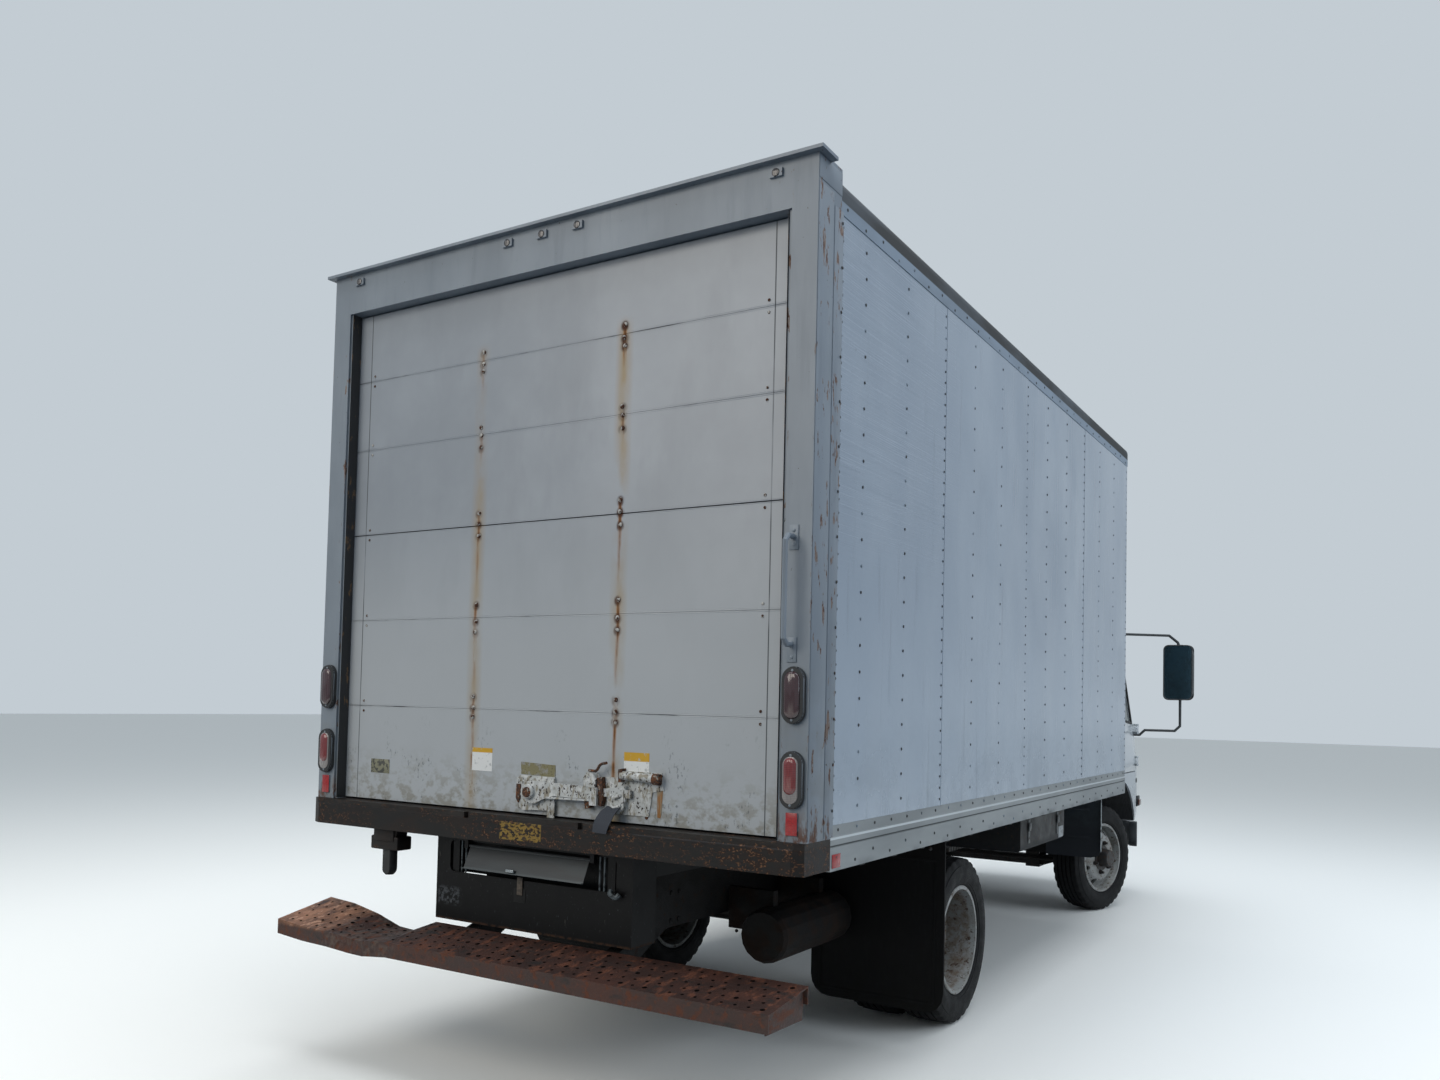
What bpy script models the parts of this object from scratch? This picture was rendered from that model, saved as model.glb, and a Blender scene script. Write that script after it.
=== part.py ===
# A cab-over box truck: ladder frame, two axles, tilting cab and a riveted van body.
# Metres. X is measured forward from the rear face of the van body's rear frame, Y to the left and
# Z up from the ground; the datum empty then moves the whole truck so that its middle is at zero.
# Right-hand pieces are at -Y.

import math

import bmesh
import bpy
from mathutils import Matrix, Vector

for leftover in list(bpy.data.objects):
    bpy.data.objects.remove(leftover)

# Clearances
SEAT_GAP = 0.0003        # between pieces that are fastened to each other
RUN_GAP = 0.007          # between pieces that move past each other
OVERRUN = 0.05           # how far a cutter runs past what it cuts
MERGE = 0.00005          # points nearer than this are one point
FLAT = math.radians(0.1)    # faces that meet flatter than this are one face

# Main sizes
BODY_LENGTH = 4.93       # van body, rear frame face to front wall
BODY_WIDTH = 2.438
BODY_TOP = 3.41          # top of the rear frame
WALL_THICK = 0.045
REAR_AXLE_X = 1.985
FRONT_OVERHANG = 1.100   # front axle to the cab's front
CAB_GAP = 0.10           # between the van body and the cab
CAB_LENGTH = 1.73
CAB_HALF_WIDTH = 1.03
CAB_ROOF_HEIGHT = 2.30
HALF_WIDTH = BODY_WIDTH / 2
CAB_REAR_X = BODY_LENGTH + CAB_GAP
CAB_FRONT_X = CAB_REAR_X + CAB_LENGTH
FRONT_AXLE_X = CAB_FRONT_X - FRONT_OVERHANG

# Van body
SILL_LOW = 0.956
SILL_HIGH = 1.064
SILL_REAR_X = -0.03
POST_WIDTH = 0.101
POST_DEPTH = 0.182
HEADER_LOW = 3.225
HEADER_HIGH = BODY_TOP
DRIP_REACH = 0.028       # the rain flange over the header stands out this far
DRIP_THICK = 0.012
JAMB_LIP = 0.014         # dark strip on the inner edge of each post
JAMB_DEPTH = 0.045
BOTTOM_RAIL_LOW = 0.950
BOTTOM_RAIL_HIGH = 1.108
BOTTOM_RAIL_LEDGE = 1.066
BOTTOM_RAIL_GROOVE = 1.036
GROOVE_WIDTH = 0.008
RAIL_STEP = 0.004        # how far the rails stand proud of the side sheets
TOP_RAIL_LOW = 3.254
TOP_RAIL_HIGH = 3.340
ROOF_HEIGHT = 3.387
ROOF_SHEET = 0.020
ROOF_CROWN = 0.012
COVE_RUN = 0.045         # the dark cove between the top rail and the roof
FRONT_CORNER_RADIUS = 0.060
FLOOR_TOP = SILL_HIGH
FLOOR_THICK = 0.035
CROSS_SILL_DEPTH = 0.099
CROSS_SILL_WIDTH = 0.044
CROSS_SILL_WEB = 0.010
CROSS_SILL_FLANGE = 0.010
CROSS_SILL_PITCH = 0.305
CROSS_SILL_FIRST_X = 0.535
CROSS_SILLS = 15
LONG_SILL_WIDTH = 0.060

# Roll-up door
DOOR_FACE_X = 0.055
DOOR_THICK = 0.026
DOOR_SIDE_GAP = 0.006
DOOR_JOINTS = (1.475, 1.850, 2.230, 2.610, 2.920)
DOOR_GROOVE = 0.007

# Lamps on the rear posts
LAMP_INSET = 0.054       # a lamp's centre line to the body's side
LAMP_Y = HALF_WIDTH - LAMP_INSET
LAMP_HEIGHTS = (1.555, 1.272)
LAMP_WIDTH = 0.084
LAMP_TALL = 0.191
LAMP_PROUD = 0.016
REFLECTOR_Z = 1.1255
REFLECTOR_WIDTH = 0.042
REFLECTOR_TALL = 0.075
REFLECTOR_PROUD = 0.006
MARKER_WIDTH = 0.050
MARKER_TALL = 0.030
MARKER_PROUD = 0.010
MARKER_Z = 3.360
MARKER_INSET = 0.163     # the outer markers to the body's side
MARKER_PITCH = 0.180     # between the three in the middle
MARKERS_Y = (MARKER_INSET - HALF_WIDTH, -MARKER_PITCH, 0.0, MARKER_PITCH, HALF_WIDTH - MARKER_INSET)
HANDLE_INSET = 0.069     # the grab handle to the body's side
HANDLE_Y = HANDLE_INSET - HALF_WIDTH
HANDLE_ENDS_Z = (1.725, 2.090)
HANDLE_REACH = 0.060
HANDLE_RADIUS = 0.010
HANDLE_FOOT = 0.020

# Ladder frame
FRAME_HALF_WIDTH = 0.425
FRAME_TOP = 0.840
FRAME_DEPTH = 0.210
FRAME_FLANGE = 0.065
FRAME_THICK = 0.008
FRAME_REAR_X = 0.245
FRAME_SETBACK = 0.280    # the rails end this far behind the cab's front
FRAME_FRONT_X = CAB_FRONT_X - FRAME_SETBACK
CROSSMEMBER_RADIUS = 0.045
FRONT_CROSSMEMBER = 0.120    # the front crossmember to the rails' ends
CROSSMEMBERS_X = (0.42, 1.20, 2.62, 3.55, 4.20, FRAME_FRONT_X - FRONT_CROSSMEMBER)

# Wheels and tyres, 19.5-inch rims
TYRE_RADIUS = 0.400
TYRE_WIDTH = 0.226
TYRE_TREAD_HALF = 0.092
BEAD_RADIUS = 0.2478     # rim seat
RIM_FLANGE_RADIUS = 0.2605
RIM_HALF_WIDTH = 0.096   # over the flanges
RIM_THICK = 0.009
TURN_STEPS = 24
SHOULDER_DROP = 0.012
HUB_HEIGHT = TYRE_RADIUS * math.cos(math.pi / TURN_STEPS)    # the tyre stands on a flat facet
REAR_OUTER_Y = 0.955
REAR_INNER_Y = 0.693
FRONT_TRACK_HALF = 0.830
KINGPIN_Y = 0.690
STEER_REST = math.radians(-17.0)   # the front wheels stand turned to the right

# Cab
CAB_WALL = 0.045
CAB_FLOOR_Z = 0.985      # lower edge of the cab's sides and doors' sill
CAB_SKIRT_Z = 0.780      # lower edge of the front panel
CAB_STEP_Z = 0.640       # lower edge of the step wells ahead of the wheels
CAB_CORNER_DEPTH = 0.56  # length over which the plan rounds into the front
CAB_CORNER_POWER = 2.4
CAB_CORNER_STEPS = 6
ARCH_RADIUS = 0.590
ARCH_GAP_HALF = 0.46     # half width of the opening over the frame and engine
TUNNEL_Z = 1.150         # engine cover
DOGHOUSE_HALF = 0.330
DOGHOUSE_SETBACK = 0.570     # these four are counted back from the cab's front
NOSE_DEPTH = 0.185
STEP_SETBACK = 0.240
DOOR_SETBACK = 0.560
REAR_PILLAR = 0.270      # cab's rear wall to the door opening
DOGHOUSE_FRONT_X = CAB_FRONT_X - DOGHOUSE_SETBACK
TUNNEL_FRONT_X = CAB_FRONT_X - NOSE_DEPTH
STEP_FRONT_X = CAB_FRONT_X - STEP_SETBACK
DOOR_FRONT_X = CAB_FRONT_X - DOOR_SETBACK
DOOR_REAR_X = CAB_REAR_X + REAR_PILLAR
DOOR_LOW_Z = 1.035
DOOR_HEAD = 0.170        # the roof's top to the door opening
DOOR_HIGH_Z = CAB_ROOF_HEIGHT - DOOR_HEAD
DOOR_SKIN = 0.040
WINDOW_FRAME = 0.070     # pressed frame round each side window
BELT_FRONT_Z = 1.430
BELT_REAR_Z = 1.500
WINDOW_HEAD = 0.080      # the door's top to its glass
WINDOW_TOP_Z = DOOR_HIGH_Z - WINDOW_HEAD
GLASS_THICK = 0.006
GLASS_DEPTH = 0.012      # glass lies this far inside the skin
SCREEN_LOW_Z = 1.480
SCREEN_HEAD = 0.030      # the door's top to the windscreen's
SCREEN_HIGH_Z = DOOR_HIGH_Z - SCREEN_HEAD
SCREEN_PILLAR = 0.170    # the cab's side to the windscreen's lower corner
SCREEN_LEAN = 0.070      # the upper corners stand in by this more
SCREEN_HALF = CAB_HALF_WIDTH - SCREEN_PILLAR
SCREEN_TOP_HALF = SCREEN_HALF - SCREEN_LEAN
BACK_GLASS_LOW_Z = 1.560
BACK_GLASS_HEAD = 0.110  # the door's top to the rear window's
BACK_GLASS_HIGH_Z = DOOR_HIGH_Z - BACK_GLASS_HEAD
BACK_GLASS_HALF = 0.560
TILT_SETBACK = 0.030
TILT_X = TUNNEL_FRONT_X - TILT_SETBACK      # cab tilt pivot
TILT_Z = 0.800
TILT_Y = 0.380
TILT_PIN_RADIUS = 0.022
TILT_EAR = 0.014
CAB_REST_AHEAD = 0.090
CAB_REST_X = CAB_REAR_X + CAB_REST_AHEAD    # rubber-topped rests that carry the rear of the cab
CAB_REST_LONG = 0.070
CAB_REST_Y = 0.392
CAB_REST_WIDE = 0.056

# Points up the cab: height, set-back of the front and of the sides, each a share of the
# cab's height, length and half width.
CAB_SECTION_SHARES = (
    (0.000, 0.012, 0.015),
    (0.060, 0.004, 0.003),
    (0.170, 0.000, 0.000),
    (0.300, 0.016, 0.002),
    (0.420, 0.050, 0.010),
    (0.900, 0.235, 0.070),
    (0.955, 0.270, 0.085),
    (0.985, 0.325, 0.120),
    (1.000, 0.420, 0.200),
)
CAB_LOW_Z = 0.600        # the sections run from here to the roof


parts = bpy.data.collections.new("box_truck")
cutters = bpy.data.collections.new("cutters")
for shelf in (parts, cutters):
    bpy.context.scene.collection.children.link(shelf)


def paint(name, red, green, blue, roughness, metallic=0.0, alpha=1.0):
    """A Principled material."""
    made = bpy.data.materials.new(name)
    made.use_nodes = True
    shader = made.node_tree.nodes["Principled BSDF"]
    shader.inputs["Base Color"].default_value = (red, green, blue, 1.0)
    shader.inputs["Roughness"].default_value = roughness
    shader.inputs["Metallic"].default_value = metallic
    shader.inputs["Alpha"].default_value = alpha
    made.diffuse_color = (red, green, blue, alpha)
    return made


WHITE = paint("white_enamel", 0.72, 0.76, 0.80, 0.35)
CAB_WHITE = paint("cab_white_enamel", 0.78, 0.78, 0.76, 0.30)
PANEL = paint("white_aluminium_sheet", 0.66, 0.71, 0.77, 0.40)
RAIL = paint("aluminium_extrusion", 0.55, 0.57, 0.60, 0.38, 0.8)
DARK_ROOF = paint("dark_roof_edge", 0.06, 0.07, 0.08, 0.55)
RUSTY = paint("rusty_black_steel", 0.07, 0.045, 0.035, 0.80)
RUST = paint("rusted_plate", 0.16, 0.075, 0.045, 0.90)
BLACK = paint("black_chassis_paint", 0.02, 0.02, 0.022, 0.60)
CASTING = paint("cast_iron", 0.06, 0.055, 0.05, 0.70, 0.4)
GREY = paint("grey_painted_steel", 0.16, 0.18, 0.19, 0.55)
RIM = paint("silver_wheel_paint", 0.62, 0.62, 0.60, 0.45, 0.3)
TYRE = paint("tyre_rubber", 0.025, 0.025, 0.026, 0.90)
FLAP = paint("black_rubber_sheet", 0.02, 0.02, 0.02, 0.80)
GLASS = paint("window_glass", 0.10, 0.14, 0.14, 0.05, 0.0, 0.35)
TRIM = paint("grey_vinyl", 0.12, 0.12, 0.13, 0.65)
PLASTIC = paint("black_plastic", 0.025, 0.025, 0.027, 0.50)
WOOD = paint("hardwood_floor", 0.25, 0.15, 0.08, 0.70)


def keep(name, mesh, material=None, shelf=parts):
    """A named object for a mesh."""
    mesh.name = name
    thing = bpy.data.objects.new(name, mesh)
    shelf.objects.link(thing)
    if material:
        mesh.materials.clear()
        mesh.materials.append(material)
    return thing


def finish_mesh(work, outward=True):
    """The mesh of a bmesh, with close points merged and, for one closed skin, faces pointing out."""
    bmesh.ops.remove_doubles(work, verts=work.verts, dist=MERGE)
    if outward:
        bmesh.ops.recalc_face_normals(work, faces=work.faces)
    mesh = bpy.data.meshes.new("shape")
    work.to_mesh(mesh)
    work.free()
    return mesh


def box(low, high):
    """A closed box between two corners."""
    work = bmesh.new()
    low, high = Vector(low), Vector(high)
    size = high - low
    place = Matrix.Translation((low + high) / 2) @ Matrix.Diagonal((*size, 1))
    bmesh.ops.create_cube(work, size=1, matrix=place)
    return finish_mesh(work)


AXES = {
    # The outline's first and second axis and the axis that it is drawn out along
    "X": Matrix(((0, 0, 1), (1, 0, 0), (0, 1, 0))).to_4x4(),
    "Y": Matrix(((1, 0, 0), (0, 0, 1), (0, 1, 0))).to_4x4(),
    "Z": Matrix.Identity(4),
}


def prism(loop, axis, start, end):
    """A flat outline drawn out along an axis."""
    work = bmesh.new()
    face = work.faces.new([work.verts.new((first, second, start)) for first, second in loop])
    drawn = bmesh.ops.extrude_face_region(work, geom=[face])
    top = [item for item in drawn["geom"] if isinstance(item, bmesh.types.BMVert)]
    bmesh.ops.translate(work, vec=(0, 0, end - start), verts=top)
    bmesh.ops.transform(work, matrix=AXES[axis], verts=work.verts)
    return finish_mesh(work)


def from_curve(curve, place=None):
    """The closed mesh of a filled or bevelled curve."""
    drawn = bpy.data.objects.new("drawn", curve)
    bpy.context.scene.collection.objects.link(drawn)
    bpy.context.view_layer.update()
    mesh = bpy.data.meshes.new_from_object(
        drawn.evaluated_get(bpy.context.evaluated_depsgraph_get()))
    bpy.data.objects.remove(drawn)
    work = bmesh.new()
    work.from_mesh(mesh)
    if place:
        bmesh.ops.transform(work, matrix=place, verts=work.verts)
    bmesh.ops.triangulate(work, faces=work.faces)
    return finish_mesh(work)


def tube(points, radius, sides=8, closed=False):
    """A round bar along points."""
    wire = bpy.data.curves.new("wire", "CURVE")
    wire.dimensions = "3D"
    wire.bevel_depth = radius
    wire.bevel_resolution = sides // 2 - 2
    wire.use_fill_caps = not closed
    line = wire.splines.new("POLY")
    line.points.add(len(points) - 1)
    for point, place in zip(line.points, points):
        point.co = (*place, 1)
    line.use_cyclic_u = closed
    return from_curve(wire)


def cylinder(centre, axis, radius, length, sides=16, end_radius=None):
    """A round bar or a cone centred on a point along an axis."""
    work = bmesh.new()
    turn = Vector((0, 0, 1)).rotation_difference(Vector(axis)).to_matrix().to_4x4()
    bmesh.ops.create_cone(
        work, cap_ends=True, segments=sides, radius1=radius,
        radius2=radius if end_radius is None else end_radius, depth=length,
        matrix=Matrix.Translation(centre) @ turn)
    return finish_mesh(work)


def applied(thing):
    """The object's mesh with its modifiers applied; the object goes."""
    bpy.context.view_layer.update()
    mesh = bpy.data.meshes.new_from_object(
        thing.evaluated_get(bpy.context.evaluated_depsgraph_get()))
    bpy.data.objects.remove(thing)
    return mesh


def turned(profile, axis="Y", centre=(0, 0, 0), steps=TURN_STEPS):
    """A closed profile of (radius, distance along the axis) turned about the axis."""
    work = bmesh.new()
    ring = [work.verts.new((radius, 0, along)) for radius, along in profile]
    for one, two in zip(ring, ring[1:] + ring[:1]):
        if one.co.x or two.co.x:
            work.edges.new((one, two))
    mesh = bpy.data.meshes.new("profile")
    work.to_mesh(mesh)
    work.free()
    thing = keep("turned", mesh, None, cutters)
    screw = thing.modifiers.new("turn", "SCREW")
    screw.steps = steps
    screw.render_steps = steps
    screw.use_merge_vertices = True
    screw.merge_threshold = MERGE
    made = applied(thing)
    work = bmesh.new()
    work.from_mesh(made)
    place = Matrix.Translation(centre) @ AXES[axis]
    bmesh.ops.transform(work, matrix=place, verts=work.verts)
    return finish_mesh(work)


def combine(mesh, others, operation):
    """Boolean of a mesh with others in turn."""
    for other in others:
        base = keep("base", mesh, None, cutters)
        tool = keep("tool", other, None, cutters)
        tool.hide_render = True
        tool.display_type = "WIRE"
        step = base.modifiers.new("step", "BOOLEAN")
        step.operation = operation
        step.solver = "EXACT"
        step.object = tool
        mesh = applied(base)
        bpy.data.objects.remove(tool)
        work = bmesh.new()
        work.from_mesh(mesh)
        bmesh.ops.remove_doubles(work, verts=work.verts, dist=MERGE)
        bmesh.ops.dissolve_limit(work, angle_limit=FLAT, verts=work.verts, edges=work.edges)
        bmesh.ops.triangulate(work, faces=work.faces)
        mesh = finish_mesh(work, False)
    return mesh


def fuse(mesh, *others):
    return combine(mesh, others, "UNION")


def cut(mesh, *others):
    return combine(mesh, others, "DIFFERENCE")


def common(mesh, *others):
    return combine(mesh, others, "INTERSECT")


def mirrored(mesh):
    """A copy of a mesh on the other side of the truck."""
    work = bmesh.new()
    work.from_mesh(mesh)
    flip = Matrix.Diagonal((1, -1, 1, 1))
    bmesh.ops.transform(work, matrix=flip, verts=work.verts)
    return finish_mesh(work)


def moved(mesh, place):
    """A copy of a mesh moved by a matrix."""
    work = bmesh.new()
    work.from_mesh(mesh)
    bmesh.ops.transform(work, matrix=place, verts=work.verts)
    return finish_mesh(work)


def arc(centre, radius, first, last, steps):
    """Points of an arc, angles in degrees from the first axis to the second."""
    angles = [math.radians(first + (last - first) * step / steps) for step in range(steps + 1)]
    return [(centre[0] + radius * math.cos(a), centre[1] + radius * math.sin(a)) for a in angles]


def empty(name, place, parent=None, turn=0.0):
    """An empty on a joint's axis."""
    point = bpy.data.objects.new(name, None)
    parts.objects.link(point)
    point.location = place
    point.rotation_euler.z = turn
    if parent:
        point.parent = parent
        point.location = Vector(place) - Vector(parent["at"])
    point["at"] = tuple(place)
    return point


def hang(thing, point):
    """Parent an object that is modelled in the truck's own place to an empty."""
    thing.parent = point
    thing.location = -Vector(point["at"])
    return thing


# Sizes worked out from the ones above
WALL_IN = HALF_WIDTH - WALL_THICK
SHEET_OUT = HALF_WIDTH - RAIL_STEP
FRONT_WALL_X = BODY_LENGTH - WALL_THICK
SIDE_REAR_X = POST_DEPTH + SEAT_GAP
OPENING_HALF = HALF_WIDTH - POST_WIDTH
CROSS_SILL_LOW = FLOOR_TOP - FLOOR_THICK - CROSS_SILL_DEPTH

STEP_REAR_X = -0.200     # rear edge of the step bumper
BUMPER_REACH = 0.030     # how far the front bumper stands out before the cab
BUMPER_FRONT_X = CAB_FRONT_X + BUMPER_REACH
MIDDLE_X = (STEP_REAR_X + BUMPER_FRONT_X) / 2

datum = empty("datum", (MIDDLE_X, 0, 0))
datum.location = (0, 0, 0)


def part(name, mesh, material, point=datum):
    """One named sub-part, hung on the empty of the body that carries it."""
    thing = hang(keep(name, mesh, material), point)
    mesh.shade_smooth()
    mesh.set_sharp_from_angle(angle=math.radians(35))
    return thing


def oval(centre, width, height, steps=10):
    """An oval with straight sides and round ends, in (Y, Z)."""
    radius = width / 2
    lift = height / 2 - radius
    top = arc((centre[0], centre[1] + lift), radius, 0, 180, steps)
    return top + arc((centre[0], centre[1] - lift), radius, 180, 360, steps)


def rectangle(first_low, first_high, second_low, second_high):
    return [(first_low, second_low), (first_high, second_low),
            (first_high, second_high), (first_low, second_high)]


# Van body
def make_floor():
    """Hardwood floor on a comb of cross sills, over two long sills that sit on the frame."""
    front = FRONT_WALL_X - SEAT_GAP
    under = FLOOR_TOP - FLOOR_THICK
    outline = [(SIDE_REAR_X, FLOOR_TOP), (SIDE_REAR_X, under)]
    for index in range(CROSS_SILLS):
        middle = CROSS_SILL_FIRST_X + index * CROSS_SILL_PITCH
        web, wide = CROSS_SILL_WEB, CROSS_SILL_WIDTH
        low = CROSS_SILL_LOW + CROSS_SILL_FLANGE
        outline += [(middle, under), (middle, CROSS_SILL_LOW), (middle + wide, CROSS_SILL_LOW),
                    (middle + wide, low), (middle + web, low), (middle + web, under)]
    outline += [(front, under), (front, FLOOR_TOP)]
    half = WALL_IN - SEAT_GAP
    floor = prism(outline, "Y", -half, half)
    outer = FRAME_HALF_WIDTH - SEAT_GAP
    long_sills = [
        box((FRAME_REAR_X, side * outer - (side > 0) * LONG_SILL_WIDTH, FRAME_TOP + SEAT_GAP),
            (front - OVERRUN, side * outer + (side < 0) * LONG_SILL_WIDTH,
             CROSS_SILL_LOW + CROSS_SILL_FLANGE / 2))
        for side in (-1, 1)]
    part("load_floor", fuse(floor, *long_sills), WOOD)


def make_side(side, name):
    """Riveted side wall and the extruded rail under it."""
    high = TOP_RAIL_LOW - SEAT_GAP
    ends = sorted((side * WALL_IN, side * SHEET_OUT))
    wall = box((SIDE_REAR_X, ends[0], BOTTOM_RAIL_HIGH + SEAT_GAP),
               (FRONT_WALL_X - SEAT_GAP, ends[1], high))
    part("side_wall_" + name, wall, PANEL)
    out, back = HALF_WIDTH, HALF_WIDTH - RAIL_STEP
    outline = [(WALL_IN, BOTTOM_RAIL_LOW), (out, BOTTOM_RAIL_LOW),
               (out, BOTTOM_RAIL_GROOVE - GROOVE_WIDTH / 2), (back, BOTTOM_RAIL_GROOVE - GROOVE_WIDTH / 2),
               (back, BOTTOM_RAIL_GROOVE + GROOVE_WIDTH / 2), (out, BOTTOM_RAIL_GROOVE + GROOVE_WIDTH / 2),
               (out, BOTTOM_RAIL_LEDGE), (back, BOTTOM_RAIL_LEDGE + RAIL_STEP),
               (back, BOTTOM_RAIL_HIGH), (WALL_IN, BOTTOM_RAIL_HIGH)]
    rail = prism([(side * y, z) for y, z in outline], "X", SIDE_REAR_X, FRONT_WALL_X - SEAT_GAP)
    part("bottom_rail_" + name, rail, RAIL)


def roof_outline(inset):
    """Half of the roof's outer section, from the top rail's foot to the crown, in (Y, Z)."""
    out = HALF_WIDTH - inset
    cove = arc((out - COVE_RUN, TOP_RAIL_HIGH), COVE_RUN, 0, 90, 5)
    return [(out, TOP_RAIL_LOW)] + [(y, min(z, ROOF_HEIGHT) - inset) for y, z in cove] + [
        (0, ROOF_HEIGHT + ROOF_CROWN - inset)]


def make_roof():
    """Roof sheet, coves and top rails in one arch."""
    outer = roof_outline(0)
    inner = [(WALL_IN, TOP_RAIL_LOW), (WALL_IN, ROOF_HEIGHT - ROOF_SHEET),
             (0, ROOF_HEIGHT + ROOF_CROWN - ROOF_SHEET)]
    half = outer[:-1] + [outer[-1]]
    loop = half + [(-y, z) for y, z in reversed(half[:-1])]
    loop += [(-y, z) for y, z in inner[:-1]] + [inner[-1]] + list(reversed(inner[:-1]))
    roof = prism(loop, "X", SIDE_REAR_X, FRONT_WALL_X - SEAT_GAP)
    part("roof", roof, DARK_ROOF)


def make_front_wall():
    """Front wall with rounded upper corners and rounded outer edges."""
    half = roof_outline(0)
    upper = half[1:] + [(-y, z) for y, z in reversed(half[1:-1])]
    loop = [(HALF_WIDTH, BOTTOM_RAIL_LOW)] + upper + [(-HALF_WIDTH, BOTTOM_RAIL_LOW)]
    wall = prism(loop, "X", FRONT_WALL_X, BODY_LENGTH)
    corner = FRONT_CORNER_RADIUS
    plan = [(FRONT_WALL_X - OVERRUN, -HALF_WIDTH), (FRONT_WALL_X - OVERRUN, HALF_WIDTH)]
    plan += arc((BODY_LENGTH - corner, HALF_WIDTH - corner), corner, 90, 0, 4)
    plan += arc((BODY_LENGTH - corner, -HALF_WIDTH + corner), corner, 0, -90, 4)
    rounding = prism(plan, "Z", BOTTOM_RAIL_LOW - OVERRUN, BODY_TOP + OVERRUN)
    part("front_wall", common(wall, rounding), PANEL)


def make_rear_frame():
    """Posts and header in one arch, with the rain flange, lamp rims, markers and grab handle."""
    foot = SILL_HIGH + SEAT_GAP
    arch = [(-HALF_WIDTH, foot), (-OPENING_HALF, foot), (-OPENING_HALF, HEADER_LOW),
            (OPENING_HALF, HEADER_LOW), (OPENING_HALF, foot), (HALF_WIDTH, foot),
            (HALF_WIDTH, HEADER_HIGH), (-HALF_WIDTH, HEADER_HIGH)]
    frame = prism(arch, "X", 0, POST_DEPTH)
    extras = [box((-DRIP_REACH, -HALF_WIDTH - DRIP_REACH, HEADER_HIGH - DRIP_THICK),
                  (POST_DEPTH / 2, HALF_WIDTH + DRIP_REACH, HEADER_HIGH))]
    lip = DOOR_FACE_X - SEAT_GAP
    for side in (-1, 1):
        ends = sorted((side * (OPENING_HALF - JAMB_LIP), side * (OPENING_HALF + JAMB_LIP)))
        extras.append(box((lip - JAMB_DEPTH, ends[0], foot), (lip, ends[1], HEADER_LOW + JAMB_LIP)))
        for height in LAMP_HEIGHTS:
            loop = oval((side * LAMP_Y, height), LAMP_WIDTH, LAMP_TALL)
            extras.append(prism(loop, "X", -LAMP_PROUD, LAMP_PROUD))
        extras.append(box(
            (-REFLECTOR_PROUD, side * LAMP_Y - REFLECTOR_WIDTH / 2, REFLECTOR_Z - REFLECTOR_TALL / 2),
            (REFLECTOR_PROUD, side * LAMP_Y + REFLECTOR_WIDTH / 2, REFLECTOR_Z + REFLECTOR_TALL / 2)))
    for place in MARKERS_Y:
        extras.append(box((-MARKER_PROUD, place - MARKER_WIDTH / 2, MARKER_Z - MARKER_TALL / 2),
                          (MARKER_PROUD, place + MARKER_WIDTH / 2, MARKER_Z + MARKER_TALL / 2)))
    low, high = HANDLE_ENDS_Z
    bend = HANDLE_FOOT
    bar = [(HANDLE_RADIUS, HANDLE_Y, low), (bend - HANDLE_REACH, HANDLE_Y, low),
           (-HANDLE_REACH, HANDLE_Y, low + bend), (-HANDLE_REACH, HANDLE_Y, high - bend),
           (bend - HANDLE_REACH, HANDLE_Y, high), (HANDLE_RADIUS, HANDLE_Y, high)]
    extras.append(tube(bar, HANDLE_RADIUS))
    part("rear_frame", fuse(frame, *extras), WHITE)


SILL_CHAMFER = 0.100
SILL_BAND = 0.020
SILL_BAND_STEP = 0.004
SILL_NOTCH = 0.024
SILL_NOTCH_Y = 0.290
SILL_FRONT_X = POST_DEPTH
BRACKET_Y = 0.780
BRACKET_WIDTH = 0.150
BRACKET_TAPER_SHARE = 0.8
BRACKET_DROP = 0.055
BRACKET_DEPTH = 0.060
HOOK_RADIUS = 0.018
HOOK_DROP = 0.140


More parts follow.
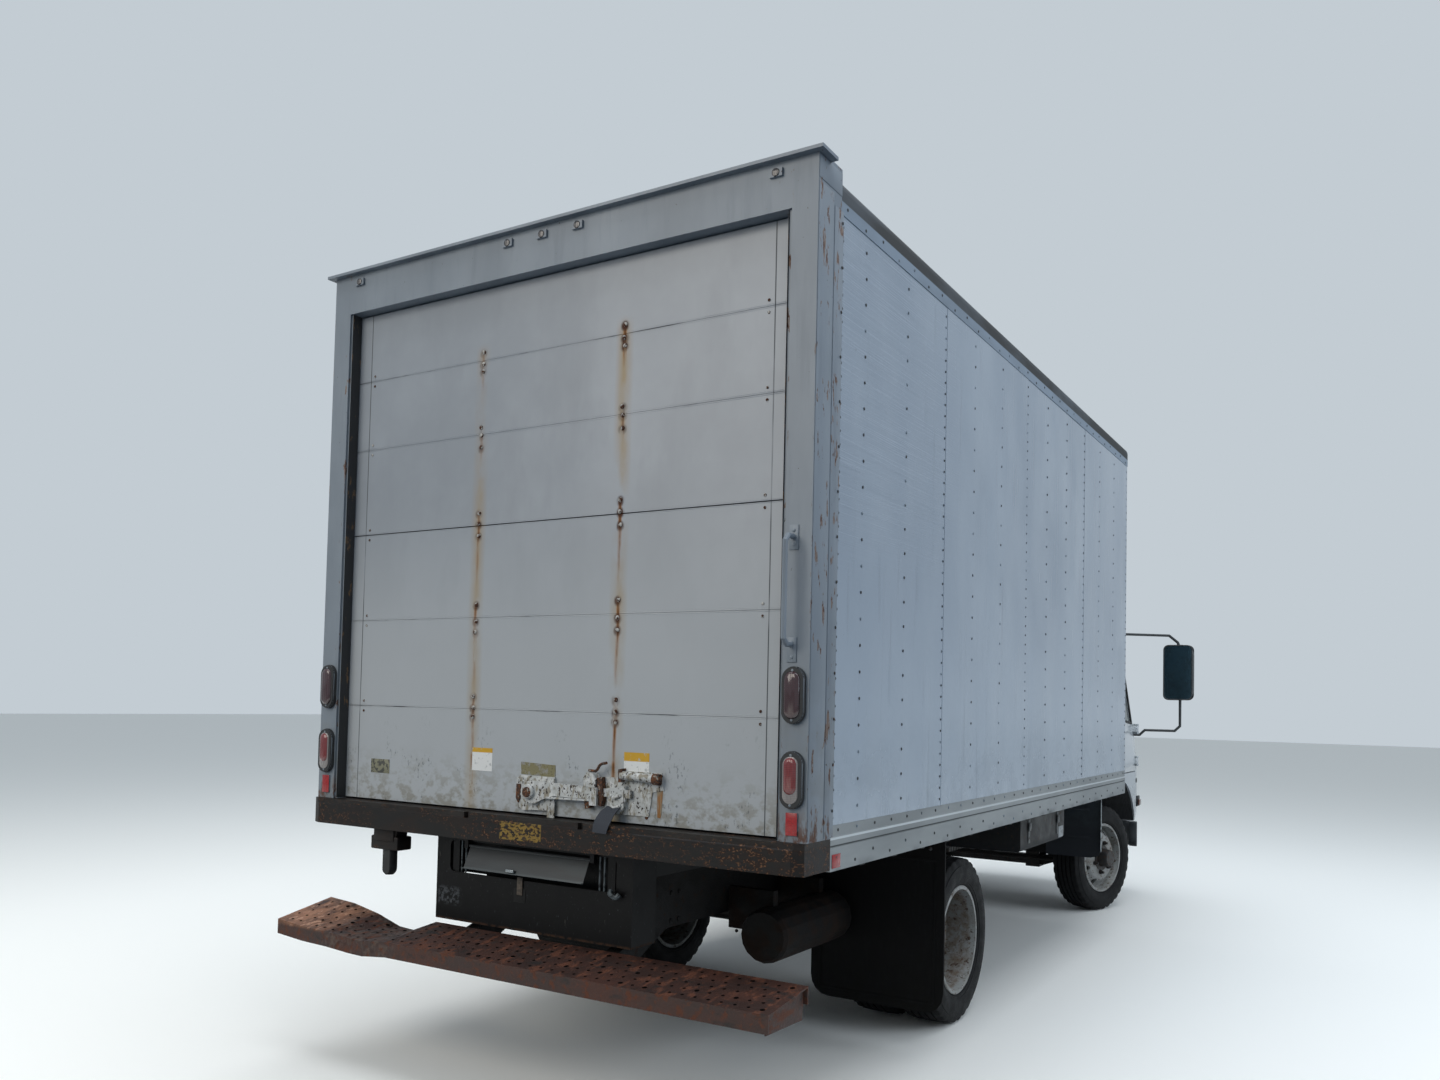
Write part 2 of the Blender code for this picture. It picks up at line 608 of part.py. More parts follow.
def make_sill():
    """Rear sill with its stepped top band, two notches and the hanging rubber stop."""
    side = [(SILL_REAR_X, SILL_LOW), (SILL_FRONT_X, SILL_LOW), (SILL_FRONT_X, SILL_HIGH),
            (SILL_REAR_X + SILL_BAND_STEP, SILL_HIGH),
            (SILL_REAR_X + SILL_BAND_STEP, SILL_HIGH - SILL_BAND),
            (SILL_REAR_X, SILL_HIGH - SILL_BAND - SILL_BAND_STEP)]
    bar = prism(side, "Y", -HALF_WIDTH, HALF_WIDTH)
    plan = [(SILL_REAR_X - OVERRUN / 2, SILL_CHAMFER - HALF_WIDTH), (0, -HALF_WIDTH - OVERRUN / 2),
            (SILL_FRONT_X + OVERRUN, -HALF_WIDTH - OVERRUN / 2),
            (SILL_FRONT_X + OVERRUN, HALF_WIDTH + OVERRUN / 2), (0, HALF_WIDTH + OVERRUN / 2),
            (SILL_REAR_X - OVERRUN / 2, HALF_WIDTH - SILL_CHAMFER)]
    bar = common(bar, prism(plan, "Z", SILL_LOW - OVERRUN, SILL_HIGH + OVERRUN))
    notches = [box((SILL_REAR_X - OVERRUN, place - SILL_NOTCH / 2, SILL_HIGH - SILL_NOTCH),
                   (SILL_REAR_X + SILL_NOTCH, place + SILL_NOTCH / 2, SILL_HIGH + OVERRUN))
               for place in (-SILL_NOTCH_Y, SILL_NOTCH_Y)]
    bar = cut(bar, *notches)
    half = BRACKET_WIDTH / 2
    foot = half * BRACKET_TAPER_SHARE
    plate = prism([(BRACKET_Y - half, SILL_LOW + SILL_BAND), (BRACKET_Y - foot, SILL_LOW - BRACKET_DROP),
                   (BRACKET_Y + foot, SILL_LOW - BRACKET_DROP), (BRACKET_Y + half, SILL_LOW + SILL_BAND)],
                  "X", 0, BRACKET_DEPTH)
    foot = SILL_LOW - BRACKET_DROP
    stop = tube([(BRACKET_DEPTH / 2, BRACKET_Y, foot + HOOK_RADIUS),
                 (BRACKET_DEPTH / 2, BRACKET_Y, foot - HOOK_DROP)], HOOK_RADIUS)
    part("rear_sill", fuse(bar, plate, stop), RUSTY)


def make_roll_door():
    """Roll-up door: sections drawn across the opening, with a groove at every joint."""
    low, high = SILL_HIGH + RUN_GAP, HEADER_LOW - DOOR_SIDE_GAP
    face, back = DOOR_FACE_X, DOOR_FACE_X + DOOR_THICK
    outline = [(back, low), (face, low)]
    for joint in DOOR_JOINTS:
        outline += [(face, joint - DOOR_GROOVE), (face + DOOR_GROOVE, joint), (face, joint + DOOR_GROOVE)]
    outline += [(face, high), (back, high)]
    for joint in reversed(DOOR_JOINTS):
        outline += [(back, joint + DOOR_GROOVE), (back - DOOR_GROOVE, joint), (back, joint - DOOR_GROOVE)]
    half = OPENING_HALF - DOOR_SIDE_GAP
    part("roll_door", prism(outline, "Y", -half, half), WHITE)


LATCH_PLATE = (-0.100, 0.080, 1.090, 1.220)     # base plate, low and high in Y then in Z
LATCH_PLATE_THICK = 0.008
LATCH_PIVOT = (0.015, 1.160)
LATCH_ARM_Y = -0.350
LATCH_ARM_Z = 1.178
LATCH_ARM_TALL = 0.030
LATCH_ARM_THICK = 0.012
LATCH_HUB = 0.034
LATCH_STANDOFF = 0.022
KEEPER = (-0.450, -0.340, 1.100, 1.235)


def make_latch():
    """Door latch: base plate, pivoted arm and the keeper that holds the arm's end."""
    face = DOOR_FACE_X - SEAT_GAP
    plate = box((face - LATCH_PLATE_THICK, LATCH_PLATE[0], LATCH_PLATE[2]),
                (face, LATCH_PLATE[1], LATCH_PLATE[3]))
    keeper = box((face - LATCH_PLATE_THICK, KEEPER[0], KEEPER[2]), (face, KEEPER[1], KEEPER[3]))
    hub = cylinder((face - LATCH_STANDOFF / 2, *LATCH_PIVOT), (1, 0, 0), LATCH_HUB, LATCH_STANDOFF)
    reach = KEEPER[0] - LATCH_STANDOFF
    half = LATCH_ARM_TALL / 2
    arm = prism([(LATCH_PIVOT[0], LATCH_PIVOT[1] + LATCH_HUB), (LATCH_PIVOT[0], LATCH_PIVOT[1] - LATCH_HUB),
                  (LATCH_PLATE[0], LATCH_ARM_Z - half), (reach, LATCH_ARM_Z - half),
                  (reach, LATCH_ARM_Z + half), (LATCH_PLATE[0], LATCH_ARM_Z + half)],
                "X", face - LATCH_STANDOFF, face - LATCH_STANDOFF + LATCH_ARM_THICK)
    post = box((face - LATCH_STANDOFF, KEEPER[0], LATCH_ARM_Z - LATCH_ARM_TALL),
               (face, KEEPER[0] + LATCH_ARM_TALL, LATCH_ARM_Z + LATCH_ARM_TALL))
    part("door_latch", fuse(plate, hub, arm, post, keeper), WHITE)


# Springs
SPRING_WIDTH = 0.070
LEAF_THICK = 0.012
LEAF_COUNT = 5
LEAF_STEP_SHARE = 0.15   # each leaf is shorter than the one above by this share
SPRING_STEPS = 6
EYE_RADIUS = 0.026
REAR_SPRING_Y = 0.468
REAR_SPRING_HALF = 0.620
REAR_SPRING_EYE_Z = 0.610
REAR_SPRING_LOW_Z = 0.505    # top leaf over the axle
FRONT_SPRING_Y = 0.385
FRONT_SPRING_HALF = 0.600
FRONT_SPRING_EYE_Z = 0.565
FRONT_SPRING_LOW_Z = 0.480
HANGER_THICK = 0.014
HANGER_HALF = 0.045
UBOLT_RADIUS = 0.009

# Axles
AXLE_TUBE_RADIUS = 0.062
DIFF_RADIUS = 0.185
DIFF_THICK = 0.150
DIFF_COVER_SHARE = 0.6
DIFF_NOSE_SHARE = 0.7
DIFF_NOSE_X = 2.330
DIFF_NOSE_RADIUS = 0.060
BEAM_DROP_Z = 0.330
BEAM_TALL = 0.075
BEAM_WIDE = 0.070
BOSS_RADIUS = 0.038
BOSS_SHOULDER_SHARE = 1.5    # the beam rises this many boss radii inside the kingpin
SADDLE_SHARE = 1.5        # an axle clamp is this many spring widths long
BOSS_LOW_Z = 0.345
BOSS_HIGH_Z = 0.445
SHAFT_RADIUS = 0.045
SHAFT_FRONT_X = 4.300
SHAFT_FRONT_Z = 0.640

# Power unit
ENGINE_LONG = 1.040
ENGINE_CLEAR = 0.070     # the engine's front to the cover's front wall
ENGINE_FRONT_X = DOGHOUSE_FRONT_X - ENGINE_CLEAR
ENGINE_REAR_X = ENGINE_FRONT_X - ENGINE_LONG
ENGINE_HALF = 0.270
ENGINE_LOW_Z = 0.570
ENGINE_HIGH_Z = 1.080
GEARBOX_HALF = 0.150
GEARBOX_LOW_Z = 0.500
GEARBOX_HIGH_Z = 0.800
ENGINE_MOUNT_AHEAD = 0.220
ENGINE_MOUNT_X = ENGINE_REAR_X + ENGINE_MOUNT_AHEAD
ENGINE_MOUNT_TALL = 0.060

# Underbody boxes
TANK_REAR_X = 3.000
TANK_LONG = 1.150
TANK_LOW_Z = 0.480
TANK_TALL = 0.360
TANK_WIDE = 0.500
BOX_REAR_X = 3.400
BOX_LONG = 1.000
BOX_LOW_Z = 0.660
BOX_TALL = 0.240
BOX_WIDE = 0.500
TANK_CORNER = 0.060
BOX_CORNER = 0.015
MUFFLER_REAR_X = 0.750
MUFFLER_LONG = 0.650
MUFFLER_Y = -0.642
MUFFLER_Z = 0.560
MUFFLER_RADIUS = 0.112
MUFFLER_STRAP = 0.040
MUFFLER_STRAP_IN = 0.110     # each strap to the near end of the can
MUFFLER_END_SHARE = 0.9

# Step bumper
STEP_HALF = 1.200
STEP_PLATE_THICK = 0.006
STEP_FLANGE = 0.061
STEP_DEPTH = 0.275
STEP_REAR_Z = 0.545
STEP_FRONT_Z = 0.582
# Along the bumper: place across as a share of its half width, lift of the rear and front edges
STEP_BEND_SHARES = ((-1.0, 0.000, 0.000), (0.45, 0.000, 0.000), (0.56, -0.014, -0.050),
                    (0.63, -0.012, -0.045), (0.74, -0.004, -0.008), (0.87, 0.000, 0.020),
                    (1.0, 0.012, 0.030))
STEP_ARM_Y = 0.360
STEP_ARM_WIDE = 0.060
STEP_ARM_THICK = 0.012

# Ramp housing under the rear sill
HOUSING_X = 0.080
HOUSING_DEPTH = 0.155
HOUSING_Y = 0.045        # its middle lies a little to the left
HOUSING_HALF = 0.505
HOUSING_LOW_Z = 0.600
HOUSING_THICK = 0.006
SLOT_HALF = 0.430
SLOT_LOW_Z = 0.800
SLOT_HIGH_Z = 0.930
SLOT_RADIUS = 0.020
RAMP_FLAP_HALF = 0.315
RAMP_FLAP_LIP = 0.012
RAMP_FLAP_DEEP = 0.094
RAMP_FLAP_THICK = 0.003
RAMP_FLAP_LEAN = math.radians(24)
RAMP_PIN_RADIUS = 0.006
RAMP_PIN_X = HOUSING_X - 0.008
RAMP_PIN_Z = 0.915
RAMP_STRAP = 0.050
RAMP_EAR = 0.020

# Mudflaps and splash guards
MUDFLAP_SILL = 3         # hangs from this cross sill, counted from the rear
MUDFLAP_THICK = 0.010
MUDFLAP_IN = 0.520
MUDFLAP_OUT = 1.170
MUDFLAP_LOW_Z = 0.170
MUDFLAP_CORNER = 0.090
GUARD_SETBACK = 0.580    # the splash flaps hang this far behind the front axle
GUARD_X = FRONT_AXLE_X - GUARD_SETBACK
GUARD_THICK = 0.006
GUARD_LOW_Z = 0.460
GUARD_HIGH_Z = 0.930
GUARD_IN = FRONT_SPRING_Y + SPRING_WIDTH / 2
GUARD_OUT = 0.985

# Front bumper
BUMPER_LOW_Z = 0.400
BUMPER_HIGH_Z = 0.600
BUMPER_THICK = 0.060
BUMPER_HALF = 0.985
BUMPER_WRAP = 0.300
BUMPER_BRACKET = 0.050


def leaf_pack(middle_x, spring_y, half, eye_z, low_z):
    """A leaf spring: the top leaf curves up to its eyes, shorter leaves are stacked below."""
    rise = eye_z - low_z

    def height(share):
        return low_z + rise * share * share

    steps = [-1 + step / SPRING_STEPS for step in range(2 * SPRING_STEPS + 1)]
    upper = [(middle_x + share * half, height(share)) for share in steps]
    lower = [(1, 1)]
    for leaf in range(1, LEAF_COUNT):
        share = 1 - LEAF_STEP_SHARE * leaf
        lower += [(share, leaf), (share, leaf + 1)]
    lower += [(0, LEAF_COUNT)] + [(-share, leaf) for share, leaf in reversed(lower)]
    outline = upper + [(middle_x + share * half, height(share) - LEAF_THICK * leaf) for share, leaf in lower]
    wide = SPRING_WIDTH / 2
    pack = prism(outline, "Y", spring_y - wide, spring_y + wide)
    eyes = [cylinder((middle_x + side * half, spring_y, eye_z), (0, 1, 0), EYE_RADIUS, SPRING_WIDTH, 12)
            for side in (-1, 1)]
    return fuse(pack, *eyes)


def hanger(middle_x, spring_y, eye_z, side):
    """A fork whose cheeks hold a spring's eye, fastened to the frame rail's lower flange."""
    wide = SPRING_WIDTH / 2 + SEAT_GAP
    in_y, out_y = spring_y - wide - HANGER_THICK, spring_y + wide + HANGER_THICK
    low = eye_z - EYE_RADIUS
    high = FRAME_TOP - FRAME_DEPTH + OVERRUN
    bridge = max(eye_z + EYE_RADIUS + SEAT_GAP, FRAME_TOP - FRAME_DEPTH - HANGER_HALF)
    outline = [(in_y, low), (in_y + HANGER_THICK, low), (in_y + HANGER_THICK, bridge),
               (out_y - HANGER_THICK, bridge), (out_y - HANGER_THICK, low), (out_y, low),
               (out_y, high), (in_y, high)]
    return prism([(side * y, z) for y, z in outline], "X", middle_x - HANGER_HALF, middle_x + HANGER_HALF)


def make_frame():
    """Two channel rails, tube crossmembers, spring hangers and the step bumper's arms."""
    low = FRAME_TOP - FRAME_DEPTH
    out, web, tip = FRAME_HALF_WIDTH, FRAME_HALF_WIDTH - FRAME_THICK, FRAME_HALF_WIDTH - FRAME_FLANGE
    channel = [(tip, FRAME_TOP), (out, FRAME_TOP), (out, low), (tip, low), (tip, low + FRAME_THICK),
               (web, low + FRAME_THICK), (web, FRAME_TOP - FRAME_THICK), (tip, FRAME_TOP - FRAME_THICK)]
    left = prism(channel, "X", FRAME_REAR_X, FRAME_FRONT_X)
    pieces = [mirrored(left)]
    middle_z = FRAME_TOP - FRAME_DEPTH / 2
    for place in CROSSMEMBERS_X:
        pieces.append(cylinder((place, 0, middle_z), (0, 1, 0), CROSSMEMBER_RADIUS,
                               2 * FRAME_HALF_WIDTH - FRAME_THICK, 10))
    for side in (-1, 1):
        for end in (-1, 1):
            rear_x = REAR_AXLE_X + end * REAR_SPRING_HALF
            front_x = FRONT_AXLE_X + end * FRONT_SPRING_HALF
            pieces.append(hanger(rear_x, REAR_SPRING_Y, REAR_SPRING_EYE_Z, side))
            pieces.append(hanger(front_x, FRONT_SPRING_Y, FRONT_SPRING_EYE_Z, side))
        ends = sorted((side * (STEP_ARM_Y - STEP_ARM_WIDE / 2), side * (STEP_ARM_Y + STEP_ARM_WIDE / 2)))
        arm_low = STEP_REAR_Z - STEP_FLANGE + SEAT_GAP
        reach = STEP_REAR_X + STEP_DEPTH + SEAT_GAP
        arm = [(FRAME_REAR_X + OVERRUN, low + FRAME_THICK / 2), (reach, STEP_FRONT_Z - STEP_ARM_THICK),
               (reach, arm_low), (reach + STEP_ARM_WIDE, arm_low),
               (FRAME_REAR_X + 4 * OVERRUN, low + FRAME_THICK / 2)]
        pieces.append(prism(arm, "Y", *ends))
        ends = sorted((side * (TILT_Y + SEAT_GAP), side * (TILT_Y + SEAT_GAP + TILT_EAR)))
        flange = FRAME_TOP - FRAME_THICK / 2
        ear = [(FRAME_FRONT_X - OVERRUN, TILT_Z - TILT_PIN_RADIUS)]
        ear += arc((TILT_X, TILT_Z), TILT_PIN_RADIUS, -90, 90, 6)
        ear += [(FRAME_FRONT_X, flange), (FRAME_FRONT_X - OVERRUN, flange)]
        pieces.append(prism(ear, "Y", *ends))
        pieces.append(box(
            (CAB_REST_X, side * CAB_REST_Y - CAB_REST_WIDE / 2, flange),
            (CAB_REST_X + CAB_REST_LONG, side * CAB_REST_Y + CAB_REST_WIDE / 2, CAB_FLOOR_Z - SEAT_GAP)))
        ends = sorted((side * GUARD_IN, side * GUARD_OUT))
        pieces.append(box((GUARD_X, ends[0], GUARD_LOW_Z), (GUARD_X + GUARD_THICK, ends[1], GUARD_HIGH_Z)))
    part("chassis_frame", fuse(left, *pieces), BLACK)


def make_rear_axle():
    """Drive axle: tube housing with a round banjo, nose and both leaf springs."""
    housing = cylinder((REAR_AXLE_X, 0, HUB_HEIGHT), (0, 1, 0), AXLE_TUBE_RADIUS,
                       2 * (REAR_HUB_IN_Y - SEAT_GAP), 16)
    bulge = DIFF_THICK / 2
    banjo = turned([(0, -bulge), (DIFF_RADIUS * DIFF_COVER_SHARE, -bulge), (DIFF_RADIUS, -bulge / 3),
                    (DIFF_RADIUS, bulge / 3), (DIFF_RADIUS * DIFF_COVER_SHARE, bulge), (0, bulge)],
                   "Y", (REAR_AXLE_X, 0, HUB_HEIGHT), 16)
    nose_start = REAR_AXLE_X + bulge
    nose = cylinder(((nose_start + DIFF_NOSE_X) / 2, 0, HUB_HEIGHT), (1, 0, 0), DIFF_RADIUS * DIFF_NOSE_SHARE,
                    DIFF_NOSE_X - nose_start, 12, DIFF_NOSE_RADIUS)
    pieces = [banjo, nose]
    for side in (-1, 1):
        pieces.append(leaf_pack(REAR_AXLE_X, side * REAR_SPRING_Y, REAR_SPRING_HALF,
                                REAR_SPRING_EYE_Z, REAR_SPRING_LOW_Z))
        pieces += u_bolts(REAR_AXLE_X, side * REAR_SPRING_Y, REAR_SPRING_LOW_Z, HUB_HEIGHT - AXLE_TUBE_RADIUS)
    part("rear_axle", fuse(housing, *pieces), CASTING)


def u_bolts(middle_x, spring_y, high, low):
    """The clamp over a spring: a saddle block and its bottom plate joined through the axle."""
    wide = SPRING_WIDTH / 2 + 2 * UBOLT_RADIUS
    long = SADDLE_SHARE * SPRING_WIDTH
    return [box((middle_x - long, spring_y - wide, low - UBOLT_RADIUS),
                (middle_x + long, spring_y + wide, low + UBOLT_RADIUS)),
            box((middle_x - long, spring_y - wide, low),
                (middle_x - long + 2 * UBOLT_RADIUS, spring_y + wide, high)),
            box((middle_x + long - 2 * UBOLT_RADIUS, spring_y - wide, low),
                (middle_x + long, spring_y + wide, high)),
            box((middle_x - long, spring_y - wide, high - LEAF_THICK),
                (middle_x + long, spring_y + wide, high + LEAF_THICK))]


def make_front_axle():
    """Steer axle: a dropped beam with kingpin bosses and both leaf springs."""
    boss_z = (BOSS_LOW_Z + BOSS_HIGH_Z) / 2
    tall = BEAM_TALL / 2
    rise_y = FRONT_SPRING_Y + SPRING_WIDTH
    shoulder_y = KINGPIN_Y - BOSS_SHOULDER_SHARE * BOSS_RADIUS
    half = [(0, BEAM_DROP_Z - tall), (rise_y, BEAM_DROP_Z - tall), (shoulder_y, boss_z - tall),
            (KINGPIN_Y, boss_z - tall), (KINGPIN_Y, boss_z + tall),
            (shoulder_y, boss_z + tall), (rise_y, BEAM_DROP_Z + tall), (0, BEAM_DROP_Z + tall)]
    loop = [(y, z) for y, z in half] + [(-y, z) for y, z in reversed(half[1:-1])]
    wide = BEAM_WIDE / 2
    beam = prism(loop, "X", FRONT_AXLE_X - wide, FRONT_AXLE_X + wide)
    pieces = []
    for side in (-1, 1):
        pieces.append(cylinder((FRONT_AXLE_X, side * KINGPIN_Y, boss_z), (0, 0, 1), BOSS_RADIUS,
                               BOSS_HIGH_Z - BOSS_LOW_Z, 16))
        pieces.append(leaf_pack(FRONT_AXLE_X, side * FRONT_SPRING_Y, FRONT_SPRING_HALF,
                                FRONT_SPRING_EYE_Z, FRONT_SPRING_LOW_Z))
        pieces += u_bolts(FRONT_AXLE_X, side * FRONT_SPRING_Y, FRONT_SPRING_LOW_Z, BEAM_DROP_Z - tall)
    part("front_axle", fuse(beam, *pieces), CASTING)


def make_power_unit():
    """Engine and gearbox as one plain block, on mounts that reach the frame rails."""
    engine = box((ENGINE_REAR_X, -ENGINE_HALF, ENGINE_LOW_Z), (ENGINE_FRONT_X, ENGINE_HALF, ENGINE_HIGH_Z))
    gearbox = box((SHAFT_FRONT_X, -GEARBOX_HALF, GEARBOX_LOW_Z),
                  (ENGINE_REAR_X + OVERRUN, GEARBOX_HALF, GEARBOX_HIGH_Z))
    reach = FRAME_HALF_WIDTH - FRAME_THICK - SEAT_GAP
    low = FRAME_TOP - FRAME_DEPTH + 2 * FRAME_THICK
    mounts = box((ENGINE_MOUNT_X, -reach, low),
                 (ENGINE_MOUNT_X + 2 * ENGINE_MOUNT_TALL, reach, low + ENGINE_MOUNT_TALL))
    part("engine", fuse(engine, gearbox, mounts), CASTING)
    rear = Vector((DIFF_NOSE_X + SEAT_GAP, 0, HUB_HEIGHT))
    front = Vector((SHAFT_FRONT_X - SEAT_GAP, 0, SHAFT_FRONT_Z))
    lean = SHAFT_RADIUS
    shaft = tube([rear, rear + Vector((lean, 0, 0)), front - Vector((lean, 0, 0)), front], SHAFT_RADIUS, 12)
    part("drive_shaft", shaft, CASTING)


def rounded_box(low, high, corner, axis, steps=3):
    """A box whose four edges along an axis are rounded."""
    keys = {"X": (1, 2, 0), "Y": (0, 2, 1), "Z": (0, 1, 2)}[axis]
    first, second, along = keys
    loop = []
    for centre_first, centre_second, start in (
            (high[first] - corner, high[second] - corner, 0),
            (low[first] + corner, high[second] - corner, 90),
            (low[first] + corner, low[second] + corner, 180),
            (high[first] - corner, low[second] + corner, 270)):
        loop += arc((centre_first, centre_second), corner, start, start + 90, steps)
    return prism(loop, axis, low[along], high[along])


def make_underbody():
    """Fuel tank, battery box and muffler, each against a frame rail."""
    seat = FRAME_HALF_WIDTH + SEAT_GAP
    tank = rounded_box((TANK_REAR_X, seat, TANK_LOW_Z),
                       (TANK_REAR_X + TANK_LONG, seat + TANK_WIDE, TANK_LOW_Z + TANK_TALL), TANK_CORNER, "X")
    part("fuel_tank", tank, BLACK)
    case = rounded_box((BOX_REAR_X, -seat - BOX_WIDE, BOX_LOW_Z),
                       (BOX_REAR_X + BOX_LONG, -seat, BOX_LOW_Z + BOX_TALL), BOX_CORNER, "X", 1)
    part("battery_box", case, BLACK)
    low, high = MUFFLER_REAR_X, MUFFLER_REAR_X + MUFFLER_LONG
    end = MUFFLER_RADIUS * MUFFLER_END_SHARE
    can = turned([(0, low), (end, low), (MUFFLER_RADIUS, low + MUFFLER_STRAP / 2),
                  (MUFFLER_RADIUS, high - MUFFLER_STRAP / 2), (end, high), (0, high)], "Z", (0, 0, 0), 16)
    lie = Matrix.Rotation(math.radians(90), 4, "Y")
    can = moved(can, Matrix.Translation((0, MUFFLER_Y, MUFFLER_Z)) @ lie)
    straps = [box((place - MUFFLER_STRAP / 2, MUFFLER_Y, MUFFLER_Z),
                  (place + MUFFLER_STRAP / 2, -seat, FRAME_TOP - FRAME_DEPTH / 2))
              for place in (low + MUFFLER_STRAP_IN, high - MUFFLER_STRAP_IN)]
    part("muffler", fuse(can, *straps), BLACK)


def strip(sections):
    """A closed loft through sections that have equally many points."""
    work = bmesh.new()
    rings = []
    for section in sections:
        ring = [work.verts.new(point) for point in section]
        rings.append([work.edges.new((one, two)) for one, two in zip(ring, ring[1:] + ring[:1])])
    for one, two in zip(rings, rings[1:]):
        bmesh.ops.bridge_loops(work, edges=one + two)
    for ring in (rings[0], rings[-1]):
        bmesh.ops.contextual_create(work, geom=ring)
    bmesh.ops.triangulate(work, faces=work.faces)
    return finish_mesh(work)


def make_step_bumper():
    """Step bumper: a rusted channel plate, bent up at the left end with a dip beside it."""
    thick = STEP_PLATE_THICK
    front_x = STEP_REAR_X + STEP_DEPTH
    sections = []
    for share, rear_lift, front_lift in STEP_BEND_SHARES:
        across = share * STEP_HALF
        rear, front = STEP_REAR_Z + rear_lift, STEP_FRONT_Z + front_lift
        section = [(STEP_REAR_X, rear), (STEP_REAR_X, rear - STEP_FLANGE),
                   (STEP_REAR_X + thick, rear - STEP_FLANGE), (STEP_REAR_X + thick, rear - thick),
                   (front_x - thick, front - thick), (front_x - thick, front - STEP_FLANGE),
                   (front_x, front - STEP_FLANGE), (front_x, front)]
        sections.append([(x, across, z) for x, z in section])
    part("step_bumper", strip(sections), RUST)


def make_ramp_housing():
    """Black steel end plate with side returns and the slot that a ramp slides through."""
    low_y, high_y = HOUSING_Y - HOUSING_HALF, HOUSING_Y + HOUSING_HALF
    high = SILL_LOW - SEAT_GAP
    far = HOUSING_X + HOUSING_DEPTH
    plan = [(HOUSING_X, low_y), (far, low_y), (far, low_y + HOUSING_THICK),
            (HOUSING_X + HOUSING_THICK, low_y + HOUSING_THICK),
            (HOUSING_X + HOUSING_THICK, high_y - HOUSING_THICK), (far, high_y - HOUSING_THICK),
            (far, high_y), (HOUSING_X, high_y)]
    shell = prism(plan, "Z", HOUSING_LOW_Z, high)
    slot = []
    radius = SLOT_RADIUS
    reach = SLOT_HALF - radius
    for centre_y, centre_z, start in (
            (HOUSING_Y + reach, SLOT_HIGH_Z - radius, 0), (HOUSING_Y - reach, SLOT_HIGH_Z - radius, 90),
            (HOUSING_Y - reach, SLOT_LOW_Z + radius, 180), (HOUSING_Y + reach, SLOT_LOW_Z + radius, 270)):
        slot += arc((centre_y, centre_z), radius, start, start + 90, 2)
    shell = cut(shell, prism(slot, "X", HOUSING_X - OVERRUN, HOUSING_X + OVERRUN))
    ears = []
    for side in (-1, 1):
        inner = HOUSING_Y + side * (RAMP_FLAP_HALF + SEAT_GAP)
        ends = sorted((inner, inner + side * RAMP_EAR))
        ears.append(box((RAMP_PIN_X - RAMP_EAR / 2, ends[0], RAMP_PIN_Z - RAMP_EAR / 2),
                        (HOUSING_X + HOUSING_THICK / 2, ends[1], SLOT_HIGH_Z + RAMP_EAR / 2)))
    part("ramp_housing", fuse(shell, *ears), BLACK)
    point = empty("ramp_flap_pivot", (RAMP_PIN_X, HOUSING_Y, RAMP_PIN_Z), datum)
    pin = cylinder((RAMP_PIN_X, HOUSING_Y, RAMP_PIN_Z), (0, 1, 0), RAMP_PIN_RADIUS, 2 * RAMP_FLAP_HALF, 8)
    thick = RAMP_FLAP_THICK / 2
    leaf = [(-thick, 0), (-thick, -RAMP_FLAP_DEEP), (-RAMP_FLAP_LIP, -RAMP_FLAP_DEEP - thick),
            (-RAMP_FLAP_LIP, -RAMP_FLAP_DEEP - 3 * thick), (thick, -RAMP_FLAP_DEEP - 2 * thick), (thick, 0)]
    sine, cosine = math.sin(RAMP_FLAP_LEAN), math.cos(RAMP_FLAP_LEAN)
    leaf = [(RAMP_PIN_X + x * cosine + z * sine, RAMP_PIN_Z - x * sine + z * cosine) for x, z in leaf]
    half = RAMP_FLAP_HALF - RUN_GAP
    plate = prism(leaf, "Y", HOUSING_Y - half, HOUSING_Y + half)
    part("ramp_flap", fuse(plate, pin), GREY, point)


def make_mudflap(side, name):
    """Rubber mudflap, hung from a cross sill, its lower corners rounded."""
    place = CROSS_SILL_FIRST_X + MUDFLAP_SILL * CROSS_SILL_PITCH
    high = CROSS_SILL_LOW - SEAT_GAP
    corner = MUDFLAP_CORNER
    loop = [(MUDFLAP_IN, high)]
    loop += arc((MUDFLAP_IN + corner, MUDFLAP_LOW_Z + corner), corner, 180, 270, 4)
    loop += arc((MUDFLAP_OUT - corner, MUDFLAP_LOW_Z + corner), corner, 270, 360, 4)
    loop += [(MUDFLAP_OUT, high)]
    flap = prism([(side * y, z) for y, z in loop], "X", place - MUDFLAP_THICK / 2, place + MUDFLAP_THICK / 2)
    part("mudflap_" + name, flap, FLAP)


def nose_plan(front_x, half, depth, power, steps):
    """Plan of a rounded nose, from the left side round the front to the right, in (X, Y)."""
    shares = [math.sin(math.pi / 2 * step / steps) for step in range(steps + 1)]
    left = [(front_x - depth + depth * share, half * (1 - share ** power) ** (1 / power)) for share in shares]
    return left + [(x, -y) for x, y in reversed(left[:-1])]


